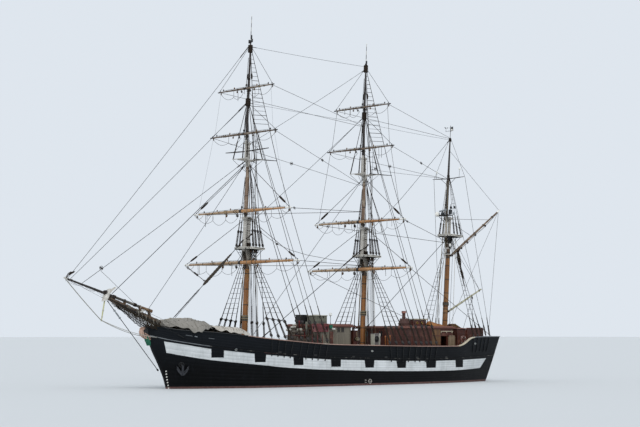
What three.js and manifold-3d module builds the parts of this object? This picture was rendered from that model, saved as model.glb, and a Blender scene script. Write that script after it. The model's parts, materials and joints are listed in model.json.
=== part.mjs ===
// Three-masted barque, scale model at 1:10.
// Every size below is the real ship's, in metres; K turns it into millimetres of the model.
// s runs aft from the stem at the waterline, b to port, z up from the waterline.
// The part's frame: +X towards the bow, +Y to port, +Z up, origin amidships at the waterline.
import * as THREE from "three";
import { mergeVertices } from "three/addons/utils/BufferGeometryUtils.js";
import Module from "manifold-3d";

const wasm = await Module();
wasm.setup();

const K = 100;            // millimetres of model for each metre of the ship, 1:10
const MID = 17.5;         // s of the frame's origin
const GAP = 0.004;        // between touching pieces, 0.4 mm on the model
const MOVE_GAP = 0.055;   // between a moving piece and its neighbours, 5.5 mm on the model

const ship = new THREE.Group();
const X = (s) => (MID - s) * K;
const V = (s, b, z) => new THREE.Vector3(X(s), b * K, z * K);

// ---------- materials ----------
const mat = (color, roughness, metalness = 0) => new THREE.MeshStandardMaterial({ color, roughness, metalness });
const PAINT_BLACK = mat(0x16171a, 0.45);
const DECK_WOOD = mat(0x9a8468, 0.8);
const SPAR_OCHRE = mat(0xa9702c, 0.5);
const SPAR_BROWN = mat(0x5c4030, 0.6);
const SPAR_DARK = mat(0x2b2422, 0.6);
const HOUSE_CREAM = mat(0xa49a86, 0.7);
const HOUSE_VARNISH = mat(0x5a352a, 0.6);
const STEEL_DARK = mat(0x33363a, 0.6, 0.6);
const BRONZE = mat(0x8a6a3c, 0.4, 0.9);
const CANVAS = mat(0xb4aea4, 0.9);
const TOP_WHITE = mat(0xcfcdc8, 0.6);
const WIRE = mat(0x2a2a2b, 0.6, 0.5);
const CARVED = mat(0xb99a86, 0.7);

function add(name, geometry, material, parent = ship) {
  const mesh = new THREE.Mesh(geometry, material);
  mesh.name = name;
  parent.add(mesh);
  return mesh;
}

// ---------- numbers between the rows of a table ----------
// monotone cubic through rows of [x, y]
function curve(rows) {
  const x = rows.map((r) => r[0]), y = rows.map((r) => r[1]), n = x.length;
  const d = [], m = new Array(n).fill(0);
  for (let i = 0; i < n - 1; i++) d.push((y[i + 1] - y[i]) / (x[i + 1] - x[i]));
  m[0] = d[0]; m[n - 1] = d[n - 2];
  for (let i = 1; i < n - 1; i++) {
    if (d[i - 1] * d[i] <= 0) m[i] = 0;
    else {
      const w1 = 2 * (x[i + 1] - x[i]) + (x[i] - x[i - 1]), w2 = (x[i + 1] - x[i]) + 2 * (x[i] - x[i - 1]);
      m[i] = (w1 + w2) / (w1 / d[i - 1] + w2 / d[i]);
    }
  }
  return (q) => {
    if (q <= x[0]) return y[0];
    if (q >= x[n - 1]) return y[n - 1];
    let i = 0;
    while (q > x[i + 1]) i++;
    const h = x[i + 1] - x[i], t = (q - x[i]) / h, t2 = t * t, t3 = t2 * t;
    return (2 * t3 - 3 * t2 + 1) * y[i] + (t3 - 2 * t2 + t) * h * m[i] + (3 * t2 - 2 * t3) * y[i + 1] + (t3 - t2) * h * m[i + 1];
  };
}

// ---------- hull form ----------
const STEM_HALF = 0.12;                       // half the siding of stem and keel
const railZ = curve([[-1.85, 4.98], [0, 4.60], [2.5, 4.41], [4, 4.28], [5.4, 4.14], [6.7, 3.98], [9.5, 3.72], [12.7, 3.48],
  [14.9, 3.38], [17.5, 3.33], [20.7, 3.27], [25.6, 3.20], [29.4, 3.19], [30.1, 3.31], [30.7, 3.57], [31.3, 3.87], [31.9, 3.98], [35.9, 4.04]]);
const deckZ = curve([[-1.7, 3.55], [0, 3.40], [3, 3.15], [6.7, 2.90], [9.5, 2.66], [12.7, 2.43], [14.9, 2.33], [17.5, 2.28], [20.7, 2.22], [25.6, 2.16], [31, 2.16], [35.9, 2.30]]);
const waterHalf = curve([[0, 0.12], [0.5, 0.35], [1, 0.62], [2, 1.15], [4, 2.05], [6, 2.80], [9, 3.45], [12, 3.80], [16, 3.95], [24, 3.93], [28, 3.60], [30, 3.25], [32, 2.75], [34, 2.15], [35, 1.85]]);
const railHalf = curve([[0, 0.12], [0.5, 0.80], [1, 1.25], [2, 2.00], [4, 2.85], [6, 3.35], [9, 3.75], [12, 3.95], [16, 4.00], [24, 3.97], [28, 3.82], [30, 3.65], [32, 3.40], [34, 3.05], [35, 2.82]]);
const bodyBottom = curve([[0, -0.5], [0.3, -1.3], [0.8, -2.0], [1.6, -2.7], [3, -3.2], [5, -3.5], [8, -3.6], [24, -3.6], [27, -3.3], [29, -2.8], [31, -2.05], [33, -1.2], [35, -0.35]]);
const fullness = curve([[0, 1.0], [2, 1.2], [6, 1.8], [12, 2.8], [18, 3.2], [24, 2.8], [28, 2.0], [32, 1.5], [35, 1.3]]);
const stemRake = curve([[0, 0], [0.7, -0.22], [1.49, -0.58], [2.27, -1.0], [3.06, -1.45], [3.83, -1.74], [5, -1.88]]);
const TRANSOM_RAKE = 0.22;
const bowBlend = (s0) => (s0 < 7 ? (1 - s0 / 7) ** 2 : 0);
const sternBlend = (s0) => (s0 > 30 ? ((s0 - 30) / 5) ** 2 : 0);
const sAt = (s0, z) => s0 + (z > 0 ? stemRake(z) * bowBlend(s0) + TRANSOM_RAKE * z * sternBlend(s0) : 0);
const railAt = (s0) => railZ(s0 - 1.85 * bowBlend(s0));
const deckAt = (s0) => deckZ(s0 - 1.7 * bowBlend(s0));
function halfAt(s0, z) {
  if (z <= 0) {
    const q = Math.min(1, z / bodyBottom(s0));
    return Math.max(STEM_HALF, waterHalf(s0) * Math.sqrt(Math.max(0, 1 - q ** fullness(s0))));
  }
  const t = Math.min(1, z / railAt(s0));
  return waterHalf(s0) + (railHalf(s0) - waterHalf(s0)) * t ** 0.9;
}

// the hull's solid runs straight between its stations: its bottom and deck lines there
const STATIONS = [0, 0.3, 0.8, 1.6, 2.6, 4, 5.5, 7.5, 10, 13, 16, 20, 24, 27, 29, 30.5, 32, 33.2, 34.2, 35];
function straight(f, s) {
  let i = 0;
  while (STATIONS[i + 1] < s) i++;
  const q = (s - STATIONS[i]) / (STATIONS[i + 1] - STATIONS[i]);
  return f(STATIONS[i]) * (1 - q) + f(STATIONS[i + 1]) * q;
}

// ---------- lofting ----------
// rings: lists of points that go round, with point i paired to point n-1-i across the ring
function loft(rings) {
  const n = rings[0].length, pos = [], idx = [];
  for (const r of rings) for (const p of r) pos.push(p.x, p.y, p.z);
  const at = (i, j) => i * n + (j % n);
  for (let i = 0; i < rings.length - 1; i++)
    for (let j = 0; j < n; j++) idx.push(at(i, j), at(i + 1, j), at(i + 1, j + 1), at(i, j), at(i + 1, j + 1), at(i, j + 1));
  for (let k = 0; k < n / 2 - 1; k++) {
    const a = k, b = k + 1, c = n - 2 - k, d = n - 1 - k, e = rings.length - 1;
    idx.push(at(0, a), at(0, b), at(0, c), at(0, a), at(0, c), at(0, d));
    idx.push(at(e, a), at(e, c), at(e, b), at(e, a), at(e, d), at(e, c));
  }
  return outward(pos, idx);
}
function outward(pos, idx) {
  let vol = 0;
  for (let i = 0; i < idx.length; i += 3) {
    const [a, b, c] = [idx[i] * 3, idx[i + 1] * 3, idx[i + 2] * 3];
    vol += pos[a] * (pos[b + 1] * pos[c + 2] - pos[b + 2] * pos[c + 1]) - pos[a + 1] * (pos[b] * pos[c + 2] - pos[b + 2] * pos[c]) + pos[a + 2] * (pos[b] * pos[c + 1] - pos[b + 1] * pos[c]);
  }
  if (vol < 0) for (let i = 0; i < idx.length; i += 3) [idx[i + 1], idx[i + 2]] = [idx[i + 2], idx[i + 1]];
  const g = new THREE.BufferGeometry();
  g.setAttribute("position", new THREE.Float32BufferAttribute(pos, 3));
  g.setIndex(idx);
  return g;
}

// ---------- joining and cutting ----------
function toSolid(geometry, matrix) {
  let g = geometry.clone();
  if (matrix) g.applyMatrix4(matrix);
  g.deleteAttribute("normal"); g.deleteAttribute("uv");
  g = mergeVertices(g, 1e-4);
  return new wasm.Manifold(new wasm.Mesh({ numProp: 3, vertProperties: new Float32Array(g.attributes.position.array), triVerts: new Uint32Array(g.index.array) }));
}
function toGeometry(solid) {
  const m = solid.getMesh(), g = new THREE.BufferGeometry(), pos = new Float32Array(m.numVert * 3);
  for (let i = 0; i < m.numVert; i++) for (let k = 0; k < 3; k++) pos[i * 3 + k] = m.vertProperties[i * m.numProp + k];
  g.setAttribute("position", new THREE.BufferAttribute(pos, 3));
  g.setIndex(new THREE.BufferAttribute(new Uint32Array(m.triVerts), 1));
  return g;
}
const join = (...parts) => toGeometry(parts.map((p) => toSolid(p)).reduce((a, b) => a.add(b)));
const cut = (body, ...tools) => toGeometry(tools.map((p) => toSolid(p)).reduce((a, b) => a.subtract(b), toSolid(body)));

// ---------- simple shapes, in ship metres ----------
// tapered round bar between two points; rows of [fraction along, radius] where it isn't straight
function rod(a, b, rows, sides = 12) {
  const A = V(...a), B = V(...b), L = A.distanceTo(B);
  const pts = [new THREE.Vector2(0, 0), ...rows.map(([f, r]) => new THREE.Vector2(r * K, f * L)), new THREE.Vector2(0, L)];
  const g = new THREE.LatheGeometry(pts, sides);
  g.applyQuaternion(new THREE.Quaternion().setFromUnitVectors(new THREE.Vector3(0, 1, 0), B.clone().sub(A).normalize()));
  g.translate(A.x, A.y, A.z);
  return g;
}
function block(s0, s1, b0, b1, z0, z1) {
  const g = new THREE.BoxGeometry(Math.abs(s1 - s0) * K, Math.abs(b1 - b0) * K, Math.abs(z1 - z0) * K);
  const c = V((s0 + s1) / 2, (b0 + b1) / 2, (z0 + z1) / 2);
  g.translate(c.x, c.y, c.z);
  return g;
}
// flat plate cut to an outline of [s, z] points, from b0 to b1
function slab(outline, b0, b1) {
  const shape = new THREE.Shape(outline.map(([s, z]) => new THREE.Vector2(X(s), z * K)));
  const g = new THREE.ExtrudeGeometry(shape, { depth: (b1 - b0) * K, bevelEnabled: false });
  g.rotateX(Math.PI / 2);
  g.translate(0, b1 * K, 0);
  return g;
}

// ================= hull =================
const BELOW = [1, 0.985, 0.93, 0.84, 0.72, 0.56, 0.38, 0.2, 0];   // fraction of the body's depth
const ABOVE = [0.25, 0.5, 0.75, 1];                               // fraction of the deck's height
const ring = (right) => [...right.map(([s, b, z]) => V(s, b, z)), ...right.slice().reverse().map(([s, b, z]) => V(s, -b, z))];
add("hull", loft(STATIONS.map((s0) => {
  const side = BELOW.map((q) => [s0, halfAt(s0, bodyBottom(s0) * q), bodyBottom(s0) * q]);
  for (const t of ABOVE) { const z = deckAt(s0) * t; side.push([sAt(s0, z), halfAt(s0, z), z]); }
  return ring(side);
})), PAINT_BLACK);

// keel, deadwood and sternpost: one fin under the body
const KEEL_Z = -4.0, KEEL_HALF = 0.14, POST_S = 33.6;
const keelTop = [3.2, ...STATIONS.filter((s) => s > 3.2 && s < POST_S), POST_S].map((s) => [s, straight(bodyBottom, s) - 0.012]);
add("keel", slab([...keelTop.slice().reverse(), [3.2, -3.45], [4.4, -3.85], [6.0, KEEL_Z], [POST_S, KEEL_Z]], -KEEL_HALF, KEEL_HALF), PAINT_BLACK);

// bulwarks, one each side, from the deck edge up to the rail
const RAIL_STATIONS = [0.45, 0.8, 1.6, 2.6, 4, 5.5, 7.5, 10, 13, 16, 20, 24, 27, 29.3, 29.9, 30.4, 30.9, 31.4, 31.9, 33.2, 34.2, 35];
const BULWARK_T = 0.13;
function planAngle(s0, z) {
  const e = 0.05, a = Math.max(0.4, s0 - e), b = Math.min(35, s0 + e);
  return Math.atan((halfAt(b, z) - halfAt(a, z)) / (sAt(b, z) - sAt(a, z)));
}
const innerAt = (s0, z) => Math.max(0.03, halfAt(s0, z) - BULWARK_T / Math.cos(planAngle(s0, z)));
for (const [name, side] of [["bulwark_port", 1], ["bulwark_starboard", -1]]) {
  add(name, loft(RAIL_STATIONS.map((s0) => {
    const z0 = straight(deckAt, s0) + GAP, z1 = railAt(s0), zm = (z0 + z1) / 2;
    const outer = [z0, zm, z1].map((z) => V(sAt(s0, z), side * halfAt(s0, z), z));
    const inner = [z1, zm, z0].map((z) => V(sAt(s0, z), side * innerAt(s0, z), z));
    return [...outer, ...inner];
  })), PAINT_BLACK);
}
// raised decks between the bulwarks, and the bulwark across the stern
const FORE_DECK_DROP = 0.14, POOP_Z = 3.05;
const between = (stations, zTop) => loft(stations.map((s0) => {
  const z0 = deckAt(s0) + 0.01, z1 = zTop(s0);
  return ring([[sAt(s0, z0), innerAt(s0, z0) - 0.02, z0], [sAt(s0, z1), Math.min(innerAt(s0, z1), innerAt(s0, z1 - 0.1)) - 0.02, z1]]);
}));
add("forecastle_deck", between([0.8, 1.6, 2.6, 4, 5.2, 6.3], (s0) => railAt(s0) - FORE_DECK_DROP), DECK_WOOD);
add("poop_deck", between([31.0, 31.9, 33.2, 34.2, 34.8], () => POOP_Z), DECK_WOOD);
add("stern_bulwark", between([34.84, 35], (s0) => railAt(s0)), PAINT_BLACK);

// knee of the head under the bowsprit, and its carved scroll
add("head_knee", slab([[-1.90, 3.95], [-2.25, 4.02], [-2.42, 4.20], [-2.30, 4.52], [-2.12, 4.95], [-1.90, 5.10]], -0.1, 0.1), PAINT_BLACK);
add("figurehead", join(
  rod([-2.20, 0, 4.60], [-2.72, 0, 4.72], [[0, 0.10], [0.35, 0.17], [0.75, 0.16], [1, 0.07]], 10),
  rod([-2.50, 0, 4.62], [-2.30, 0, 4.02], [[0, 0.12], [0.5, 0.15], [1, 0.10]], 10)), CARVED);
ship.getObjectByName("figurehead").geometry = cut(ship.getObjectByName("figurehead").geometry,
  slab([[-1.80, 3.90], [-2.255, 3.975], [-2.44, 4.20], [-2.315, 4.52], [-2.13, 4.97], [-1.80, 5.15]], -0.105, 0.105));

// ================= bowsprit =================
const SPRIT = { inner: [0, 0, 4.78], outer: [-5.95, 0, 7.17] };
const JIB = { inner: [-1.50, 0, 6.06], outer: [-9.69, 0, 8.53] };
const capHole = rod([-5.0, 0, 7.116], [-6.6, 0, 7.598], [[0, 0.118], [1, 0.118]], 16);
const capBlock = (() => {
  const g = new THREE.BoxGeometry(0.16 * K, 0.36 * K, 0.72 * K);
  g.rotateY(0.36);
  const c = V(-5.83, 0, 7.29);
  g.translate(c.x, c.y, c.z);
  return g;
})();
add("bowsprit", cut(join(rod(SPRIT.inner, SPRIT.outer, [[0, 0.24], [0.3, 0.25], [0.8, 0.18], [1, 0.13]], 14), capBlock), capHole), SPAR_BROWN);
add("jib_boom", rod(JIB.inner, JIB.outer, [[0, 0.13], [0.15, 0.10], [0.6, 0.10], [1, 0.06]], 10), SPAR_DARK);
add("dolphin_striker", rod([-5.96, 0, 6.93], [-6.27, 0, 5.27], [[0, 0.05], [0.5, 0.06], [1, 0.04]], 8), SPAR_OCHRE);

// ================= masts =================
// Each mast is a group whose local +X is forward, +Z along the mast, in millimetres, standing on the deck at its foot.
// columns: name, foot s, foot z, rake (s per z)
const MASTS = {
  fore: { s: 7.83, z: straight(deckAt, 7.83) + 0.02, rake: 0.052 },
  main: { s: 21.17, z: straight(deckAt, 21.17) + 0.02, rake: 0.048 },
  mizzen: { s: 31.46, z: POOP_Z + 0.022, rake: 0.075 },
};
for (const m of Object.values(MASTS)) {
  m.a = Math.atan(m.rake);
  m.group = new THREE.Group();
  m.group.position.copy(V(m.s, 0, m.z));
  m.group.rotation.y = -m.a;
  ship.add(m.group);
  m.h = (z) => (z - m.z) / Math.cos(m.a);     // height along the mast for a level z
}
function bar(r, z0, z1, x = 0, sides = 14) {                    // r: rows of [height fraction, radius]
  const L = z1 - z0;
  const g = new THREE.LatheGeometry([new THREE.Vector2(0, 0), ...r.map(([f, q]) => new THREE.Vector2(q * K, f * L * K)), new THREE.Vector2(0, L * K)], sides);
  g.rotateX(Math.PI / 2);
  g.translate(x * K, 0, z0 * K);
  return g;
}
// plate seen from above: a rounded slot x0..x1 of half-width w, with round holes [x, r]
function plate(outline, holes, z0, z1) {
  const shape = new THREE.Shape(outline.map(([x, y]) => new THREE.Vector2(x * K, y * K)));
  for (const [x, r, n = 14] of holes) {
    const p = new THREE.Path();
    for (let i = 0; i < n; i++) { const t = -2 * Math.PI * i / n; (i ? p.lineTo : p.moveTo).call(p, (x + r * Math.cos(t)) * K, r * Math.sin(t) * K); }
    p.closePath();
    shape.holes.push(p);
  }
  const g = new THREE.ExtrudeGeometry(shape, { depth: (z1 - z0) * K, bevelEnabled: false });
  g.translate(0, 0, z0 * K);
  return g;
}
const capsule = (x0, x1, r, n = 7) => {
  const out = [];
  for (let i = 0; i <= n; i++) { const t = -Math.PI / 2 + Math.PI * i / n; out.push([x1 + r * Math.cos(t), r * Math.sin(t)]); }
  for (let i = 0; i <= n; i++) { const t = Math.PI / 2 + Math.PI * i / n; out.push([x0 + r * Math.cos(t), r * Math.sin(t)]); }
  return out;
};
// an outline with a slot-shaped hole round two masts
function slotPlate(outline, x0, x1, r, z0, z1) {
  const shape = new THREE.Shape(outline.map(([x, y]) => new THREE.Vector2(x * K, y * K)));
  const hole = new THREE.Path(capsule(x0, x1, r).reverse().map(([x, y]) => new THREE.Vector2(x * K, y * K)));
  shape.holes.push(hole);
  const g = new THREE.ExtrudeGeometry(shape, { depth: (z1 - z0) * K, bevelEnabled: false });
  g.translate(0, 0, z0 * K);
  return g;
}
const T1 = 0.40, T2 = 0.66;   // how far the topmast and the topgallant mast stand ahead of the lower mast
// levels z of each mast's parts; columns of the table:
//   top, lowerCap: the top platform and the lower cap; trees, upperCap: the crosstrees and topmast cap; truck, pole
const RIG = {
  fore: { top: 11.30, lowerCap: 13.90, trees: 18.55, upperCap: 20.05, truck: 28.40, pole: 30.60 },
  main: { top: 11.05, lowerCap: 13.60, trees: 18.15, upperCap: 19.70, truck: 27.90, pole: 29.80 },
};
function topOutline(aft, fwd, half) {
  const out = [[-aft, -half], [fwd * 0.25, -half]];
  for (let i = 1; i < 6; i++) { const t = -Math.PI / 2 + Math.PI * i / 6; out.push([fwd * 0.25 + fwd * 0.75 * Math.cos(t), half * Math.sin(t)]); }
  out.push([fwd * 0.25, half], [-aft, half]);
  return out;
}
for (const [name, r] of Object.entries(RIG)) {
  const m = MASTS[name], h = m.h, g = m.group;
  const lowerTop = h(r.lowerCap);
  add(`${name}_lower_mast`, join(
    bar([[0, 0.23], [0.55, 0.21], [0.72, 0.19], [0.76, 0.16], [1, 0.15]], 0, lowerTop),
    cut(plate(capsule(-0.08, T1 + 0.02, 0.26), [[T1, 0.172]], lowerTop - 0.26, lowerTop - 0.08))), SPAR_OCHRE, g);
  const heel1 = h(r.top) - 0.25, upperTop = h(r.upperCap);
  add(`${name}_topmast`, join(
    bar([[0, 0.165], [0.6, 0.155], [0.72, 0.13], [1, 0.115]], heel1, upperTop, T1),
    cut(plate(capsule(T1 - 0.03, T2 + 0.01, 0.17), [[T2, 0.122]], upperTop - 0.18, upperTop - 0.05))), SPAR_BROWN, g);
  const heel2 = h(r.trees) - 0.15, truck = h(r.truck), pole = h(r.pole);
  add(`${name}_topgallant_mast`, bar([[0, 0.115], [0.5, 0.1], [(truck - heel2) / (pole - heel2) - 0.006, 0.06], [(truck - heel2) / (pole - heel2), 0.1],
    [(truck - heel2) / (pole - heel2) + 0.006, 0.1], [(truck - heel2) / (pole - heel2) + 0.012, 0.03], [1, 0.02]], heel2, pole, T2, 12), SPAR_DARK, g);
  add(`${name}_top`, slotPlate(topOutline(0.85, 0.95, 1.15), -0.02, T1 + 0.02, 0.235, h(r.top) - 0.10, h(r.top) + 0.08), TOP_WHITE, g);
  add(`${name}_crosstrees`, slotPlate([[T1 - 0.75, -1.15], [T1 - 0.55, -1.15], [T1 - 0.3, -0.42], [T2 + 0.35, -0.42], [T2 + 0.55, -0.95], [T2 + 0.7, -0.95], [T2 + 0.62, 0],
    [T2 + 0.7, 0.95], [T2 + 0.55, 0.95], [T2 + 0.35, 0.42], [T1 - 0.3, 0.42], [T1 - 0.55, 1.15], [T1 - 0.75, 1.15], [T1 - 0.55, 0]], T1, T2, 0.19, h(r.trees) - 0.05, h(r.trees) + 0.07), TOP_WHITE, g);
}
{
  const m = MASTS.mizzen, h = m.h, g = m.group, lowerTop = h(15.0), heel = h(13.25) - 0.2;
  add("mizzen_lower_mast", join(
    bar([[0, 0.25], [0.35, 0.235], [0.6, 0.20], [0.8, 0.17], [0.84, 0.14], [1, 0.13]], 0, lowerTop),
    cut(plate(capsule(-0.05, 0.46, 0.22), [[0.44, 0.137]], lowerTop - 0.24, lowerTop - 0.08))), SPAR_OCHRE, g);
  add("mizzen_topmast", bar([[0, 0.13], [0.5, 0.11], [0.87, 0.06], [0.875, 0.09], [0.885, 0.09], [0.89, 0.025], [1, 0.02]], heel, h(23.4), 0.44, 12), SPAR_DARK, g);
  add("mizzen_top", slotPlate(topOutline(0.85, 0.95, 1.0), -0.02, 0.46, 0.205, h(13.25) - 0.08, h(13.25) + 0.06), TOP_WHITE, g);
}

// ================= yards =================
// columns: name, mast, level z, half length, distance ahead of the spar it turns on, that spar's place ahead of the lower mast,
//          spar's radius there, yard's radius at the middle and at the ends
const YARDS = [
  ["fore_course_yard", "fore", 10.07, 7.34, 0.76, 0, 0.205, 0.15, 0.075],
  ["fore_topsail_yard", "fore", 14.29, 6.21, 0.50, T1, 0.165, 0.14, 0.065],
  ["fore_topgallant_yard", "fore", 20.66, 4.30, 0.37, T2, 0.115, 0.095, 0.05],
  ["fore_royal_yard", "fore", 24.46, 3.61, 0.32, T2, 0.10, 0.08, 0.045],
  ["main_course_yard", "main", 9.85, 6.60, 0.76, 0, 0.205, 0.15, 0.075],
  ["main_topsail_yard", "main", 13.98, 5.75, 0.50, T1, 0.165, 0.135, 0.065],
  ["main_topgallant_yard", "main", 20.38, 4.22, 0.37, T2, 0.115, 0.095, 0.05],
  ["main_royal_yard", "main", 24.06, 3.59, 0.32, T2, 0.10, 0.08, 0.045],
];
// half collar, open aft, round a spar: inner radius ri, outer ro, between +-angle
function collar(x, ri, ro, angle, z0, z1, facing = 0, n = 6) {
  const out = [];
  for (let i = 0; i <= n; i++) { const t = facing - angle + 2 * angle * i / n; out.push([x + ro * Math.cos(t), ro * Math.sin(t)]); }
  for (let i = n; i >= 0; i--) { const t = facing - angle + 2 * angle * i / n; out.push([x + ri * Math.cos(t), ri * Math.sin(t)]); }
  return plate(out, [], z0, z1);
}
for (const [name, mast, z, half, ahead, at, sparR, r0, r1] of YARDS) {
  const m = MASTS[mast], h = m.h(z), L = 2 * half;
  const spar = new THREE.LatheGeometry([[0, 0], [r1 * 0.8, 0], [r1, 0.015], [r1 * 1.35, 0.2], [r0, 0.42], [r0, 0.58], [r1 * 1.35, 0.8], [r1, 0.985], [r1 * 0.8, 1], [0, 1]]
    .map(([r, f]) => new THREE.Vector2(r * K, (f - 0.5) * L * K)), 10);
  spar.translate((at + ahead) * K, 0, h * K);
  const ri = sparR + 0.03, ro = ri + 0.06;
  const arm = new THREE.BoxGeometry((ahead - ri - 0.02) * K, 0.10 * K, 0.10 * K);
  arm.translate((at + (ahead + ri + 0.02) / 2) * K, 0, h * K);
  add(name, join(spar, arm, collar(at, ri, ro, 1.25, h - 0.06, h + 0.06)), z < 16 ? SPAR_OCHRE : SPAR_BROWN, m.group);
}

// ================= spanker gaff and boom =================
{
  const m = MASTS.mizzen, h = m.h;
  // columns: name, jaw level z, outer end [s, z], radius at jaw, middle, end
  for (const [name, z0, s1, z1, ra, rb, rc] of [["spanker_gaff", 11.45, 39.18, 15.96, 0.10, 0.11, 0.06], ["spanker_boom", 6.35, 36.55, 8.45, 0.08, 0.09, 0.06]]) {
    const hz = h(z0), ri = 0.285, ro = 0.35;
    const a = new THREE.Vector3(-(ri + 0.06), 0, hz);
    const end = V(s1, 0, z1).sub(m.group.position).applyAxisAngle(new THREE.Vector3(0, 1, 0), m.a).divideScalar(K);
    const L = a.distanceTo(end);
    const pole = new THREE.LatheGeometry([[0, 0], [ra, 0], [rb, 0.35], [rc, 1], [0, 1]].map(([r, f]) => new THREE.Vector2(r * K, f * L * K)), 10);
    pole.applyQuaternion(new THREE.Quaternion().setFromUnitVectors(new THREE.Vector3(0, 1, 0), end.clone().sub(a).normalize()));
    pole.translate(a.x * K, 0, a.z * K);
    add(name, join(pole, collar(0, ri, ro, 1.45, hz - 0.07, hz + 0.09, Math.PI, 8)), name === "spanker_gaff" ? SPAR_DARK : SPAR_OCHRE, m.group);
  }
}

// ================= main stays =================
// columns: name, from [s, z], to [s, z], radius
const STAYS = [
  ["fore_stay", [7.70, 11.87], [0.75, 5.66], 0.026],
  ["fore_topmast_stay", [7.78, 18.10], [-5.30, 7.38], 0.024],
  ["main_stay", [20.97, 11.50], [8.55, 3.15], 0.026],
  ["main_topmast_stay", [21.35, 17.85], [8.55, 3.90], 0.024],
  ["mizzen_stay", [31.88, 12.95], [21.62, 4.75], 0.024],
  ["bobstay", [-5.74, 6.84], [-0.82, 1.42], 0.030],
];
for (const [name, a, b, r] of STAYS) add(name, rod([a[0], 0, a[1]], [b[0], 0, b[1]], [[0, r], [1, r]], 6), WIRE);

// ================= rudder, screws, anchors =================
const RUDDER = { s: 33.86, half: 0.11 };
add("rudder", slab([[33.76, -3.92], [34.9, -3.92], [35.15, -3.5], [35.05, -1.6], [34.85, -0.80], [33.96, -1.16], [33.96, -0.87], [33.76, -0.96]], -RUDDER.half, RUDDER.half), PAINT_BLACK);
const SCREW = { s: 32.45, b: 1.25, z: -2.45, r: 0.78 };
for (const [side, tag] of [[1, "port"], [-1, "starboard"]]) {
  const c = [SCREW.s, side * SCREW.b, SCREW.z];
  const shaft = rod([30.1, c[1], c[2]], [SCREW.s - 0.17, c[1], c[2]], [[0, 0.07], [1, 0.07]], 10);
  const barrel = rod([SCREW.s - 0.55, c[1], c[2]], [SCREW.s - 0.2, c[1], c[2]], [[0, 0.13], [1, 0.13]], 10);
  const strut = slab([[31.92, SCREW.z], [32.2, SCREW.z], [32.2, -1.38], [31.92, -1.50]], c[1] - 0.04, c[1] + 0.04);
  add(`propeller_shaft_${tag}`, join(shaft, barrel, strut), STEEL_DARK);
  const hub = rod([SCREW.s - 0.14, c[1], c[2]], [SCREW.s + 0.24, c[1], c[2]], [[0, 0.13], [0.6, 0.12], [1, 0.04]], 12);
  const blades = [0, 1, 2].map((i) => {
    const shape = new THREE.Shape([[-0.07, 0.05], [-0.2, 0.35], [-0.22, 0.6], [-0.08, SCREW.r], [0.1, SCREW.r - 0.02], [0.2, 0.55], [0.16, 0.3], [0.07, 0.05]].map(([x, y]) => new THREE.Vector2(x * K, y * K)));
    const g = new THREE.ExtrudeGeometry(shape, { depth: 0.035 * K, bevelEnabled: false });
    g.translate(0, 0, -0.0175 * K);
    g.rotateY(Math.PI / 2 + side * 0.55);       // pitch
    g.rotateX(i * 2 * Math.PI / 3);
    const p = V(...c);
    g.translate(p.x, p.y, p.z);
    return g;
  });
  add(`propeller_${tag}`, join(hub, ...blades), BRONZE);
}
// stockless anchors hauled up to the bow: shank, crown and two flukes in one piece, lying along the hull's side
for (const [side, tag] of [[1, "port"], [-1, "starboard"]]) {
  const shape = new THREE.Shape([[-0.5, 0.35], [-0.38, -0.12], [-0.1, -0.42], [0.1, -0.42], [0.38, -0.12], [0.5, 0.35], [0.3, 0.05], [0.09, -0.12], [0.08, 0.32], [-0.08, 0.32], [-0.09, -0.12], [-0.3, 0.05]]
    .map(([x, y]) => new THREE.Vector2(x * K, y * K)));
  const g = new THREE.ExtrudeGeometry(shape, { depth: 0.14 * K, bevelEnabled: false });
  g.rotateX(Math.PI / 2);                         // outline into the X-Z plane, thickness along -Y
  const s0 = 1.08, z = 1.47, e = 0.3;
  const slope = Math.atan((halfAt(s0 + e, z) - halfAt(s0 - e, z)) / (sAt(s0 + e, z) - sAt(s0 - e, z)));
  const flare = Math.atan((halfAt(s0, z + e) - halfAt(s0, z - e)) / (2 * e));
  if (side < 0) g.translate(0, 0.14 * K, 0);
  g.rotateX(-side * flare);
  g.rotateZ(-side * slope);
  const p = V(sAt(s0, z), side * (halfAt(s0, z) + 0.30), z);
  g.translate(p.x, p.y, p.z);
  add(`anchor_${tag}`, g, STEEL_DARK);
}

// ================= deck houses =================
// columns: name, s from and to, half width, floor z, top of wall, wall, doorway [s0, s1, b0, b1, z top]
function house(name, s0, s1, half, z0, z1, t, doorway, material) {
  add(name, cut(cut(block(s0, s1, -half, half, z0, z1), block(s0 + t, s1 - t, -half + t, half - t, z0 - 1, z1 + 1)), block(...doorway)), material);
  add(`${name}_roof`, block(s0 - 0.15, s1 + 0.15, -half - 0.15, half + 0.15, z1 + GAP, z1 + 0.13), material);
}
const FORE_HOUSE = { s0: 14.45, s1: 17.9, half: 2.0, z0: straight(deckAt, 14.45) + 0.01, z1: 4.94, t: 0.10 };
const AFT_HOUSE = { s0: 22.6, s1: 30.6, half: 1.9, z0: straight(deckAt, 22.6) + 0.01, z1: 4.80, t: 0.10 };
{
  const f = FORE_HOUSE, a = AFT_HOUSE;
  house("fore_deckhouse", f.s0, f.s1, f.half, f.z0, f.z1, f.t, [f.s1 - 0.3, f.s1 + 0.3, -0.42, 0.42, f.z0 - 1, f.z0 + 1.9], HOUSE_CREAM);
  house("aft_deckhouse", a.s0, a.s1, a.half, a.z0, a.z1, a.t, [29.12, 29.86, a.half - 0.3, a.half + 0.3, a.z0 - 1, a.z0 + 1.9], HOUSE_VARNISH);
}
const DOOR_T = 0.06;
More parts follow.
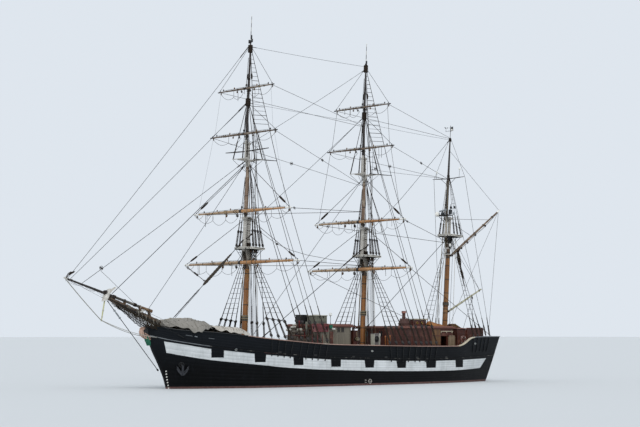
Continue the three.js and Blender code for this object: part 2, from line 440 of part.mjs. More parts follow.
// hung on the outside of the wall, each turning on pins at one edge of its own thickness
add("fore_deckhouse_door", block(FORE_HOUSE.s1 + MOVE_GAP, FORE_HOUSE.s1 + MOVE_GAP + DOOR_T, -0.50, 0.50, FORE_HOUSE.z0 + 0.06, FORE_HOUSE.z0 + 1.96), HOUSE_CREAM);
add("aft_deckhouse_door", block(29.97, 30.85, AFT_HOUSE.half + MOVE_GAP, AFT_HOUSE.half + MOVE_GAP + DOOR_T, AFT_HOUSE.z0 + 0.06, AFT_HOUSE.z0 + 1.96), HOUSE_CREAM);
// on the roofs and the deck
const foreRoof = FORE_HOUSE.z1 + 0.13 + GAP, aftRoof = AFT_HOUSE.z1 + 0.13 + GAP;
add("roof_locker", block(15.70, 16.98, -1.0, 0.1, foreRoof, foreRoof + 0.84), HOUSE_CREAM);
add("companion", join(block(27.0, 28.65, -0.75, 0.55, aftRoof, aftRoof + 0.64), block(26.9, 28.75, -0.85, 0.65, aftRoof + 0.62, aftRoof + 0.72)), HOUSE_VARNISH);
add("galley_funnel", join(rod([26.35, 0, aftRoof], [26.35, 0, aftRoof + 1.2], [[0, 0.16], [1, 0.16]], 12), rod([26.35, 0, aftRoof + 1.2], [26.35, 0, aftRoof + 1.4], [[0, 0.2], [1, 0.2]], 12), rod([26.35, 0, aftRoof + 1.0], [26.35, 0, aftRoof + 1.3], [[0, 0.12], [1, 0.12]], 12)), STEEL_DARK);
// steering wheel on its stand, on the poop
const WHEEL = { s: 33.55, z: POOP_Z + 1.02, r: 0.62 };
add("wheel_stand", join(block(33.75, 34.15, -0.3, 0.3, POOP_Z + GAP, POOP_Z + 0.95), rod([33.78, 0, WHEEL.z], [34.15, 0, WHEEL.z], [[0, 0.28], [1, 0.28]], 14)), HOUSE_VARNISH);
{
  const ringG = new THREE.LatheGeometry([[-0.03, -0.025], [0.03, -0.025], [0.03, 0.025], [-0.03, 0.025], [-0.03, -0.025]].map(([x, y]) => new THREE.Vector2((WHEEL.r * 0.74 + x) * K, y * K)), 24);
  const hub = new THREE.CylinderGeometry(0.09 * K, 0.09 * K, 0.12 * K, 16);
  const spokes = [0, 1, 2, 3].map((i) => { const g = new THREE.CylinderGeometry(0.018 * K, 0.018 * K, 2 * WHEEL.r * K, 8); g.rotateX(Math.PI / 2); g.rotateY(i * Math.PI / 4); return g; });
  const g = join(ringG, hub, ...spokes);
  g.rotateZ(Math.PI / 2);
  const p = V(WHEEL.s, 0, WHEEL.z);
  g.translate(p.x, p.y, p.z);
  add("steering_wheel", g, HOUSE_VARNISH);
}

// ================= canvas over the forecastle =================
// columns: s, half width port, half width starboard, underside z, ridge z
function cover(rows) {
  return loft(rows.map(([s, p, q, z0, z1]) => {
    const arc = [];
    for (let i = 0; i <= 8; i++) { const t = i / 8, y = p + (-q - p) * t; arc.push(V(s, y, z0 + 0.06 + (z1 - z0 - 0.06) * Math.sin(Math.PI * (0.06 + 0.88 * t)) ** 0.75)); }
    return [V(s, p, z0), ...arc, V(s, -q, z0)].length % 2 ? [V(s, p, z0), ...arc, V(s, -q, z0), V(s, 0, z0)] : [V(s, p, z0), ...arc, V(s, -q, z0)];
  }));
}
add("foredeck_canvas", cover([[0.2, 1.15, 1.15, 4.62, 5.30], [0.8, 1.55, 1.55, 4.60, 5.52], [1.9, 2.05, 2.05, 4.52, 5.56], [2.8, 2.35, 2.2, 4.45, 5.32],
  [3.5, 2.55, 1.8, 4.42, 4.90], [4.4, 2.75, 1.4, 4.32, 4.84], [5.3, 2.9, 1.2, 4.24, 4.78], [6.1, 3.0, 1.1, 4.18, 4.50]]), CANVAS);

export default ship;
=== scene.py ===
"""Three-masted barque, scale model at 1:10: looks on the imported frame.
Sizes are the real ship's in metres, as in the part's source; K makes them metres of the model.
s runs aft from the stem at the waterline, b to port, z up from the waterline; +X forward, +Y port, +Z up."""
import json
import math
import random
import bpy
import numpy as np
from mathutils import Matrix, Vector

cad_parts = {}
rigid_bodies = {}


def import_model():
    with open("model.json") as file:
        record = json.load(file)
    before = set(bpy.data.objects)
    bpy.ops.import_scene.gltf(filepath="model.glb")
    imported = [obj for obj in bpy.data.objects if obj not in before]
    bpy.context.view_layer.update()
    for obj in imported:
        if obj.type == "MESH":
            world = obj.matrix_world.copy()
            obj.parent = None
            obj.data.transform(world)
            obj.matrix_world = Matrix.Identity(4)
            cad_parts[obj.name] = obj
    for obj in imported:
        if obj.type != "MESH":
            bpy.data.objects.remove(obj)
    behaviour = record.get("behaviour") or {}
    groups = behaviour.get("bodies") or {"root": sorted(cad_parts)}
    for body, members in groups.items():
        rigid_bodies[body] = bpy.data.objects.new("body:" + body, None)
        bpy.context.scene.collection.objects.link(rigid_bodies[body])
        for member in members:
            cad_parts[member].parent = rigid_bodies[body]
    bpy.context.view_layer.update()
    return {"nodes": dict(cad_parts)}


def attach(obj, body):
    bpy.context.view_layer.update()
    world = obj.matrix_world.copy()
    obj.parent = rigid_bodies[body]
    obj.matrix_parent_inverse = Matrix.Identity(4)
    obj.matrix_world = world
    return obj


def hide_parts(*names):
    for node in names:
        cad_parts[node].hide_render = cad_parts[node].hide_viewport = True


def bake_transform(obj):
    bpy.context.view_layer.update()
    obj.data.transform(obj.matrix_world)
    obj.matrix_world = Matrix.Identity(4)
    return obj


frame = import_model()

K = 0.1
MID = 17.5
rnd = random.Random(7)


def V(s, b, z):
    return Vector(((MID - s) * K, b * K, z * K))


# ---------------------------------------------------------------- camera, light, floor
def make_camera():
    cam = bpy.data.cameras.new("camera")
    cam.sensor_width = 36.0
    cam.lens = 96.92
    cam.clip_start, cam.clip_end = 0.1, 400.0
    ob = bpy.data.objects.new("camera", cam)
    bpy.context.scene.collection.objects.link(ob)
    psi, pitch = math.radians(42.3), math.radians(3.9707)
    flat = Vector((-math.sin(psi), -math.cos(psi), 0.0))
    right = Vector((flat.y, -flat.x, 0.0))
    look = flat * math.cos(pitch) + Vector((0, 0, math.sin(pitch)))
    up = right.cross(look)
    m = Matrix((right, up, -look)).transposed().to_4x4()
    m.translation = Vector((9.9994, 10.8541, 0.437))
    ob.matrix_world = m
    bpy.context.scene.camera = ob


make_camera()


def make_light():
    world = bpy.data.worlds.new("sky")
    bpy.context.scene.world = world
    world.use_nodes = True
    bg = world.node_tree.nodes["Background"]
    bg.inputs["Color"].default_value = (0.80, 0.86, 0.93, 1)
    bg.inputs["Strength"].default_value = 0.92
    # columns: name, direction it comes from, strength, angle of the source
    for name, frm, power, spread in [("key", (5.0, 9.0, 9.0), 1.15, 40), ("fill", (9.0, -2.0, 4.0), 0.35, 60)]:
        sun = bpy.data.lights.new(name, "SUN")
        sun.energy = power
        sun.angle = math.radians(spread)
        sun.color = (1.0, 0.985, 0.96)
        ob = bpy.data.objects.new(name, sun)
        ob.rotation_mode = "QUATERNION"
        ob.rotation_quaternion = Vector(frm).to_track_quat("Z", "Y")
        bpy.context.scene.collection.objects.link(ob)


make_light()
bpy.context.scene.view_settings.view_transform = "Standard"


# ---------------------------------------------------------------- materials
class Mat:
    """A Principled material with short calls for its nodes."""

    def __init__(self, name, rough=0.6, metal=0.0, spec=0.5, coat=0.0):
        self.m = bpy.data.materials.new(name)
        self.m.use_nodes = True
        self.t = self.m.node_tree
        self.b = self.t.nodes["Principled BSDF"]
        self.b.inputs["Roughness"].default_value = rough
        self.b.inputs["Metallic"].default_value = metal
        self.b.inputs["Specular IOR Level"].default_value = spec
        if coat:
            self.b.inputs["Coat Weight"].default_value = coat
            self.b.inputs["Coat Roughness"].default_value = 0.15
        self._coord = None

    def node(self, kind, **kw):
        n = self.t.nodes.new(kind)
        for k, v in kw.items():
            setattr(n, k, v)
        return n

    def put(self, socket, value):
        if isinstance(value, bpy.types.NodeSocket):
            self.t.links.new(value, socket)
        elif value is not None:
            socket.default_value = value

    @property
    def coord(self):
        if self._coord is None:
            self._coord = self.node("ShaderNodeTexCoord").outputs["Object"]
        return self._coord

    def math(self, op, a, b=None, c=None, clamp=False):
        n = self.node("ShaderNodeMath", operation=op, use_clamp=clamp)
        for i, v in enumerate((a, b, c)):
            if v is not None:
                self.put(n.inputs[i], v)
        return n.outputs[0]

    def xyz(self, vec=None):
        n = self.node("ShaderNodeSeparateXYZ")
        self.put(n.inputs[0], self.coord if vec is None else vec)
        return n.outputs

    def vec(self, x, y, z):
        n = self.node("ShaderNodeCombineXYZ")
        for i, v in enumerate((x, y, z)):
            self.put(n.inputs[i], v)
        return n.outputs[0]

    def stretch(self, scale, vec=None):
        n = self.node("ShaderNodeMapping")
        self.put(n.inputs["Vector"], self.coord if vec is None else vec)
        n.inputs["Scale"].default_value = scale
        return n.outputs[0]

    def noise(self, scale, detail=3.0, rough=0.55, vec=None, dist=0.0, color=False):
        n = self.node("ShaderNodeTexNoise")
        self.put(n.inputs["Vector"], self.coord if vec is None else vec)
        n.inputs["Scale"].default_value = scale
        n.inputs["Detail"].default_value = detail
        n.inputs["Roughness"].default_value = rough
        n.inputs["Distortion"].default_value = dist
        return n.outputs["Color" if color else "Fac"]

    def voronoi(self, scale, vec=None, feature="F1", out="Distance", rand=1.0):
        n = self.node("ShaderNodeTexVoronoi", feature=feature)
        self.put(n.inputs["Vector"], self.coord if vec is None else vec)
        n.inputs["Scale"].default_value = scale
        n.inputs["Randomness"].default_value = rand
        return n.outputs[out]

    def ramp(self, fac, stops, kind="LINEAR"):
        n = self.node("ShaderNodeValToRGB")
        n.color_ramp.interpolation = kind
        e = n.color_ramp.elements
        while len(e) < len(stops):
            e.new(0.5)
        for el, (p, c) in zip(e, stops):
            el.position = p
            el.color = (c, c, c, 1) if isinstance(c, (int, float)) else (*c, 1)
        self.put(n.inputs[0], fac)
        return n.outputs[0]

    def range(self, v, a, b, c=0.0, d=1.0, smooth=False):
        n = self.node("ShaderNodeMapRange")
        if smooth:
            n.interpolation_type = "SMOOTHSTEP"
        self.put(n.inputs[0], v)
        for i, q in zip((1, 2, 3, 4), (a, b, c, d)):
            n.inputs[i].default_value = q
        return n.outputs[0]

    def mix(self, fac, a, b, kind="MIX"):
        n = self.node("ShaderNodeMix", data_type="RGBA", blend_type=kind)
        self.put(n.inputs[0], fac)
        self.put(n.inputs[6], (*a, 1) if isinstance(a, tuple) else a)
        self.put(n.inputs[7], (*b, 1) if isinstance(b, tuple) else b)
        return n.outputs[2]

    def attr(self, name):
        n = self.node("ShaderNodeAttribute", attribute_name=name)
        return n.outputs["Fac"]

    def color(self, v):
        self.put(self.b.inputs["Base Color"], (*v, 1) if isinstance(v, tuple) else v)

    def rough(self, v):
        self.put(self.b.inputs["Roughness"], v)

    def bump(self, height, strength=0.3, distance=0.001, normal=None):
        n = self.node("ShaderNodeBump")
        n.inputs["Strength"].default_value = strength
        n.inputs["Distance"].default_value = distance
        self.put(n.inputs["Height"], height)
        if normal is not None:
            self.put(n.inputs["Normal"], normal)
        self.t.links.new(n.outputs[0], self.b.inputs["Normal"])
        return n.outputs[0]


def rgb(h):
    """sRGB hex to linear."""
    c = [((h >> k) & 255) / 255 for k in (16, 8, 0)]
    return tuple(x / 12.92 if x <= 0.04045 else ((x + 0.055) / 1.055) ** 2.4 for x in c)


def painted(name, hexes, rough=0.5, scale=18, grime=0.35, bump=0.15, spec=0.5, metal=0.0, chips=None):
    """Paint: two tones in large soft patches, finer dirt, brush marks; chips is a colour showing in small spots."""
    m = Mat(name, rough=rough, spec=spec, metal=metal)
    a, b = rgb(hexes[0]), rgb(hexes[1])
    big = m.noise(scale, 5, 0.6)
    fine = m.noise(scale * 9, 4, 0.65)
    col = m.mix(m.range(big, 0.3, 0.7), a, b)
    dirt = tuple(x * 0.35 for x in a)
    col = m.mix(m.math("MULTIPLY", m.range(fine, 0.5, 0.8), grime), col, dirt)
    if chips is not None:
        spots = m.range(m.noise(scale * 6, 6, 0.7), 0.66, 0.70)
        col = m.mix(spots, col, rgb(chips))
    m.color(col)
    m.rough(m.range(big, 0.2, 0.8, max(0.05, rough - 0.12), min(1.0, rough + 0.15)))
    m.bump(m.math("ADD", fine, m.math("MULTIPLY", big, 0.5)), bump, 0.0006)
    return m.m


def wood(name, hexes, axis=2, rough=0.45, coat=0.0, grain=1.0, worn=None, scale=1.0):
    """Timber with its grain along an axis: streaks, slow changes of tone, fine checks; worn is a paler colour in patches."""
    m = Mat(name, rough=rough, coat=coat)
    sc = [60.0 * scale] * 3
    sc[axis] = 2.2 * scale
    sf = [230.0 * scale] * 3
    sf[axis] = 7.0 * scale
    streak = m.noise(1.0, 5, 0.62, vec=m.stretch(sc), dist=0.4)
    fine = m.noise(1.0, 3, 0.6, vec=m.stretch(sf))
    big = m.noise(4.5 * scale, 3, 0.5)
    dark, mid, light = (rgb(h) for h in hexes)
    col = m.ramp(streak, [(0.25, dark), (0.5, mid), (0.75, light)])
    col = m.mix(m.range(big, 0.35, 0.75, 0.0, 0.45), col, dark)
    col = m.mix(m.range(fine, 0.55, 0.75, 0.0, 0.55 * grain), col, tuple(x * 0.45 for x in dark))
    if worn is not None:
        col = m.mix(m.range(m.noise(11 * scale, 5, 0.7), 0.55, 0.68, 0.0, 0.8), col, rgb(worn))
    m.color(col)
    m.rough(m.range(streak, 0.2, 0.8, max(0.08, rough - 0.1), min(1, rough + 0.2)))
    m.bump(m.math("ADD", m.math("MULTIPLY", streak, 0.6), fine), 0.25 * grain, 0.0006)
    return m.m


def metal(name, hexes, rough=0.45, rust=0.0, metal_=1.0, scale=40):
    m = Mat(name, rough=rough, metal=metal_)
    n1 = m.noise(scale, 5, 0.65)
    n2 = m.noise(scale * 5, 3, 0.6)
    col = m.mix(m.range(n1, 0.3, 0.7), rgb(hexes[0]), rgb(hexes[1]))
    if rust:
        mask = m.range(m.noise(scale * 0.6, 6, 0.7), 0.75 - rust * 0.35, 0.82 - rust * 0.3)
        col = m.mix(mask, col, rgb(0x5A3524))
    m.color(col)
    m.rough(m.range(n2, 0.2, 0.8, max(0.1, rough - 0.12), min(1, rough + 0.25)))
    m.bump(n2, 0.2, 0.0005)
    return m.m


def rope(name, hexes, lay=900.0, rough=0.85):
    """Laid rope or served wire: turns across the line as bump and tone."""
    m = Mat(name, rough=rough, spec=0.2)
    x, y, z = m.xyz()
    slant = m.math("SINE", m.math("MULTIPLY", m.math("ADD", m.math("ADD", x, y), m.math("MULTIPLY", z, 1.7)), lay))
    n = m.noise(120, 3, 0.6)
    col = m.mix(m.range(n, 0.3, 0.7), rgb(hexes[0]), rgb(hexes[1]))
    col = m.mix(m.range(slant, -1, 1, 0.0, 0.35), col, tuple(q * 0.4 for q in rgb(hexes[0])))
    m.color(col)
    m.bump(slant, 0.4, 0.0008)
    return m.m


def make_materials():
    g = {}
    g["ochre"] = wood("varnished_pine", (0x6A3C12, 0xA8702E, 0xC48E48), 2, 0.38, coat=0.25)
    g["ochre_y"] = wood("varnished_pine_yard", (0x5E3F22, 0x94704A, 0xB39A78), 1, 0.5, worn=0xA8A294)
    g["ochre_x"] = wood("varnished_pine_x", (0x6A4A20, 0xA07A3A, 0xC0A468), 0, 0.5)
    g["topmast"] = wood("brown_spar", (0x4A382C, 0x7C6450, 0x9A8672), 2, 0.55, worn=0xA09686)
    g["brown_y"] = wood("brown_spar_yard", (0x3A2A22, 0x6A5242, 0x8C7A68), 1, 0.55, worn=0x8A8274)
    g["brown_x"] = wood("brown_spar_x", (0x2E2016, 0x5A4028, 0x7A5C3C), 0, 0.55)
    g["dark"] = wood("dark_spar", (0x15110F, 0x2C2422, 0x453A34), 2, 0.5)
    g["dark_x"] = wood("dark_spar_x", (0x141110, 0x2A2422, 0x4C443E), 0, 0.5)
    g["mizzen"] = wood("reddish_spar", (0x4A2A16, 0x85552E, 0xA3744A), 2, 0.45, coat=0.1)
    g["white"] = painted("white_paint", (0xD9D8D2, 0xB9B7AE), 0.5, 22, 0.45)
    g["white_worn"] = painted("worn_white_paint", (0xC9C6BE, 0x9E9A90), 0.6, 26, 0.7, chips=0x6A5C4C)
    g["iron"] = metal("black_iron", (0x1A1B1C, 0x2D2F30), 0.55, rust=0.25, metal_=0.6)
    g["black"] = painted("black_paint", (0x0D0E10, 0x1C1E21), 0.4, 30, 0.3)
    g["galv"] = metal("galvanised", (0x8A8F92, 0xA6ABAD), 0.45, rust=0.15, metal_=0.8)
    g["steel"] = metal("grey_steel", (0x2E3236, 0x474C50), 0.55, rust=0.4, metal_=0.5)
    g["bronze"] = metal("bronze", (0x6E4E22, 0x94703A), 0.38, rust=0.0, metal_=1.0)
    g["brass"] = metal("brass", (0xA8843E, 0xC8A860), 0.3, metal_=1.0)
    g["wire"] = rope("served_wire", (0x1C1B1A, 0x33302D))
    g["tarred"] = rope("tarred_rope", (0x1E1813, 0x3A2F26))
    g["manila"] = rope("tan_rope", (0x8A7A5C, 0xB3A484))
    g["grey_rope"] = rope("grey_rope", (0x6E6A62, 0x8E8A80))
    g["whip"] = rope("white_rope", (0xB9B6AC, 0xDAD7CE))
    g["deadeye"] = wood("deadeye_wood", (0x120E0C, 0x241C18, 0x3A2E28), 2, 0.6)
    g["block"] = wood("block_wood", (0x3A2818, 0x6A4C30, 0x8A6A48), 2, 0.5)
    g["cream"] = painted("cream_paint", (0xA49A86, 0x8C8270), 0.6, 14, 0.5)
    g["cream_light"] = painted("light_cream_paint", (0xC9BFA8, 0xB0A58E), 0.55, 16, 0.4)
    g["redwood"] = wood("red_brown_varnish", (0x2E1712, 0x5A3128, 0x7A4A3A), 2, 0.5, coat=0.15)
    g["redwood_x"] = wood("red_brown_varnish_x", (0x321A14, 0x64382C, 0x86543F), 0, 0.5)
    g["golden"] = wood("golden_panel", (0x4A3018, 0x6E4C2A, 0x886440), 2, 0.5)
    g["rail_wood"] = wood("rail_cap_wood", (0x6E544C, 0x9A7C70, 0xB89A8C), 0, 0.6, worn=0xB0A69A)
    g["red"] = painted("faded_red_paint", (0x7A2E30, 0x5C2226), 0.6, 20, 0.5)
    g["orange"] = painted("orange_cloth", (0x9A6632, 0x7C4A22), 0.8, 16, 0.35)
    g["green"] = painted("green_cloth", (0x1E6A4E, 0x175440), 0.85, 20, 0.3)
    g["glass"] = painted("window_glass", (0x0A0C0E, 0x14181A), 0.22, 10, 0.1, spec=0.35)
    g["tank"] = painted("grey_green_paint", (0x7C7C6C, 0x686858), 0.55, 16, 0.5)
    g["tank_top"] = painted("pale_tank_top", (0xB8B8AC, 0x9C9C90), 0.5, 16, 0.4)
    g["inner"] = painted("bulwark_inner_paint", (0xB9B4A4, 0x9C9686), 0.6, 12, 0.5)
    g["carved"] = painted("carved_wood_paint", (0xC6A694, 0xA88878), 0.6, 40, 0.5)
    g["lamp"] = painted("lamp_white", (0xF2F2EE, 0xDCDCD6), 0.3, 30, 0.1)
    return g


G = make_materials()


# ---------------------------------------------------------------- mesh code
def frame_of(d):
    """Two unit vectors across direction d."""
    d = d.normalized()
    ref = Vector((0, 0, 1)) if abs(d.z) < 0.9 else Vector((1, 0, 0))
    u = d.cross(ref).normalized()
    return u, d.cross(u).normalized()


class Build:
    """Collects shapes with their materials and makes one object. All points are Vectors in the model's metres."""

    def __init__(self, M=None):
        self.v, self.f, self.mi, self.sm, self.mats = [], [], [], [], []
        self.M = M

    def mat(self, key):
        m = G[key] if isinstance(key, str) else key
        if m not in self.mats:
            self.mats.append(m)
        return self.mats.index(m)

    def add(self, verts, faces, key, smooth=True):
        n, k = len(self.v), self.mat(key)
        if self.M is not None:
            verts = [self.M @ p for p in verts]
        self.v.extend(verts)
        for f in faces:
            self.f.append([i + n for i in f])
            self.mi.append(k)
            self.sm.append(smooth)

    def tube(self, pts, r, key, sides=6, caps=True, closed=False):
        pts = [Vector(p) for p in pts]
        n = len(pts)
        rs = r if hasattr(r, "__len__") else [r] * n
        d0 = (pts[1] - pts[0])
        u, w = frame_of(d0)
        verts = []
        last = d0.normalized()
        for i, p in enumerate(pts):
            if closed:
                d = pts[(i + 1) % n] - pts[i - 1]
            else:
                d = pts[min(i + 1, n - 1)] - pts[max(i - 1, 0)]
            d = d.normalized() if d.length > 1e-12 else last
            q = last.rotation_difference(d)
            u, w = q @ u, q @ w
            last = d
            for k in range(sides):
                t = 2 * math.pi * k / sides
                verts.append(p + (u * math.cos(t) + w * math.sin(t)) * rs[i])
        faces = []
        m = n if closed else n - 1
        for i in range(m):
            a, b = i * sides, ((i + 1) % n) * sides
            for k in range(sides):
                k2 = (k + 1) % sides
                faces.append([a + k, a + k2, b + k2, b + k])
        if caps and not closed:
            faces.append(list(range(sides - 1, -1, -1)))
            faces.append(list(range((n - 1) * sides, n * sides)))
        self.add(verts, faces, key, sides > 4)

    def rod(self, a, b, r, key, sides=8, r1=None):
        self.tube([a, b], [r, r if r1 is None else r1], key, sides)

    def lathe(self, a, b, rows, key, sides=20, caps=True):
        """Rows of [fraction from a to b, radius]; key may be a list, one for each band between rows."""
        a, b = Vector(a), Vector(b)
        d = b - a
        u, w = frame_of(d)
        rings = []
        for f, r in rows:
            c = a + d * f
            rings.append([c + (u * math.cos(2 * math.pi * k / sides) + w * math.sin(2 * math.pi * k / sides)) * r for k in range(sides)])
        keys = key if isinstance(key, list) else [key] * (len(rows) - 1)
        i = 0
        while i < len(rows) - 1:                    # neighbouring bands of one material share their rings
            j = i
            while j + 1 < len(rows) - 1 and keys[j + 1] == keys[i]:
                j += 1
            verts = [p for q in rings[i:j + 2] for p in q]
            faces = []
            for t in range(j + 1 - i):
                for k in range(sides):
                    k2 = (k + 1) % sides
                    faces.append([t * sides + k, t * sides + k2, (t + 1) * sides + k2, (t + 1) * sides + k])
            if caps and i == 0:
                faces.append(list(range(sides - 1, -1, -1)))
            if caps and j + 1 == len(rows) - 1:
                faces.append(list(range((j + 1 - i) * sides, (j + 2 - i) * sides)))
            self.add(verts, faces, keys[i])
            i = j + 1

    def box(self, c, size, key, R=None, bev=0.12):
        """Box with chamfered edges; bev is the chamfer as a share of the smallest side, R a 3x3 rotation."""
        c = Vector(c)
        hx, hy, hz = (abs(q) / 2 for q in size)
        e = min(hx, hy, hz) * 2 * bev
        verts, names = [], {}
        for sx in (-1, 1):
            for sy in (-1, 1):
                for sz in (-1, 1):
                    for k in range(3):
                        p = [sx * (hx - e), sy * (hy - e), sz * (hz - e)]
                        p[k] = (sx * hx, sy * hy, sz * hz)[k]
                        names[sx, sy, sz, k] = len(verts)
                        verts.append(Vector(p))
        if R is not None:
            verts = [R @ p for p in verts]
        verts = [p + c for p in verts]
        N = names
        faces = []
        for s in (-1, 1):
            faces += [[N[s, -1, -1, 0], N[s, 1, -1, 0], N[s, 1, 1, 0], N[s, -1, 1, 0]][::s],
                      [N[-1, s, -1, 1], N[-1, s, 1, 1], N[1, s, 1, 1], N[1, s, -1, 1]][::s],
                      [N[-1, -1, s, 2], N[1, -1, s, 2], N[1, 1, s, 2], N[-1, 1, s, 2]][::s]]
        for a in (-1, 1):
            for b in (-1, 1):
                faces += [[N[a, b, -1, 0], N[a, b, -1, 1], N[a, b, 1, 1], N[a, b, 1, 0]][::a * b],
                          [N[a, -1, b, 2], N[a, -1, b, 0], N[a, 1, b, 0], N[a, 1, b, 2]][::a * b],
                          [N[-1, a, b, 1], N[-1, a, b, 2], N[1, a, b, 2], N[1, a, b, 1]][::a * b]]
                for q in (-1, 1):
                    faces.append([N[a, b, q, 0], N[a, b, q, 1], N[a, b, q, 2]][::a * b * q])
        self.add(verts, faces, key, False)

    def ball(self, c, r, key, n=8, squash=(1, 1, 1), R=None):
        c = Vector(c)
        verts, faces = [], []
        for i in range(1, n):
            t = math.pi * i / n
            for k in range(2 * n):
                p = math.pi * k / n
                q = Vector((math.sin(t) * math.cos(p) * squash[0], math.sin(t) * math.sin(p) * squash[1], math.cos(t) * squash[2])) * r
                verts.append(c + (R @ q if R is not None else q))
        m = 2 * n
        top, bot = len(verts), len(verts) + 1
        for z in (1, -1):
            q = Vector((0, 0, z * r * squash[2]))
            verts.append(c + (R @ q if R is not None else q))
        for i in range(n - 2):
            for k in range(m):
                k2 = (k + 1) % m
                faces.append([i * m + k, (i + 1) * m + k, (i + 1) * m + k2, i * m + k2])
        for k in range(m):
            k2 = (k + 1) % m
            faces.append([top, k, k2])
            faces.append([bot, (n - 2) * m + k2, (n - 2) * m + k])
        self.add(verts, faces, key)

    def torus(self, c, axis, R, r, key, n=20, sides=8):
        u, w = frame_of(Vector(axis))
        c = Vector(c)
        self.tube([c + (u * math.cos(2 * math.pi * k / n) + w * math.sin(2 * math.pi * k / n)) * R for k in range(n)], r, key, sides, closed=True)

    def grid(self, rows, key, smooth=True, closed=False, flip=False):
        """Rows of equally many points, as a surface."""
        n = len(rows[0])
        verts = [p for r in rows for p in r]
        faces = []
        for i in range(len(rows) - 1):
            for j in range(n if closed else n - 1):
                j2 = (j + 1) % n
                f = [i * n + j, i * n + j2, (i + 1) * n + j2, (i + 1) * n + j]
                faces.append(f[::-1] if flip else f)
        self.add(verts, faces, key, smooth)

    def prism(self, outline, depth, key, smooth=False, bev=0.0):
        """Closed outline of Vectors moved by depth. With bev, both faces are drawn in by that much towards the middle."""
        n = len(outline)
        d = Vector(depth)
        c = sum(outline, Vector()) / n
        if bev:
            unit = d.normalized() * bev
            rings = [[p + (c - p).normalized() * bev for p in outline], [p + unit for p in outline],
                     [p + d - unit for p in outline], [p + d + (c - p).normalized() * bev for p in outline]]
        else:
            rings = [list(outline), [p + d for p in outline]]
        verts = [p for r in rings for p in r]
        faces = [[i * n + j, i * n + (j + 1) % n, (i + 1) * n + (j + 1) % n, (i + 1) * n + j] for i in range(len(rings) - 1) for j in range(n)]
        faces += [list(range(n))[::-1], [(len(rings) - 1) * n + j for j in range(n)]]
        area = sum((outline[i] - c).cross(outline[(i + 1) % n] - c).dot(d) for i in range(n))
        if area < 0:
            faces = [f[::-1] for f in faces]
        self.add(verts, faces, key, smooth)

    def done(self, name, body="ship", replaces=(), attrs=None):
        me = bpy.data.meshes.new(name)
        me.from_pydata([tuple(p) for p in self.v], [], self.f)
        for m in self.mats:
            me.materials.append(m)
        me.polygons.foreach_set("material_index", self.mi)
        me.polygons.foreach_set("use_smooth", self.sm)
        for key, values in (attrs or {}).items():
            a = me.attributes.new(key, "FLOAT", "POINT")
            a.data.foreach_set("value", np.asarray(values, np.float32))
        me.update()
        ob = bpy.data.objects.new(name, me)
        bpy.context.scene.collection.objects.link(ob)
        if body is not None:
            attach(ob, body)
        if replaces:
            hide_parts(*replaces)
        return ob


def curve(rows):
    """Monotone cubic through rows of [x, y]."""
    x = [r[0] for r in rows]
    y = [r[1] for r in rows]
    n = len(x)
    d = [(y[i + 1] - y[i]) / (x[i + 1] - x[i]) for i in range(n - 1)]
    m = [0.0] * n
    m[0], m[-1] = d[0], d[-1]
    for i in range(1, n - 1):
        if d[i - 1] * d[i] > 0:
            w1 = 2 * (x[i + 1] - x[i]) + (x[i] - x[i - 1])
            w2 = (x[i + 1] - x[i]) + 2 * (x[i] - x[i - 1])
            m[i] = (w1 + w2) / (w1 / d[i - 1] + w2 / d[i])

    def f(q):
        if q <= x[0]:
            return y[0]
        if q >= x[-1]:
            return y[-1]
        i = 0
        while q > x[i + 1]:
            i += 1
        h = x[i + 1] - x[i]
        t = (q - x[i]) / h
        t2, t3 = t * t, t * t * t
        return (2 * t3 - 3 * t2 + 1) * y[i] + (t3 - 2 * t2 + t) * h * m[i] + (3 * t2 - 2 * t3) * y[i + 1] + (t3 - t2) * h * m[i + 1]
    return f


def line(rows):
    """Straight between rows of [x, y]."""
    x = [r[0] for r in rows]
    y = [r[1] for r in rows]
    return lambda q: float(np.interp(q, x, y))


def lerp(a, b, t):
    return a + (b - a) * t


# ================================================================ hull form, as in the part's source
railZ = curve([[-1.85, 4.98], [0, 4.60], [2.5, 4.41], [4, 4.28], [5.4, 4.14], [6.7, 3.98], [9.5, 3.72], [12.7, 3.48],
               [14.9, 3.38], [17.5, 3.33], [20.7, 3.27], [25.6, 3.20], [29.4, 3.19], [30.1, 3.31], [30.7, 3.57], [31.3, 3.87], [31.9, 3.98], [35.9, 4.04]])
deckZ = curve([[-1.7, 3.55], [0, 3.40], [3, 3.15], [6.7, 2.90], [9.5, 2.66], [12.7, 2.43], [14.9, 2.33], [17.5, 2.28], [20.7, 2.22], [25.6, 2.16], [31, 2.16], [35.9, 2.30]])
waterHalf = curve([[0, 0.12], [0.5, 0.35], [1, 0.62], [2, 1.15], [4, 2.05], [6, 2.80], [9, 3.45], [12, 3.80], [16, 3.95], [24, 3.93], [28, 3.60], [30, 3.25], [32, 2.75], [34, 2.15], [35, 1.85]])
railHalf = curve([[0, 0.12], [0.5, 0.80], [1, 1.25], [2, 2.00], [4, 2.85], [6, 3.35], [9, 3.75], [12, 3.95], [16, 4.00], [24, 3.97], [28, 3.82], [30, 3.65], [32, 3.40], [34, 3.05], [35, 2.82]])
bodyBottom = curve([[0, -0.5], [0.3, -1.3], [0.8, -2.0], [1.6, -2.7], [3, -3.2], [5, -3.5], [8, -3.6], [24, -3.6], [27, -3.3], [29, -2.8], [31, -2.05], [33, -1.2], [35, -0.35]])
fullness = curve([[0, 1.0], [2, 1.2], [6, 1.8], [12, 2.8], [18, 3.2], [24, 2.8], [28, 2.0], [32, 1.5], [35, 1.3]])
stemRake = curve([[0, 0], [0.7, -0.22], [1.49, -0.58], [2.27, -1.0], [3.06, -1.45], [3.83, -1.74], [5, -1.88]])
STEM_HALF, TRANSOM_RAKE, BULWARK_T, POOP_Z = 0.12, 0.22, 0.13, 3.05


def bow_blend(s0):
    return (1 - s0 / 7) ** 2 if s0 < 7 else 0.0


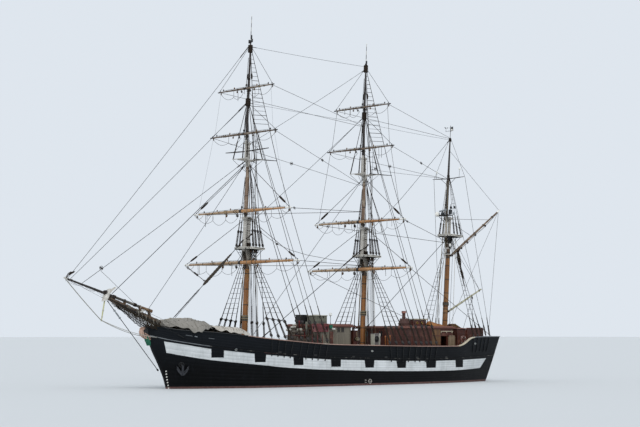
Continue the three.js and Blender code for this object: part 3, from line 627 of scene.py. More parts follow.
def stern_blend(s0):
    return ((s0 - 30) / 5) ** 2 if s0 > 30 else 0.0


def sAt(s0, z):
    return s0 + (stemRake(z) * bow_blend(s0) + TRANSOM_RAKE * z * stern_blend(s0) if z > 0 else 0.0)


def railAt(s0):
    return railZ(s0 - 1.85 * bow_blend(s0))


def deckAt(s0):
    return deckZ(s0 - 1.7 * bow_blend(s0))


def halfAt(s0, z):
    if z <= 0:
        q = min(1.0, z / bodyBottom(s0))
        return max(STEM_HALF, waterHalf(s0) * math.sqrt(max(0.0, 1 - q ** fullness(s0))))
    t = min(1.0, z / railAt(s0))
    return waterHalf(s0) + (railHalf(s0) - waterHalf(s0)) * t ** 0.9


def planAngle(s0, z):
    e = 0.05
    a, b = max(0.4, s0 - e), min(35.0, s0 + e)
    return math.atan((halfAt(b, z) - halfAt(a, z)) / (sAt(b, z) - sAt(a, z)))


def innerAt(s0, z):
    return max(0.03, halfAt(s0, z) - BULWARK_T / math.cos(planAngle(s0, z)))


def s0_of(s, z):
    """The station whose side passes through s at level z."""
    s0 = s
    for _ in range(12):
        s0 = min(35.0, max(0.0, s0 + (s - sAt(s0, z))))
    return s0


def hull_point(s, z, side=1, out=0.0):
    """Point on the hull's side at s and z, moved out along the surface's normal."""
    s0 = s0_of(s, z)
    e = 0.08
    p = Vector((s, halfAt(s0, z), z))
    q = Vector((s + e, halfAt(s0_of(s + e, z), z), z)) if s0 < 34.9 else Vector((s - e, halfAt(s0_of(s - e, z), z), z))
    r = Vector((s, halfAt(s0_of(s, z + e), z + e), z + e))
    n = (q - p).cross(r - p).normalized()
    if n.y < 0:
        n = -n
    p = p + n * out
    return V(p.x, side * p.y, p.z), Vector((-n.x, side * n.y, n.z))


mould = curve([[-1.79, 4.22], [-0.55, 3.87], [0.84, 3.60], [2.36, 3.36], [3.5, 3.22], [6.16, 2.94], [9.93, 2.64], [13.8, 2.40], [17.67, 2.29], [21.5, 2.21], [25, 2.15], [29, 2.17], [33.6, 2.32], [35.9, 2.42]])
bandTop = line([[-0.87, 3.72], [2.45, 3.14], [3.5, 3.02], [6.16, 2.74], [7.24, 2.65], [9.93, 2.44], [11.09, 2.35], [13.8, 2.20], [14.99, 2.17], [17.67, 2.10], [18.77, 2.09], [21.52, 2.02], [22.61, 1.99], [25.03, 1.96], [26.41, 1.96], [29.03, 1.98], [30.11, 1.99], [34.2, 2.09]])
bandLow = curve([[-0.56, 2.84], [1.18, 2.50], [2.74, 2.26], [5.06, 2.01], [7.27, 1.80], [9.63, 1.58], [10.63, 1.52], [12.69, 1.40], [14.88, 1.33], [18.3, 1.21], [20.67, 1.16], [24.34, 1.11], [28.3, 1.09], [31.22, 1.15], [33.41, 1.24]])
# painted ports; columns: fore edge s at the top and at the sill, aft edge s at the top and at the sill, z of top and sill
PORTS = [(2.64, 2.74, 3.66, 3.73, 3.05, 2.44), (6.27, 6.37, 7.34, 7.32, 2.70, 2.05), (9.93, 10.04, 10.96, 10.99, 2.41, 1.78),
         (13.89, 13.94, 15.00, 14.99, 2.21, 1.60), (17.68, 17.81, 18.85, 18.78, 2.11, 1.48), (21.45, 21.60, 22.66, 22.60, 2.02, 1.40),
         (25.09, 25.18, 26.47, 26.41, 1.98, 1.36), (29.13, 29.27, 30.31, 30.41, 2.00, 1.35)]


def mouldAt(s0):
    return mould(s0 - 1.66 * bow_blend(s0))


def paint_values(s, z):
    """Distances in metres that the hull's paint reads: above the band's top, above its lower edge, above a port's sill,
    from the nearest port's side (under 0 in a port), and inside the band's slanting ends."""
    near, sill = None, 0.0
    for a0, a1, c0, c1, zt, zs in PORTS:
        f = (z - zs) / (zt - zs)
        d = max(lerp(a1, a0, f) - s, s - lerp(c1, c0, f))
        if near is None or d < near:
            near, sill = d, z - zs
    fore = s - lerp(-0.56, -0.87, (z - 2.84) / 0.88)
    aft = lerp(33.41, 34.20, (z - 1.24) / 0.85) - s
    return z - bandTop(s), z - bandLow(s), sill, near, min(fore, aft)


def hull_material():
    m = Mat("hull_paint", rough=0.42, spec=0.1)
    top, low, sill, gap, ends, seam = (m.attr(k) for k in ("p_top", "p_low", "p_sill", "p_gap", "p_ends", "p_seam"))
    x, y, z = m.xyz()
    wob = m.math("MULTIPLY", m.math("SUBTRACT", m.noise(28, 4, 0.6), 0.5), 0.04)

    def above(v, at=0.0):
        return m.range(m.math("ADD", v, wob), at - 0.012, at + 0.012)
    inside = m.math("MULTIPLY", m.math("MULTIPLY", m.math("SUBTRACT", 1.0, above(top)), above(low)), above(ends))
    port = m.math("MULTIPLY", above(sill), m.math("SUBTRACT", 1.0, above(gap)))
    white = m.math("MULTIPLY", inside, m.math("SUBTRACT", 1.0, port))
    # black: slow tone, runs down the side, plank to plank change
    runs = m.noise(1.0, 5, 0.65, vec=m.stretch((42, 42, 3.5)))
    slow = m.noise(5, 4, 0.55)
    black = m.mix(m.range(slow, 0.3, 0.7), rgb(0x030405), rgb(0x08090C))
    black = m.mix(m.range(runs, 0.52, 0.74, 0.0, 0.5), black, rgb(0x14171B))
    zr = m.math("MULTIPLY", z, 10.0)
    # painted sky reflection: the black grows lighter and bluer from 1.6 m up to 4 m above the water
    black = m.mix(m.range(zr, 1.6, 4.0, 0.0, 0.45), black, rgb(0x1B2026))
    scuff = m.range(m.noise(1.0, 6, 0.7, vec=m.stretch((9, 9, 60))), 0.64, 0.72, 0.0, 0.5)
    black = m.mix(scuff, black, rgb(0x2A2C2E))
    pale = m.mix(m.range(m.noise(9, 5, 0.6), 0.3, 0.72), rgb(0xD6D9DA), rgb(0xBEC2C3))
    pale = m.mix(m.range(runs, 0.5, 0.78, 0.0, 0.45), pale, rgb(0x9A9B98))
    pale = m.mix(m.range(m.noise(60, 5, 0.7), 0.62, 0.74, 0.0, 0.4), pale, rgb(0x8A8880))
    pale = m.mix(m.range(seam, 0.30, 1.0, 0.0, 0.30), pale, rgb(0x4E5254))
    col = m.mix(white, black, pale)
    # rust runs below fittings
    rust = m.range(m.noise(1.0, 6, 0.7, vec=m.stretch((70, 70, 6))), 0.68, 0.76, 0.0, 0.3)
    col = m.mix(rust, col, rgb(0x33211A))
    # boot-top and the bottom's paint
    boot = m.range(m.math("ADD", zr, m.math("MULTIPLY", wob, 0.8)), 0.155, 0.175)
    red = m.mix(m.range(m.noise(30, 5, 0.7), 0.3, 0.7), rgb(0x4E3836), rgb(0x6C524E))
    col = m.mix(boot, red, col)
    m.color(col)
    m.rough(m.math("ADD", m.math("MULTIPLY", white, 0.12), m.range(runs, 0.2, 0.8, 0.38, 0.62)))
    m.bump(m.math("ADD", m.noise(16, 4, 0.6), m.math("MULTIPLY", m.noise(130, 3, 0.6), 0.25)), 0.22, 0.002)
    return m.m


def deck_material(name, hexes, width=0.012, axis=1):
    """Laid deck: planks along X with dark seams, butts and tone from plank to plank."""
    m = Mat(name, rough=0.75, spec=0.3)
    x, y, z = m.xyz()
    across = y if axis == 1 else x
    along = x if axis == 1 else y
    row = m.math("DIVIDE", across, width)
    idx = m.math("FLOOR", row)
    frac = m.math("FRACT", row)
    edge = m.math("MINIMUM", frac, m.math("SUBTRACT", 1.0, frac))
    tone = m.node("ShaderNodeTexWhiteNoise", noise_dimensions="1D")
    m.put(tone.inputs["W"], idx)
    shift = m.math("ADD", m.math("DIVIDE", along, 0.55), m.math("MULTIPLY", tone.outputs["Value"], 7.0))
    butt_f = m.math("FRACT", shift)
    butt = m.math("MINIMUM", butt_f, m.math("SUBTRACT", 1.0, butt_f))
    tone2 = m.node("ShaderNodeTexWhiteNoise", noise_dimensions="2D")
    m.put(tone2.inputs["Vector"], m.vec(idx, m.math("FLOOR", shift), 0.0))
    seam = m.math("MAXIMUM", m.range(edge, 0.05, 0.09, 1.0, 0.0), m.range(butt, 0.002, 0.004, 1.0, 0.0))
    grain = m.noise(1.0, 4, 0.6, vec=m.stretch((8, 220, 220) if axis == 1 else (220, 8, 220)))
    a, b, c = (rgb(h) for h in hexes)
    col = m.mix(tone2.outputs["Value"], a, b)
    col = m.mix(m.range(grain, 0.35, 0.75, 0.0, 0.6), col, c)
    col = m.mix(seam, col, rgb(0x171310))
    m.color(col)
    m.bump(m.math("SUBTRACT", m.math("MULTIPLY", grain, 0.25), seam), 0.5, 0.0008)
    return m.m


G["hull"] = hull_material()
G["deck"] = deck_material("laid_deck", (0x8E7A60, 0xA5927A, 0x7A6850))


def bottom_material():
    m = Mat("bottom_paint", rough=0.7, spec=0.2)
    n = m.noise(20, 5, 0.65)
    col = m.mix(m.range(n, 0.3, 0.7), rgb(0x4A2826), rgb(0x5E3A36))
    col = m.mix(m.range(m.noise(70, 5, 0.7), 0.6, 0.72, 0.0, 0.7), col, rgb(0x2A2422))
    m.color(col)
    m.bump(n, 0.3, 0.001)
    return m.m


G["bottom"] = bottom_material()


def make_hull():
    S = [0, 0.08, 0.16, 0.25, 0.35, 0.45, 0.6] + [round(0.8 + 0.2 * i, 3) for i in range(0, 171)] + [34.9, 35.0]
    S = sorted(set(S))
    below, above, wall = 15, 11, 5
    GROOVE = 0.010

    def steps(n):
        """[fraction, groove depth] rows of n planks, each with a seam at its lower edge."""
        out = []
        for i in range(n):
            out += [(i / n, GROOVE), ((i + 0.09) / n, 0.0), ((i + 0.5) / n, -0.004), ((i + 0.91) / n, 0.0)]
        return out
    rows = []                        # functions of s0 giving level and groove
    for f, g in steps(below):
        rows.append((lambda s0, f=f: bodyBottom(s0) * (1 - f), g if f > 0 else 0.0, 0.0))
    for k, (f, g) in enumerate(steps(above)):
        rows.append((lambda s0, f=f: mouldAt(s0) * f, g, (1.0 if k // 4 in (7, 9) else 0.55) if g > 0 else 0.0))
    for f, g in steps(wall) + [(1.0, 0.0)]:
        rows.append((lambda s0, f=f: lerp(mouldAt(s0), railAt(s0), f), g, 0.0))
    verts, faces, mats = [], [], []
    index, seams = {}, {}

    def vert(s, b, z):
        key = (round(s, 5), round(b, 5), round(z, 5))
        if key not in index:
            index[key] = len(verts)
            verts.append((s, b, z))
        return index[key]

    def quad(a, b, c, d, mat):
        f = []
        for q in (a, b, c, d):
            if q not in f:
                f.append(q)
        if len(f) > 2:
            faces.append(f)
            mats.append(mat)

    def surface(grid, mat, flip=False):
        for i in range(len(grid) - 1):
            for j in range(len(grid[0]) - 1):
                q = [grid[i][j], grid[i][j + 1], grid[i + 1][j + 1], grid[i + 1][j]]
                quad(*(q[::-1] if flip else q), mat)
    cols = {}
    for side in (1, -1):
        grid = []
        for s0 in S:
            col = []
            for zf, g, dark in rows:
                z = zf(s0)
                h = halfAt(s0, z) - g * min(1.0, s0 / 0.5)
                col.append(vert(sAt(s0, z), side * max(0.115, h), z))
                seams[col[-1]] = dark
            grid.append(col)
        cols[side] = grid
        surface(grid, 0, flip=side > 0)
    surface([cols[-1][0], cols[1][0]], 0, flip=False)                     # stem
    surface([[c[0] for c in cols[1]], [c[0] for c in cols[-1]]], 0)       # bottom, along the keel
    # transom, across in narrow columns
    tr = []
    for k in range(13):
        f = k / 12
        tr.append([a if k == 0 else b if k == 12 else vert(*(lerp(verts[a][q], verts[b][q], f) for q in range(3))) for a, b in zip(cols[1][-1], cols[-1][-1])])
    surface(tr, 0)
    # inside: bulwark down to the deck, then the deck with its camber
    SI = [s for s in S if 0.45 <= s <= 34.84]
    inner = {}
    for side in (1, -1):
        grid = []
        for s0 in SI:
            zr, zd = railAt(s0), deckAt(s0)
            grid.append([vert(sAt(s0, z), side * (innerAt(s0, z) if t < 4 else innerAt(s0, z) - 0.06), z) for t, z in
                         [(0, zr), (1, lerp(zr, zd, 0.3)), (2, lerp(zr, zd, 0.6)), (3, zd + 0.10), (4, zd + 0.10), (5, zd)]])
        inner[side] = grid
        surface(grid, 1, flip=side < 0)
        outer_top = [c[-1] for c, s0 in zip(cols[side], S) if 0.45 <= s0 <= 34.84]
        surface([outer_top, [g[0] for g in grid]], 1, flip=side < 0)
    deck = []
    for gp, gs in zip(inner[1], inner[-1]):
        row = []
        for k in range(9):
            f = k / 8
            if k in (0, 8):
                row.append(gp[-1] if k == 0 else gs[-1])
            else:
                a, b = verts[gp[-1]], verts[gs[-1]]
                row.append(vert(a[0], lerp(a[1], b[1], f), a[2] + 0.05 * math.sin(math.pi * f) * min(1.0, a[1] / 2)))
        deck.append(row)
    surface(deck, 2, flip=False)
    # solid stem head forward of the first inner station, and the stern's inside
    for side in (1, -1):
        tops = [c[-1] for c, s0 in zip(cols[side], S) if s0 <= 0.45]
        mid = [vert(verts[t][0], 0.0, verts[t][2]) for t in tops]
        surface([tops, mid], 1, flip=side < 0)
        col = inner[side][0]
        quad(*([cols[side][S.index(0.45)][-1], col[0], vert(verts[col[0]][0], 0.0, verts[col[0]][2])] + [vert(verts[col[0]][0], 0.0, verts[col[0]][2])])[::side], 1)
    first = [vert(verts[q][0], 0.0, verts[q][2]) for q in inner[1][0]]
    surface([inner[1][0], first, inner[-1][0]], 1)
    last_t = [[lerp(verts[a][q], verts[b][q], k / 12) for q in range(3)] for k in range(13) for a, b in [(inner[1][-1][0], inner[-1][-1][0])]]
    lt = [inner[1][-1][0]] + [vert(*p) for p in last_t[1:-1]] + [inner[-1][-1][0]]
    lb_t = [[lerp(verts[inner[1][-1][-1]][q], verts[inner[-1][-1][-1]][q], k / 12) for q in range(3)] for k in range(13)]
    lb = [inner[1][-1][-1]] + [vert(*p) for p in lb_t[1:-1]] + [inner[-1][-1][-1]]
    surface([lt, lb], 1, flip=False)
    surface([[t[-1] for t in tr], lt], 1, flip=False)
    for side in (1, -1):
        q = [cols[side][S.index(s)][-1] for s in S if s >= 34.84]
        for a, b in zip(q, q[1:]):
            quad(*[a, b, lt[0 if side > 0 else -1], lt[0 if side > 0 else -1]][::side], 1)
    me = bpy.data.meshes.new("hull_and_bulwarks")
    me.from_pydata([tuple(V(*p)) for p in verts], [], faces)
    for k in ("hull", "inner", "deck"):
        me.materials.append(G[k])
    me.polygons.foreach_set("material_index", mats)
    me.polygons.foreach_set("use_smooth", [True] * len(faces))
    vals = np.array([(*paint_values(p[0], p[2]), seams.get(i, 0.0)) for i, p in enumerate(verts)], np.float32)
    for i, key in enumerate(("p_top", "p_low", "p_sill", "p_gap", "p_ends", "p_seam")):
        a = me.attributes.new(key, "FLOAT", "POINT")
        a.data.foreach_set("value", vals[:, i].copy())
    me.update()
    import bmesh
    bm = bmesh.new()
    bm.from_mesh(me)
    bmesh.ops.remove_doubles(bm, verts=bm.verts, dist=2e-6)
    bmesh.ops.recalc_face_normals(bm, faces=bm.faces)
    bm.to_mesh(me)
    bm.free()
    try:
        me.set_sharp_from_angle(angle=math.radians(32))
    except AttributeError:
        pass
    ob = bpy.data.objects.new("hull_and_bulwarks", me)
    bpy.context.scene.collection.objects.link(ob)
    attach(ob, "ship")
    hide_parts("hull", "bulwark_port", "bulwark_starboard", "stern_bulwark")
    return ob


make_hull()


def sweep_on_hull(B, s0s, zf, out0, out1, h0, h1, key, side, n_extra=()):
    """A strip of rectangular section on the hull's side: out0..out1 off the side, from h0 to h1 about the level zf(s0)."""
    rows = []
    for s0 in s0s:
        z = zf(s0)
        ring = []
        for o, h in ((out0, h0), (out1 * 0.85, h0), (out1, h0 * 0.5 + h1 * 0.5), (out1 * 0.85, h1), (out0, h1)):
            zz = z + h
            ang = planAngle(max(0.5, s0), zz)
            ring.append(V(sAt(s0, zz) - math.sin(ang) * o, side * (halfAt(s0, zz) + math.cos(ang) * o), zz))
        rows.append(ring)
    B.grid(rows, key, smooth=False, closed=True, flip=side > 0)
    n = len(rows[0])
    for r, rev in ((rows[0], False), (rows[-1], True)):
        f = list(range(n))
        B.add(list(r), [f[::-1] if (rev == (side > 0)) else f], key, False)


def frange(a, b, step):
    n = max(1, round((b - a) / step))
    return [a + (b - a) * i / n for i in range(n + 1)]


def make_hull_trim():
    G["grey_mould"] = painted("grey_moulding_paint", (0x6E7276, 0x54585C), 0.5, 22, 0.5)
    m = Mat("worn_black_moulding", rough=0.55, spec=0.15)
    dash = m.range(m.noise(1.0, 5, 0.65, vec=m.stretch((16, 5, 5))), 0.54, 0.64)
    m.color(m.mix(m.math("MULTIPLY", dash, 0.75), m.mix(m.noise(40, 4, 0.6), rgb(0x0A0B0D), rgb(0x17181A)), rgb(0x6C6A64)))
    m.bump(m.noise(90, 4, 0.6), 0.3, 0.0006)
    G["worn_mould"] = m.m
    for side, tag in ((1, "port"), (-1, "starboard")):
        B = Build()
        sweep_on_hull(B, frange(0.02, 3.0, 0.15), mouldAt, -0.01, 0.055, -0.035, 0.035, "grey_mould", side)
        sweep_on_hull(B, frange(3.0, 34.95, 0.2), mouldAt, -0.01, 0.05, -0.03, 0.03, "worn_mould", side)
        B.done(f"sheer_moulding_{tag}")
        # rail cap: timber forward, cream on the sweep up to the poop, grey aft
        B = Build()
        for a, b, key, t in ((0.5, 5.6, "black", 0.065), (5.6, 29.5, "rail_wood", 0.065), (29.5, 31.75, "cream_light", 0.075), (31.75, 34.86, "grey_mould", 0.065)):
            rows = []
            for s0 in frange(a, b, 0.2):
                z = railAt(s0) + 0.002
                hi = max(0.02, innerAt(s0, z) - 0.07)
                ho = halfAt(s0, z) + 0.075
                rows.append([V(sAt(s0, z), side * hi, z), V(sAt(s0, z), side * ho, z), V(sAt(s0, z), side * (ho + 0.01), z + t * 0.5), V(sAt(s0, z), side * (ho - 0.01), z + t),
                             V(sAt(s0, z), side * (hi + 0.01), z + t), V(sAt(s0, z), side * (hi - 0.01), z + t * 0.5)])
            B.grid(rows, key, smooth=False, closed=True, flip=side > 0)
            for r, f in ((rows[0], [0, 1, 2, 3, 4, 5]), (rows[-1], [5, 4, 3, 2, 1, 0])):
                B.add(list(r), [f if side < 0 else f[::-1]], key, False)
        B.done(f"rail_cap_{tag}")
    # across the stern
    B = Build()
    z = railAt(35) + 0.002
    B.box(V(sAt(34.93, z), 0, z + 0.033), (0.32 * K, 5.7 * K, 0.065 * K), "grey_mould")
    B.done("rail_cap_stern")


make_hull_trim()


def planked_platform(name, stations, zTop, node, drop=0.35):
    """A raised deck between the bulwarks: laid top, painted edge below."""
    B = Build()
    rows_t, fore, aft = [], None, None
    for s0 in stations:
        z = zTop(s0)
        h = min(innerAt(s0, z), innerAt(s0, z - 0.1)) - 0.012
        s = sAt(s0, z)
        rows_t.append([V(s, lerp(h, -h, k / 10), z + 0.03 * math.sin(math.pi * k / 10)) for k in range(11)])
    B.grid(rows_t, "deck", smooth=True, flip=True)
    for row, s0, rev in ((rows_t[0], stations[0], True), (rows_t[-1], stations[-1], False)):
        zd = deckAt(s0) + 0.01
        low = [V(MID - p.x / K, max(-innerAt(s0, zd) + 0.02, min(innerAt(s0, zd) - 0.02, p.y / K)), zd) for p in row]
        B.grid([row, low], "inner", smooth=False, flip=rev)
    for k, rev in ((0, True), (10, False)):
        edge = [r[k] for r in rows_t]
        low = [p - Vector((0, 0, 0.02)) for p in edge]
        B.grid([edge, low], "inner", smooth=False, flip=rev)
    return B.done(name, replaces=(node,))


planked_platform("forecastle_planking", frange(0.8, 6.3, 0.25), lambda s0: railAt(s0) - 0.14, "forecastle_deck")
planked_platform("poop_planking", frange(31.0, 34.8, 0.25), lambda s0: POOP_Z, "poop_deck")
for n in ("keel", "rudder"):
    ob = frame["nodes"][n]
    ob.data.materials.clear()
    ob.data.materials.append(G["bottom"])


# ================================================================ masts
T1, T2 = 0.40, 0.66
MAST = {"fore": (7.83, 2.826, 0.052), "main": (21.17, 2.2334, 0.048), "mizzen": (31.46, 3.07, 0.075)}
RIG = {"fore": dict(top=11.30, lowerCap=13.90, trees=18.55, upperCap=20.05, truck=28.40, pole=30.60),
       "main": dict(top=11.05, lowerCap=13.60, trees=18.15, upperCap=19.70, truck=27.90, pole=29.80)}


def mast_matrix(name):
    s, z, rake = MAST[name]
    return Matrix.Translation(V(s, 0, z)) @ Matrix.Rotation(-math.atan(rake), 4, "Y")


MM = {n: mast_matrix(n) for n in MAST}


def hz(name, z):
    s, z0, rake = MAST[name]
    return (z - z0) / math.cos(math.atan(rake))


def L(x, y, h):
    return Vector((x * K, y * K, h * K))


def on_mast(name, x, y, z):
    return MM[name] @ L(x, y, hz(name, z))


G["doubling"] = painted("doubling_white", (0xBDB9B2, 0x9C978E), 0.55, 20, 0.55, chips=0x6A5E50)
G["mast_ochre"] = wood("mast_varnish", (0x53300B, 0x8B5B1E, 0xA9742D), 2, 0.45, coat=0.04, worn=0x9B7238)
G["mast_low"] = wood("mast_varnish_low", (0x542F0C, 0x8A5621, 0xA86F31), 2, 0.45, coat=0.04, worn=0x996A3B)
# darker varnish for the stretch under each top: painted shade cast by the top
G["mast_painted_shade"] = wood("mast_varnish_painted_shade", (0x2A1B0C, 0x4E3820, 0x6A5236), 2, 0.5)
G["mast_mizzen"] = wood("mizzen_varnish", (0x4A2A0E, 0x82521F, 0x9E6E34), 2, 0.47, coat=0.03, worn=0x8A6A44)
G["mast_iron"] = metal("mast_band", (0x2A2420, 0x3E3630), 0.5, rust=0.3, metal_=0.4)
G["white_bright"] = painted("bright_white_paint", (0xF0EEE8, 0xDAD7CE), 0.45, 20, 0.25)
G["cheek_grey"] = painted("cheek_grey_paint", (0x9A958B, 0x746F66), 0.6, 20, 0.45)
# black paint; it also gives the painted shade inside holes and openings
G["tarpaint_and_hole_shade"] = painted("black_paint_and_hole_shade", (0x0B0B0C, 0x1A1918), 0.6, 26, 0.4)


def interp_rows(rows, f):
    return float(np.interp(f, [r[0] for r in rows], [r[1] for r in rows]))


def spar_up(B, x, rows, h0, h1, bands, sides=28, y=0.0):
    """Upright spar: rows of [fraction, radius] between h0 and h1; bands: [h from, key] changing upwards."""
    cuts = sorted(set([0.0, 1.0] + [r[0] for r in rows] + [(b[0] - h0) / (h1 - h0) for b in bands if h0 < b[0] < h1] + [i / 24 for i in range(25)]))
    rr = [[f, interp_rows(rows, f) * K] for f in cuts]
    keys = []
    for a, b in zip(cuts, cuts[1:]):
        h = h0 + (a + b) / 2 * (h1 - h0)
        keys.append([k for q, k in bands if q <= h][-1])
    B.lathe(L(x, y, h0), L(x, y, h1), rr, keys, sides)


def hoop(B, x, y, h, r, tall, key, proud=0.014, sides=28):
    e = tall / 2
    B.lathe(L(x, y, h - e), L(x, y, h + e), [[0, r * K], [0.12, (r + proud) * K], [0.88, (r + proud) * K], [1, r * K]], key, sides, caps=False)


def ray_out(poly, x0, y0, t):
    """Distance from (x0, y0) at angle t to the outline."""
    dx, dy = math.cos(t), math.sin(t)
    best = 0.0
    n = len(poly)
    for i in range(n):
        (ax, ay), (bx, by) = poly[i], poly[(i + 1) % n]
        ex, ey = bx - ax, by - ay
        den = dx * ey - dy * ex
        if abs(den) < 1e-9:
            continue
        q = ((ax - x0) * ey - (ay - y0) * ex) / den
        u = ((ax - x0) * dy - (ay - y0) * dx) / den
        if q > 0 and -1e-6 <= u <= 1 + 1e-6:
            best = max(best, q)
    return best


def capsule(x0, x1, r, n=10):
    out = [(x1 + r * math.cos(-math.pi / 2 + math.pi * i / n), r * math.sin(-math.pi / 2 + math.pi * i / n)) for i in range(n + 1)]
    return out + [(x0 + r * math.cos(math.pi / 2 + math.pi * i / n), r * math.sin(math.pi / 2 + math.pi * i / n)) for i in range(n + 1)]


def star_plate(B, outer, inner, h0, h1, keys, bev=0.0):
    """Plate with a hole, both star-shaped about the hole's middle; keys: top, underside, edge."""
    cx = sum(p[0] for p in inner) / len(inner)
    angs = sorted(set([round(math.atan2(y, x - cx), 5) for x, y in outer] + [round(-math.pi + 2 * math.pi * i / 40, 5) for i in range(40)]))
    O = [(cx + ray_out(outer, cx, 0, t) * math.cos(t), ray_out(outer, cx, 0, t) * math.sin(t)) for t in angs]
    I = [(cx + ray_out(inner, cx, 0, t) * math.cos(t), ray_out(inner, cx, 0, t) * math.sin(t)) for t in angs]
    top, bot, edge = keys
    B.grid([[L(x, y, h1) for x, y in O], [L(x, y, h1) for x, y in I]], top, False, closed=True)
    B.grid([[L(x, y, h0) for x, y in O], [L(x, y, h0) for x, y in I]], bot, False, closed=True, flip=True)
    B.grid([[L(x, y, h0) for x, y in O], [L(x, y, h1) for x, y in O]], edge, False, closed=True)
    B.grid([[L(x, y, h0) for x, y in I], [L(x, y, h1) for x, y in I]], edge, False, closed=True, flip=True)


def top_outline(aft, fwd, half):
    out = [(-aft, -half), (fwd * 0.25, -half)]
    for i in range(1, 12):
        t = -math.pi / 2 + math.pi * i / 12
        out.append((fwd * 0.25 + fwd * 0.75 * math.cos(t), half * math.sin(t)))
    return out + [(fwd * 0.25, half), (-aft, half)]


def make_top(name, node, aft, fwd, half, h, x1, hole_r):
    """Top: bearers, planks round the mast's hole, a raised white rim."""
    B = Build(MM[name])
    out = top_outline(aft, fwd, half)
    star_plate(B, out, capsule(-0.02, x1, hole_r), h - 0.01, h + 0.04, ("deck", "tarpaint_and_hole_shade", "white_worn"))
    for y in (-0.31, 0.31):
        B.box(L((fwd - aft) / 2 - 0.02, y, h - 0.065), (( fwd + aft) * 0.96 * K, 0.12 * K, 0.10 * K), "tarpaint_and_hole_shade")
    for x in (-aft + 0.22, 0.5 * (x1 + hole_r) + 0.28, fwd - 0.18):
        w = ray_out(out, x, 0, math.pi / 2)
        B.box(L(x, 0, h - 0.05), (0.11 * K, 2 * (w - 0.03) * K, 0.075 * K), "tarpaint_and_hole_shade")
    # planks as narrow raised strips, fore and aft
    y = -half + 0.08
    while y < half - 0.05:
        xf = y and ray_out(out, 0, 0, math.atan2(y, 1e-6))
        xs = [p for p in (-aft + 0.03,)]
        xe = 0.0
        # forward end of the strip by walking out to the outline
        t = 0.0
        while t < fwd and inside(out, t + 0.02, y):
            t += 0.02
        xe = t
        if abs(y) < hole_r + 0.05:
            for a, b in ((-aft + 0.04, -0.02 - hole_r - 0.03), (x1 + hole_r + 0.03, xe)):
                if b - a > 0.08:
                    B.box(L((a + b) / 2, y, h + 0.052), ((b - a) * K, 0.095 * K, 0.025 * K), "deck")
        elif xe > 0:
            B.box(L((xe - aft + 0.04) / 2, y, h + 0.052), ((xe + aft - 0.04) * K, 0.095 * K, 0.025 * K), "deck")
        y += 0.11
    # rim
    n = len(out)
    rows = []
    for i in range(n):
        x, yy = out[i]
        c = (0.05, 0.0)
        d = math.hypot(x - c[0], yy - c[1])
        k = (d - 0.07) / d
        xi, yi = c[0] + (x - c[0]) * k, c[1] + (yy - c[1]) * k
        rows.append([L(x, yy, h - 0.09), L(x * 1.0, yy, h + 0.08), L(xi, yi, h + 0.08), L(xi, yi, h - 0.09)])
    B.grid(rows + [rows[0]], "white_worn", False, closed=True)
    # white-painted fittings at the rim
    for side in (1, -1):
        for i in range(4):
            x = lerp(-aft + 0.12, 0.42, i / 3)
            B.box(L(x, side * (half - 0.03), h + 0.05), (0.07 * K, 0.05 * K, 0.12 * K), "white")
    return B.done(node, replaces=(node,))


def inside(poly, x, y):
    c = False
    n = len(poly)
    for i in range(n):
        (ax, ay), (bx, by) = poly[i], poly[(i + 1) % n]
        if (ay > y) != (by > y) and x < (bx - ax) * (y - ay) / (by - ay) + ax:
            c = not c
    return c


def plate_prism(B, outline, h0, h1, key, bev=0.0):
    B.prism([L(x, y, h0) for x, y in outline], L(0, 0, h1 - h0), key, False, bev * K)


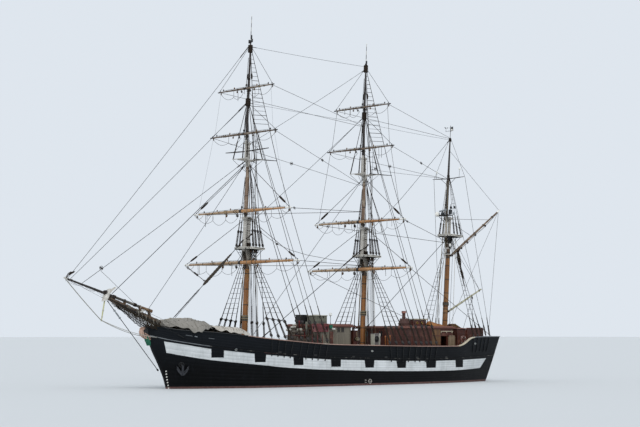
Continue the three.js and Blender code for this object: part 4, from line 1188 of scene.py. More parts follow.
def make_mast(name):
    r = RIG[name]
    H = lambda z: hz(name, z)
    cap, top, trees, ucap, truck, pole = (H(r[k]) for k in ("lowerCap", "top", "trees", "upperCap", "truck", "pole"))
    # ---- lower mast
    B = Build(MM[name])
    low = [[0, 0.23], [0.55, 0.21], [0.72, 0.19], [0.76, 0.16], [1, 0.15]]
    # from 1.7 m to 0.3 m below the top the mast is painted darker, as shade of the top
    spar_up(B, 0, low, 0.0, cap, [(0.0, "mast_low"), (6.0, "mast_ochre"), (top - 1.7, "mast_painted_shade"), (top - 0.3, "doubling")])
    R = lambda h: interp_rows(low, h / cap)
    for h in [0.12] + [1.3 + 1.28 * i for i in range(6)]:
        if h < top - 0.5:
            hoop(B, 0, 0, h, R(h), 0.07, "mast_iron", 0.010)
    for h in (top + 0.75, top + 1.45, top + 2.0):
        hoop(B, 0, 0, h, R(h), 0.06, "mast_iron", 0.010)
    hoop(B, 0, 0, 0.10, 0.23, 0.20, "grey_rope", 0.035)
    # fife of rope turns and a belt of coiled line near the eye of the lower block
    bz = H(6.1 if name == "main" else 5.6)
    for i in range(7):
        B.torus(L(0, 0, bz - 0.18 + 0.06 * i), L(0, 0, 1), (R(bz) + 0.03) * K, 0.032 * K, ("grey_rope", "tarred", "manila")[i % 3], 24, 6)
    # cheeks under the top, on both sides
    for y in (1, -1):
        ys = y * (R(top - 0.8) + 0.01)
        o = [L(-0.20, ys, top - 0.11), L(0.44, ys, top - 0.11), L(0.40, ys, top - 0.45), L(0.16, ys, top - 1.25), L(0.02, ys, top - 1.55), L(-0.12, ys, top - 1.2), L(-0.18, ys, top - 0.5)]
        B.prism(o, L(0, y * 0.09, 0), "cheek_grey", False, 0.01 * K)
    # cap
    plate_prism(B, capsule(-0.08, T1 + 0.02, 0.26), cap - 0.26, cap - 0.08, "doubling", 0.012)
    hoop(B, 0, 0, cap - 0.04, 0.15, 0.05, "mast_iron", 0.02)
    for y in (1, -1):
        B.box(L(0.20, y * 0.262, cap - 0.17), (0.40 * K, 0.03 * K, 0.10 * K), "mast_iron")
    B.done(f"{name}_lower_mast_spar", replaces=(f"{name}_lower_mast",))
    # ---- topmast
    B = Build(MM[name])
    heel = top - 0.25
    tm = [[0, 0.165], [0.6, 0.155], [0.72, 0.13], [1, 0.115]]
    spar_up(B, T1, tm, heel, ucap, [(heel, "doubling"), (cap + 0.12, "topmast"), (trees - 0.55, "doubling")])
    RT = lambda h: interp_rows(tm, (h - heel) / (ucap - heel))
    B.box(L(T1, 0, heel + 0.22), (0.335 * K, 0.335 * K, 0.40 * K), "doubling", bev=0.12)
    B.box(L(T1, 0, heel + 0.30), (0.10 * K, 0.62 * K, 0.09 * K), "iron")                                  # fid
    for h in (cap + 0.5, cap + 1.7, trees - 0.65, trees + 0.5, trees + 1.0):
        hoop(B, T1, 0, h, RT(h), 0.055, "mast_iron", 0.009, 24)
    for h in (top + 0.6, top + 1.2, top + 1.75):
        hoop(B, T1, 0, h, RT(h), 0.05, "white", 0.012, 24)
    # sheave block at the hounds, and cheek pieces
    for y in (1, -1):
        B.box(L(T1, y * (RT(trees) + 0.04), trees - 0.28), (0.20 * K, 0.07 * K, 0.42 * K), "doubling")
    plate_prism(B, capsule(T1 - 0.03, T2 + 0.01, 0.17), ucap - 0.18, ucap - 0.05, "doubling", 0.01)
    B.done(f"{name}_topmast_spar", replaces=(f"{name}_topmast",))
    # ---- topgallant mast
    B = Build(MM[name])
    h2 = trees - 0.15
    ft = (truck - h2) / (pole - h2)
    tg = [[0, 0.115], [0.5, 0.1], [ft - 0.006, 0.06], [ft - 0.004, 0.075], [ft, 0.1], [ft + 0.006, 0.1], [ft + 0.010, 0.06], [ft + 0.012, 0.03], [1, 0.02]]
    spar_up(B, T2, tg, h2, pole, [(h2, "doubling"), (ucap + 0.15, "dark"), (truck - 0.10, "tarpaint_and_hole_shade"), (truck + 0.16, "white_worn"), (truck + 0.5, "dark"), (truck + 0.9, "white_worn"),
                                  (truck + 1.25, "dark"), (truck + 1.6, "white_worn"), (truck + 1.9, "dark")], 18)
    B.box(L(T2, 0, h2 + 0.12), (0.235 * K, 0.235 * K, 0.24 * K), "doubling")
    RG = lambda h: interp_rows(tg, (h - h2) / (pole - h2))
    # eyes of the rigging: fat dark servings round the mast
    for h, fat, n in ((truck - (0.30 if name == "fore" else 0.10), 0.13, 8), (H(23.5) + 0.12, 0.11, 8), (H(23.5) + 1.9, 0.03, 3)):
        for i in range(n):
            B.torus(L(T2, 0, h - 0.075 * i), L(0.05 * (-1) ** i, 0.03, 1), (RG(h - 0.075 * i) + fat * 0.55) * K, fat * 0.55 * K, "tarred", 14, 6)
    for h in (H(20.66) - 0.4, H(24.46) - 0.4):
        hoop(B, T2, 0, h, RG(h), 0.05, "mast_iron", 0.01, 18)
    B.ball(L(T2, 0, pole - 0.02), 0.045 * K, "lamp", 6)
    for y, dz in (((0.17, 0.12), (-0.18, 0.06), (0.07, 0.44)) if name == "fore" else ((0.05, 0.20),)):
        B.box(L(T2, y, truck + dz), (0.13 * K, 0.13 * K, 0.30 * K), "black", bev=0.2)
        B.rod(L(T2, 0, truck + dz), L(T2, y, truck + dz), 0.02 * K, "iron", 6)
    B.done(f"{name}_topgallant_mast_spar", replaces=(f"{name}_topgallant_mast",))
    # ---- crosstrees
    B = Build(MM[name])
    t0 = trees
    for y in (-0.27, 0.27):
        B.box(L((T1 + T2) / 2 + 0.02, y, t0 - 0.005), (1.55 * K, 0.09 * K, 0.085 * K), "doubling")
    for x, half in ((T1 - 0.64, 1.15), (T2 + 0.60, 0.95), (T1 - 0.28, 0.62), (T2 + 0.26, 0.62)):
        for y in (1, -1):
            o = [L(x - 0.055, 0, t0 + 0.01), L(x + 0.055, 0, t0 + 0.01), L(x + 0.035, y * half, t0 + 0.02), L(x - 0.035, y * half, t0 + 0.02)]
            B.prism(o, L(0, 0, 0.05), "doubling", False)
    for i in range(7):
        B.box(L(lerp(T1 - 0.5, T2 + 0.45, i / 6), 0.0, t0 + 0.045), (0.04 * K, 0.60 * K, 0.03 * K), "doubling")
    for y in (1, -1):
        for x in (T1 - 0.64, T2 + 0.60):
            B.box(L(x, y * 0.85, t0 + 0.045), (0.06 * K, 0.07 * K, 0.05 * K), "white")
    B.done(f"{name}_crosstrees_frame", replaces=(f"{name}_crosstrees",))
    # ---- spreader for the backstays, and top
    B = Build(MM[name])
    hs = H(19.35 if name == "fore" else 19.0)
    for y in (1, -1):
        if name == "fore":
            B.lathe(L(T2 + 0.05, y * 0.08, hs - 0.10), L(T2 - 0.10, y * 2.75, hs), [[0, 0.045 * K], [0.5, 0.055 * K], [1, 0.035 * K]], "dark", 8)
            B.rod(L(T2, y * 0.05, hs + 0.85), L(T2, y * 1.55, hs), 0.012 * K, "wire", 5)
        B.lathe(L(T1 - 0.30, y * 0.30, trees + 0.12), L(T1 - 2.0, y * 1.30, trees + 0.10), [[0, 0.045 * K], [0.6, 0.042 * K], [1, 0.025 * K]], "dark", 8)
        B.ball(L(T1 - 2.0, y * 1.30, trees + 0.10), 0.05 * K, "iron", 5)
    B.done(f"{name}_spreader")
    make_top(name, f"{name}_top", 0.85, 0.95, 1.15, top, T1 + 0.02, 0.235)


for n in ("fore", "main"):
    make_mast(n)


def make_mizzen():
    H = lambda z: hz("mizzen", z)
    M = MM["mizzen"]
    cap, top = H(15.0), H(13.25)
    B = Build(M)
    low = [[0, 0.25], [0.35, 0.235], [0.6, 0.20], [0.8, 0.17], [0.84, 0.14], [1, 0.13]]
    # under the top the mast is painted darker, as shade of the top
    spar_up(B, 0, low, 0.0, cap, [(0.0, "mast_mizzen"), (H(11.15), "mast_painted_shade"), (top - 0.35, "doubling")])
    R = lambda h: interp_rows(low, h / cap)
    for h in [0.15] + [1.2 + 1.25 * i for i in range(8)]:
        if h < top - 0.4:
            hoop(B, 0, 0, h, R(h), 0.065, "mast_iron", 0.010)
    # white streaks and bands in the darker stretch under the top, which is painted shade
    for h, t in ((H(12.55), 0.10), (H(12.1), 0.16), (H(11.55), 0.08)):
        hoop(B, 0, 0, h, R(h), t, "doubling", 0.012)
    for i in range(5):
        B.torus(L(0, 0, H(6.9) + 0.06 * i), L(0, 0, 1), (R(4) + 0.03) * K, 0.03 * K, ("tarred", "grey_rope")[i % 2], 22, 6)
    for y in (1, -1):
        ys = y * (R(top - 0.6) + 0.01)
        o = [L(-0.18, ys, top - 0.09), L(0.38, ys, top - 0.09), L(0.33, ys, top - 0.4), L(0.10, ys, top - 1.1), L(-0.06, ys, top - 1.25), L(-0.16, ys, top - 0.5)]
        B.prism(o, L(0, y * 0.08, 0), "tarpaint_and_hole_shade", False, 0.01 * K)
    plate_prism(B, capsule(-0.05, 0.46, 0.22), cap - 0.24, cap - 0.08, "doubling", 0.012)
    # saddle bands of iron for the gaff and boom
    for zz in (11.45, 6.35):
        for d in (-0.16, 0.20):
            hoop(B, 0, 0, H(zz) + d, R(H(zz)), 0.06, "iron", 0.02)
    B.done("mizzen_lower_mast_spar", replaces=("mizzen_lower_mast",))
    B = Build(M)
    heel, pole = H(13.25) - 0.2, H(23.4)
    tm = [[0, 0.13], [0.5, 0.11], [0.86, 0.06], [0.868, 0.075], [0.875, 0.09], [0.885, 0.09], [0.89, 0.025], [1, 0.02]]
    spar_up(B, 0.44, tm, heel, pole, [(heel, "doubling"), (cap + 0.1, "dark"), (heel + 0.89 * (pole - heel), "dark")], 20)
    B.box(L(0.44, 0, heel + 0.20), (0.27 * K, 0.27 * K, 0.36 * K), "doubling")
    RT = lambda h: interp_rows(tm, (h - heel) / (pole - heel))
    for h in (H(15.8), H(17.0), H(18.1), H(19.6), H(20.9)):
        hoop(B, 0.44, 0, h, RT(h), 0.05, "mast_iron", 0.01, 20)
    for h, fat, n in ((H(22.15), 0.05, 4), (H(18.75), 0.04, 3)):
        for i in range(n):
            B.torus(L(0.44, 0, h - 0.07 * i), L(0, 0, 1), (RT(h) + fat * 0.5) * K, fat * 0.5 * K, "tarred", 14, 6)
    B.done("mizzen_topmast_spar", replaces=("mizzen_topmast",))
    make_top("mizzen", "mizzen_top", 0.85, 0.95, 1.0, top, 0.46, 0.205)
    # radar on a bracket ahead of the cap, lamps, boxes
    B = Build(M)
    hb = H(15.05)
    B.box(L(0.62, -0.1, hb + 0.02), (0.62 * K, 1.5 * K, 0.07 * K), "tarpaint_and_hole_shade")
    B.rod(L(0.4, 0, hb - 0.75), L(0.85, 0, hb), 0.035 * K, "iron", 8)
    for y in (-0.7, 0.55):
        B.rod(L(0.4, y * 0.3, hb - 0.6), L(0.85, y, hb), 0.028 * K, "iron", 8)
    B.lathe(L(0.80, -0.15, hb + 0.05), L(0.80, -0.15, hb + 0.36), [[0, 0.15 * K], [0.15, 0.17 * K], [0.7, 0.15 * K], [0.8, 0.06 * K], [1, 0.06 * K]], "steel", 18)
    B.box(L(0.80, -0.15, hb + 0.43), (0.14 * K, 1.45 * K, 0.13 * K), "galv", R=Matrix.Rotation(math.radians(-22), 3, "Z"), bev=0.25)
    B.box(L(0.62, 0.62, hb + 0.30), (0.26 * K, 0.24 * K, 0.42 * K), "black")
    B.box(L(0.55, -0.95, hb + 0.18), (0.22 * K, 0.2 * K, 0.26 * K), "black")
    B.rod(L(0.62, 0.62, hb + 0.5), L(0.62, 0.62, hb + 1.0), 0.02 * K, "iron", 8)
    B.lathe(L(1.0, -0.66, hb - 0.12), L(1.0, -0.66, hb + 0.34), [[0, 0.06 * K], [0.08, 0.15 * K], [0.3, 0.205 * K], [0.6, 0.205 * K], [0.85, 0.13 * K], [0.96, 0.05 * K], [1, 0.02 * K]], "white_bright", 20)
    B.lathe(L(0.55, 1.02, hb + 0.02), L(0.55, 1.02, hb + 0.30), [[0, 0.06 * K], [0.1, 0.08 * K], [0.8, 0.08 * K], [1, 0.04 * K]], "galv", 14)
    for y in (0.15, 0.35):
        B.box(L(0.30, y * 2.4, hb + 0.75), (0.16 * K, 0.14 * K, 0.22 * K), "black")
    # spreader with two lamps
    hs = H(18.5)
    for y in (1, -1):
        B.lathe(L(0.44, y * 0.05, hs - 0.05), L(0.44, y * 1.98, hs + 0.03), [[0, 0.04 * K], [0.6, 0.04 * K], [1, 0.025 * K]], "dark", 8)
        B.rod(L(0.44, 0, hs - 0.7), L(0.44, y * 0.95, hs), 0.018 * K, "iron", 6)
    for y, dz in ((-1.5, 0.55), (1.36, 0.72)):
        B.rod(L(0.44, y, hs), L(0.44, y, hs + dz), 0.014 * K, "iron", 6)
        B.lathe(L(0.44, y, hs + dz - 0.04), L(0.44, y, hs + dz + 0.20), [[0, 0.05 * K], [0.15, 0.085 * K], [0.75, 0.085 * K], [1, 0.03 * K]], "lamp", 14)
    # wind vane and cups on a side arm at the truck
    ht = H(22.9)
    B.rod(L(0.44, -0.62, ht + 0.0), L(0.44, 0.34, ht + 0.0), 0.016 * K, "iron", 6)
    B.rod(L(0.44, -0.58, ht), L(0.44, -0.58, ht + 0.35), 0.014 * K, "iron", 6)
    for i in range(3):
        t = 2.1 * i
        B.rod(L(0.44, -0.58, ht + 0.33), L(0.44 + 0.14 * math.cos(t), -0.58 + 0.14 * math.sin(t), ht + 0.33), 0.008 * K, "iron", 5)
        B.ball(L(0.44 + 0.15 * math.cos(t), -0.58 + 0.15 * math.sin(t), ht + 0.33), 0.045 * K, "black", 5)
    B.rod(L(0.44, 0.05, ht - 0.1), L(0.44, 0.05, ht + 0.42), 0.016 * K, "iron", 6)
    o = [L(0.70, 0.05, ht + 0.24), L(0.50, 0.05, ht + 0.27), L(0.20, 0.05, ht + 0.46), L(0.16, 0.05, ht + 0.06), L(0.50, 0.05, ht + 0.21)]
    B.prism(o, L(0, 0.025, 0), "black")
    B.ball(L(0.40, 0.12, ht + 0.08), 0.085 * K, "white_bright", 8, squash=(1, 1, 1.3))
    # white lamp before the mast, under the top
    B.box(L(0.20, 0.40, H(12.25)), (0.16 * K, 0.16 * K, 0.06 * K), "iron")
    B.lathe(L(0.24, 0.42, H(12.22)), L(0.24, 0.42, H(12.52)), [[0, 0.06 * K], [0.15, 0.095 * K], [0.8, 0.095 * K], [1, 0.04 * K]], "lamp", 16)
    B.rod(L(0.15, 0.2, H(12.2)), L(0.24, 0.42, H(12.24)), 0.02 * K, "iron", 6)
    B.done("mizzen_instruments")


make_mizzen()


# ================================================================ yards
G["yard_tan"] = wood("yard_tan", (0x6A5036, 0x9C8060, 0xBCA284), 1, 0.6, worn=0xB0A898)
G["yard_ochre"] = wood("yard_ochre", (0x744C26, 0xA87848, 0xC8A074), 1, 0.55, worn=0xB4A48C)
G["yard_brown"] = wood("yard_brown", (0x382A20, 0x665444, 0x8C7C6A), 1, 0.6, worn=0x948C80)
# columns: body, mast, level z, half length, distance ahead of the spar it turns on, that spar's place ahead, its radius, yard's radius middle, end
YARDS = [("fore_course", "fore", 10.07, 7.34, 0.76, 0, 0.205, 0.15, 0.075),
         ("fore_topsail", "fore", 14.29, 6.21, 0.50, T1, 0.165, 0.14, 0.065),
         ("fore_topgallant", "fore", 20.66, 4.30, 0.37, T2, 0.115, 0.095, 0.05),
         ("fore_royal", "fore", 24.46, 3.61, 0.32, T2, 0.10, 0.08, 0.045),
         ("main_course", "main", 9.85, 6.60, 0.76, 0, 0.205, 0.15, 0.075),
         ("main_topsail", "main", 13.98, 5.75, 0.50, T1, 0.165, 0.135, 0.065),
         ("main_topgallant", "main", 20.38, 4.22, 0.37, T2, 0.115, 0.095, 0.05),
         ("main_royal", "main", 24.06, 3.59, 0.32, T2, 0.10, 0.08, 0.045)]


def block(B, p, r, d=(0, 0, -1), key="block"):
    """Rope block hanging from p along d: shell, strop, sheave pin. Works in B's own frame; p and r in model metres."""
    d = Vector(d).normalized()
    c = Vector(p) + d * r * 1.6
    q = Vector((0, 0, 1)).rotation_difference(d).to_matrix()
    B.ball(c, r, key, 5, squash=(0.55, 0.85, 1.25), R=q)
    B.torus(c, q @ Vector((0, 1, 0)), r * 1.22, r * 0.16, "tarred", 10, 4)
    B.rod(p, Vector(p) + d * r * 0.6, r * 0.16, "tarred", 5)


def serving(B, p, q, r, key="tarred", n=7):
    """Fat wrapped stretch of a line."""
    p, q = Vector(p), Vector(q)
    rows = [[0, r * 0.5], [0.10, r * 0.9]] + [[0.1 + 0.8 * (i + 1) / (n + 1), r * (1.12 if i % 2 else 0.92)] for i in range(n)] + [[0.95, r * 0.8], [1, r * 0.5]]
    B.lathe(p, q, rows, key, 8)


def sagging(p, q, sag, n=8):
    p, q = Vector(p), Vector(q)
    return [p.lerp(q, i / n) - Vector((0, 0, sag * 4 * (i / n) * (1 - i / n))) for i in range(n + 1)]


def make_yard(body, mast, z, half, ahead, at, sparR, r0, r1):
    B = Build(MM[mast])
    x, h = at + ahead, hz(mast, z)
    low = z < 16
    rows = [[0, r1 * 0.8], [0.004, r1], [0.015, r1], [0.2, r1 * 1.35], [0.42, r0], [0.58, r0], [0.8, r1 * 1.35], [0.985, r1], [0.996, r1], [1, r1 * 0.8]]
    tip = (0.68 if low else 0.30) / (2 * half)
    cuts = sorted(set([r[0] for r in rows] + [tip, 1 - tip, 0.30, 0.70] + [i / 20 for i in range(21)]))
    rr = [[f, interp_rows(rows, f) * K] for f in cuts]
    keys = []
    for a, b in zip(cuts, cuts[1:]):
        f = (a + b) / 2
        if f < tip or f > 1 - tip:
            keys.append("white_bright" if low else "dark_y")
        elif low:
            keys.append("yard_ochre" if f > 0.5 else "yard_tan")
        else:
            keys.append("yard_brown")
    B.lathe(L(x, -half, h), L(x, half, h), rr, keys, 16)
    R = lambda y: interp_rows(rows, (y + half) / (2 * half))

    def ring(y, wide, key, proud=0.012):
        B.lathe(L(x, y - wide / 2, h), L(x, y + wide / 2, h), [[0, R(y) * K], [0.15, (R(y) + proud) * K], [0.85, (R(y) + proud) * K], [1, R(y) * K]], key, 16, caps=False)
    for y in (0.45 * half, 0.28 * half, 0.12, 0.66 * half, half - 0.7 if low else half - 0.35, half - 0.18):
        for s in (1, -1):
            ring(s * y, 0.06, "mast_iron", 0.011)
    ring(0, 0.20, "mast_iron", 0.018)
    # truss: arm and open collar on the mast
    ri, ro = sparR + 0.03, sparR + 0.09
    B.box(L(at + (ahead + ri + 0.02) / 2, 0, h), ((ahead - ri - 0.02) * K, 0.10 * K, 0.10 * K), "iron", bev=0.15)
    arc = [(at + ro * math.cos(-1.25 + 2.5 * i / 12), ro * math.sin(-1.25 + 2.5 * i / 12)) for i in range(13)] + \
          [(at + ri * math.cos(1.25 - 2.5 * i / 12), ri * math.sin(1.25 - 2.5 * i / 12)) for i in range(13)]
    n = 13
    for i in range(12):
        q = [arc[i], arc[i + 1], arc[24 - i], arc[25 - i]]
        B.prism([L(px, py, h - 0.06) for px, py in q], L(0, 0, 0.12), "iron", False)
    for s in (1, -1):
        B.ball(L(at + (ri + ro) / 2 * math.cos(1.25), s * (ri + ro) / 2 * math.sin(1.25), h), 0.045 * K, "iron", 5)
    # jackstay on its eyes
    jy = [-(half - 0.75) + (2 * half - 1.5) * i / 16 for i in range(17)]
    B.tube([L(x + 0.03, y, h + R(y) + 0.045) for y in jy], 0.014 * K, "iron", 5)
    for y in jy[::1]:
        B.rod(L(x + 0.03, y, h + R(y) * 0.8), L(x + 0.03, y, h + R(y) + 0.05), 0.012 * K, "iron", 4)
    # footropes in bights on stirrups
    nb = 3 if half > 5.5 else 2
    for s in (1, -1):
        ys = [half - 0.25] + [lerp(half - 0.75, 0.35, (i + 1) / nb) for i in range(nb)]
        deps = [0.05] + [0.50] * (nb - 1) + [0.20]
        for i in range(nb):
            a = L(x - 0.08, s * ys[i], h - R(ys[i]) - deps[i])
            b = L(x - 0.08, s * ys[i + 1], h - R(ys[i + 1]) - deps[i + 1])
            B.tube(sagging(a, b, (0.42 if low else 0.34) * K, 8), 0.014 * K, "tarred", 5)
        for y in ys[1:-1]:
            B.rod(L(x - 0.06, s * y, h - R(y)), L(x - 0.08, s * y, h - R(y) - 0.52), 0.014 * K, "tarred", 5)
        # flemish horse and blocks at the arm
        if low:
            B.tube(sagging(L(x - 0.05, s * (half - 0.02), h - 0.05), L(x - 0.05, s * (half - 1.15), h - 0.12), 0.30 * K, 6), 0.014 * K, "tarred", 5)
        block(B, L(x - 0.05, s * (half - 0.32), h - R(half - 0.32)), (0.08 if low else 0.06) * K, (-0.3, 0, -1), "block")
        block(B, L(x, s * 0.30 * half, h - R(0.3 * half)), (0.10 if low else 0.07) * K, (0, 0, -1), "block")
        block(B, L(x - 0.02, s * 0.55, h - r0), (0.11 if low else 0.08) * K, (-0.2, 0, -1), "deadeye")
        # blocks standing on the yard
        for y in ((0.22, 0.5, 0.78) if low else (0.4, 0.8)):
            B.ball(L(x + 0.02, s * y * half, h + R(y * half) + 0.09), 0.075 * K, "deadeye" if y > 0.6 else "block", 5, squash=(0.6, 0.9, 1.15))
    # gaskets hanging from the jackstay, and turns of rope round the yard
    for i in range(5 if low else 3):
        y = (rnd.random() * 2 - 1) * (half - 1.2)
        d = 0.45 + rnd.random() * 0.75
        pts = [L(x + R(y) + 0.02, y, h + 0.02), L(x + R(y) + 0.02, y + 0.02, h - 0.15), L(x + R(y) - 0.01, y + 0.03, h - d * 0.6), L(x + 0.04, y + 0.05 * (rnd.random() - 0.5), h - d)]
        B.tube(pts, 0.017 * K, "grey_rope" if i % 2 else "tarred", 5)
    for i in range(6 if low else 4):
        y = (rnd.random() * 2 - 1) * (half - 1.0)
        B.torus(L(x, y, h), L(0.05, 1, 0.1), (R(y) + 0.016) * K, 0.02 * K, ("grey_rope", "tarred", "manila")[i % 3], 14, 5)
    # sling or tye up to the mast
    if body.endswith("course"):
        B.tube([L(x - 0.02, 0, h + r0), L(0.55, 0, h + 0.6), L(0.30, 0, hz(mast, RIG[mast]["top"]) - 0.35)], 0.032 * K, "iron", 6)
        for y in (0.45, -0.45):
            B.rod(L(x - 0.03, y, h + r0 * 0.8), L(0.42, y * 0.35, h + 0.85), 0.018 * K, "tarred", 5)
    else:
        up = {"topsail": 2.9, "topgallant": 2.2, "royal": 2.6}[body.split("_")[1]]
        B.rod(L(x - 0.05, 0, h + r0 * 0.8), L(at + sparR + 0.06, 0, h + up), 0.02 * K, "tarred", 6)
        block(B, L(x - 0.06, 0, h + r0 + 0.34), 0.085 * K, (0, 0, -1), "deadeye")
        B.torus(L(at, 0, h - 0.18), L(0, 0, 1), (sparR + 0.045) * K, 0.03 * K, "tarred", 18, 6)
    B.done(f"{body}_yard_spar", body=body, replaces=(f"{body}_yard",))


G["dark_y"] = wood("dark_spar_y", (0x15110F, 0x2C2422, 0x453A34), 1, 0.5)
for row in YARDS:
    make_yard(*row)


def arm_point(row, side, back=0.15, dz=0.0):
    body, mast, z, half, ahead, at = row[:6]
    return MM[mast] @ L(at + ahead, side * (half - back), hz(mast, z) + dz)


def blended_line(name, pts, r, key, extra=None, seg=10):
    """Line from a yard (first point) to the ship (last point), as one fixed tube."""
    B = Build()
    full = []
    for a, b in zip(pts, pts[1:]):
        n = max(2, round(seg * (Vector(b) - Vector(a)).length / (Vector(pts[-1]) - Vector(pts[0])).length))
        full += [Vector(a).lerp(Vector(b), i / n) for i in range(n)]
    full.append(Vector(pts[-1]))
    B.tube(full, r * K, key, 5)
    if extra:
        extra(B, full)
    ob = B.done(name, body=None)
    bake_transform(ob)
    return ob


YARD = {r[0]: r for r in YARDS}


def make_lifts_and_braces():
    for side, tag in ((1, "port"), (-1, "starboard")):
        for body, row in YARD.items():
            mast, z, half, at = row[1], row[2], row[3], row[5]
            kind = body.split("_")[1]
            R = RIG[mast]
            # lifts; columns: kind -> mast place (x, y, z), radius, fat stretch near the arm (from, to metres) and its radius
            x, y, zz, r, fat = {"course": (T1 * 0.5, 0.27, R["lowerCap"] - 0.16, 0.022, (0.55, 1.45, 0.075)),
                                "topsail": (T1, 0.16, R["trees"] - 0.35, 0.022, (0.7, 1.7, 0.085)),
                                "topgallant": (T2, 0.10, 23.25, 0.018, None),
                                "royal": (T2, 0.09, R["truck"] - 0.35, 0.016, None)}[kind]
            a = arm_point(row, side, 0.22, 0.06)
            b = MM[mast] @ L(x, side * y, hz(mast, zz))

            def extra(B, full, a=a, b=b, fat=fat, half=half):
                d = (b - a).normalized()
                if fat:
                    serving(B, a + d * fat[0] * K, a + d * fat[1] * K, fat[2] * K, "tarred", 9)
                B.ball(a + d * 0.10 * K, 0.05 * K, "iron", 5)
            blended_line(f"{body}_lift_{tag}", [a, b], r, "wire" if kind in ("royal", "topgallant") else "tarred", extra)
            # braces: places on the mast abaft, or on the rail
            a = arm_point(row, side, 0.30, -0.02)
            if mast == "fore":
                mid, b = {"course": (None, on_mast("main", 0.30, side * 0.16, 10.2)),
                          "topsail": (None, on_mast("main", T1 + 0.20, side * 0.12, 14.9)),
                          "topgallant": (0.52, on_mast("main", T2 + 0.10, side * 0.12, 17.2)),
                          "royal": (None, on_mast("main", T2 + 0.12, side * 0.08, 22.4))}[kind]
            else:
                mid, b = {"course": (None, V(34.6, side * 2.95, 4.1)),
                          "topsail": (None, on_mast("mizzen", 0.15, side * 0.16, 12.6)),
                          "topgallant": (0.50, on_mast("mizzen", 0.52, side * 0.10, 18.4)),
                          "royal": (None, on_mast("mizzen", 0.50, side * 0.08, 22.2))}[kind]

            def extra2(B, full, a=a, b=b, mid=mid, kind=kind):
                d = (b - a).normalized()
                B.ball(a + d * 0.1 * K, 0.05 * K, "iron", 5)
                if mid:
                    p = a.lerp(b, mid)
                    block(B, p - d * 0.12 * K, 0.11 * K, d, "deadeye")
                if kind == "topsail":
                    block(B, a + d * 0.9 * K, 0.10 * K, d, "deadeye")
            blended_line(f"{body}_brace_{tag}", [a, b], 0.016 if kind in ("royal", "topgallant") else 0.02, "tarred", extra2)



def make_yardarm_lines():
    """Lines led from each yardarm to the next one below, in two halves that meet at a fixed point midway."""
    for mast, r, key in (("main", 0.015, "tarred"), ("fore", 0.009, "pale_line")):
        for side, tag in ((1, "port"), (-1, "starboard")):
            for up, low in (("royal", "topgallant"), ("topgallant", "topsail")):
                a = arm_point(YARD[f"{mast}_{up}"], side, 0.40, -0.06)
                b = arm_point(YARD[f"{mast}_{low}"], side, 0.55, 0.10)
                mid = a.lerp(b, 0.5)
                blended_line(f"{mast}_{up}_yardarm_line_{tag}", [a, mid], r, key, None, 6)
                blended_line(f"{mast}_{low}_yardarm_line_{tag}", [b, mid], r, key, None, 6)

    # pendant of the fore course led from the yardarm to the fore stay, with its block
    a, b = arm_point(YARD["fore_course"], -1, 0.28, -0.12), V(3.85, -0.05, 8.50)

    def gear(B, full):
        B.rod(a.lerp(b, 0.42), a.lerp(b, 0.60), 0.075 * K, "tarred", 8)
        block(B, a.lerp(b, 0.92), 0.08 * K, b - a, "deadeye")
    blended_line("fore_course_pendant", [a, b], 0.026, "tarred", gear, 12)


G["pale_line"] = rope("pale_line", (0x8A8C8E, 0xA6A8AA))
make_lifts_and_braces()
make_yardarm_lines()


# ================================================================ standing rigging
def rail_foot(s, side, up=0.10):
    z = railZ(s) if s < 29 else railAt(min(35.0, s))
    return V(s, side * (halfAt(s0_of(s, z), z) + 0.03), z + up)


def deadeye(B, c, d, r):
    """Round deadeye with its edge along d, lying fore and aft."""
    d = d.normalized()
    side = Vector((0, 1, 0)) - d * d.y
    side.normalize()
    x = side.cross(d)
    R = Matrix((x, side, d)).transposed()
    B.ball(c, r, "deadeye", 6, squash=(1.0, 0.55, 1.0), R=R)
    B.torus(c, side, r * 0.98, r * 0.22, "iron", 12, 5)
    return x


def shroud(B, foot, head, r=0.024, gap=1.45, low=0.26, dr=0.135, key="tarred", tail=1.3, chain=None):
    """Shroud or backstay from a foot to a head: two deadeyes, the lanyard between them, the turned-up tail, then the rope."""
    d = (head - foot).normalized()
    a, b = foot + d * low * K, foot + d * (low + gap) * K
    x = deadeye(B, a, d, dr * K)
    deadeye(B, b, d, dr * K)
    B.rod(foot, a, 0.035 * K, "iron", 5)
    for k in (-0.085, -0.028, 0.028, 0.085):
        B.rod(a + x * k * K + d * 0.05 * K, b + x * k * 0.9 * K - d * 0.05 * K, 0.022 * K, "tarred", 4)
    c = b + d * (0.16 + tail) * K
    B.rod(b + d * 0.08 * K, c, 0.040 * K, key, 6, r1=0.034 * K)
    for q in (0.35, 0.65, 0.97):
        B.torus(b.lerp(c, q), d, 0.045 * K, 0.014 * K, "grey_rope", 8, 4)
    B.tube([c, head], r * K, key, 5)
    if chain is not None:
        s, side = chain
        slope = -(head.x - foot.x) / max(1e-6, head.z - foot.z)
        z0 = (railZ(s) if s < 29 else railAt(min(35.0, s))) - 0.03
        z1 = z0 - 1.25
        p = [hull_point(s + slope * (z0 - z), z, side, 0.035)[0] for z in (z0, lerp(z0, z1, 0.5), z1)]
        B.tube([foot] + p, 0.030 * K, "iron", 5)
        B.ball(p[-1], 0.06 * K, "iron", 5, squash=(1, 0.7, 1))
    return b


def ratlines(B, lines, z0, z1, step=0.40, r=0.013, key="tarred", skip=()):
    """Rungs across lines (each a pair of points) at even levels."""
    n = max(1, round((z1 - z0) / step))
    for i in range(n + 1):
        z = (z0 + (z1 - z0) * i / n) * K
        pts = []
        for a, b in lines:
            t = (z - a.z) / (b.z - a.z)
            if 0 <= t <= 1:
                pts.append(a.lerp(b, t))
        if len(pts) < 2 or i in skip:
            continue
        full = []
        for p, q in zip(pts, pts[1:]):
            full += [p, p.lerp(q, 0.5) - Vector((0, 0, 0.012 * K + rnd.random() * 0.02 * K))]
        full.append(pts[-1])
        B.tube(full, r * K, key, 4)


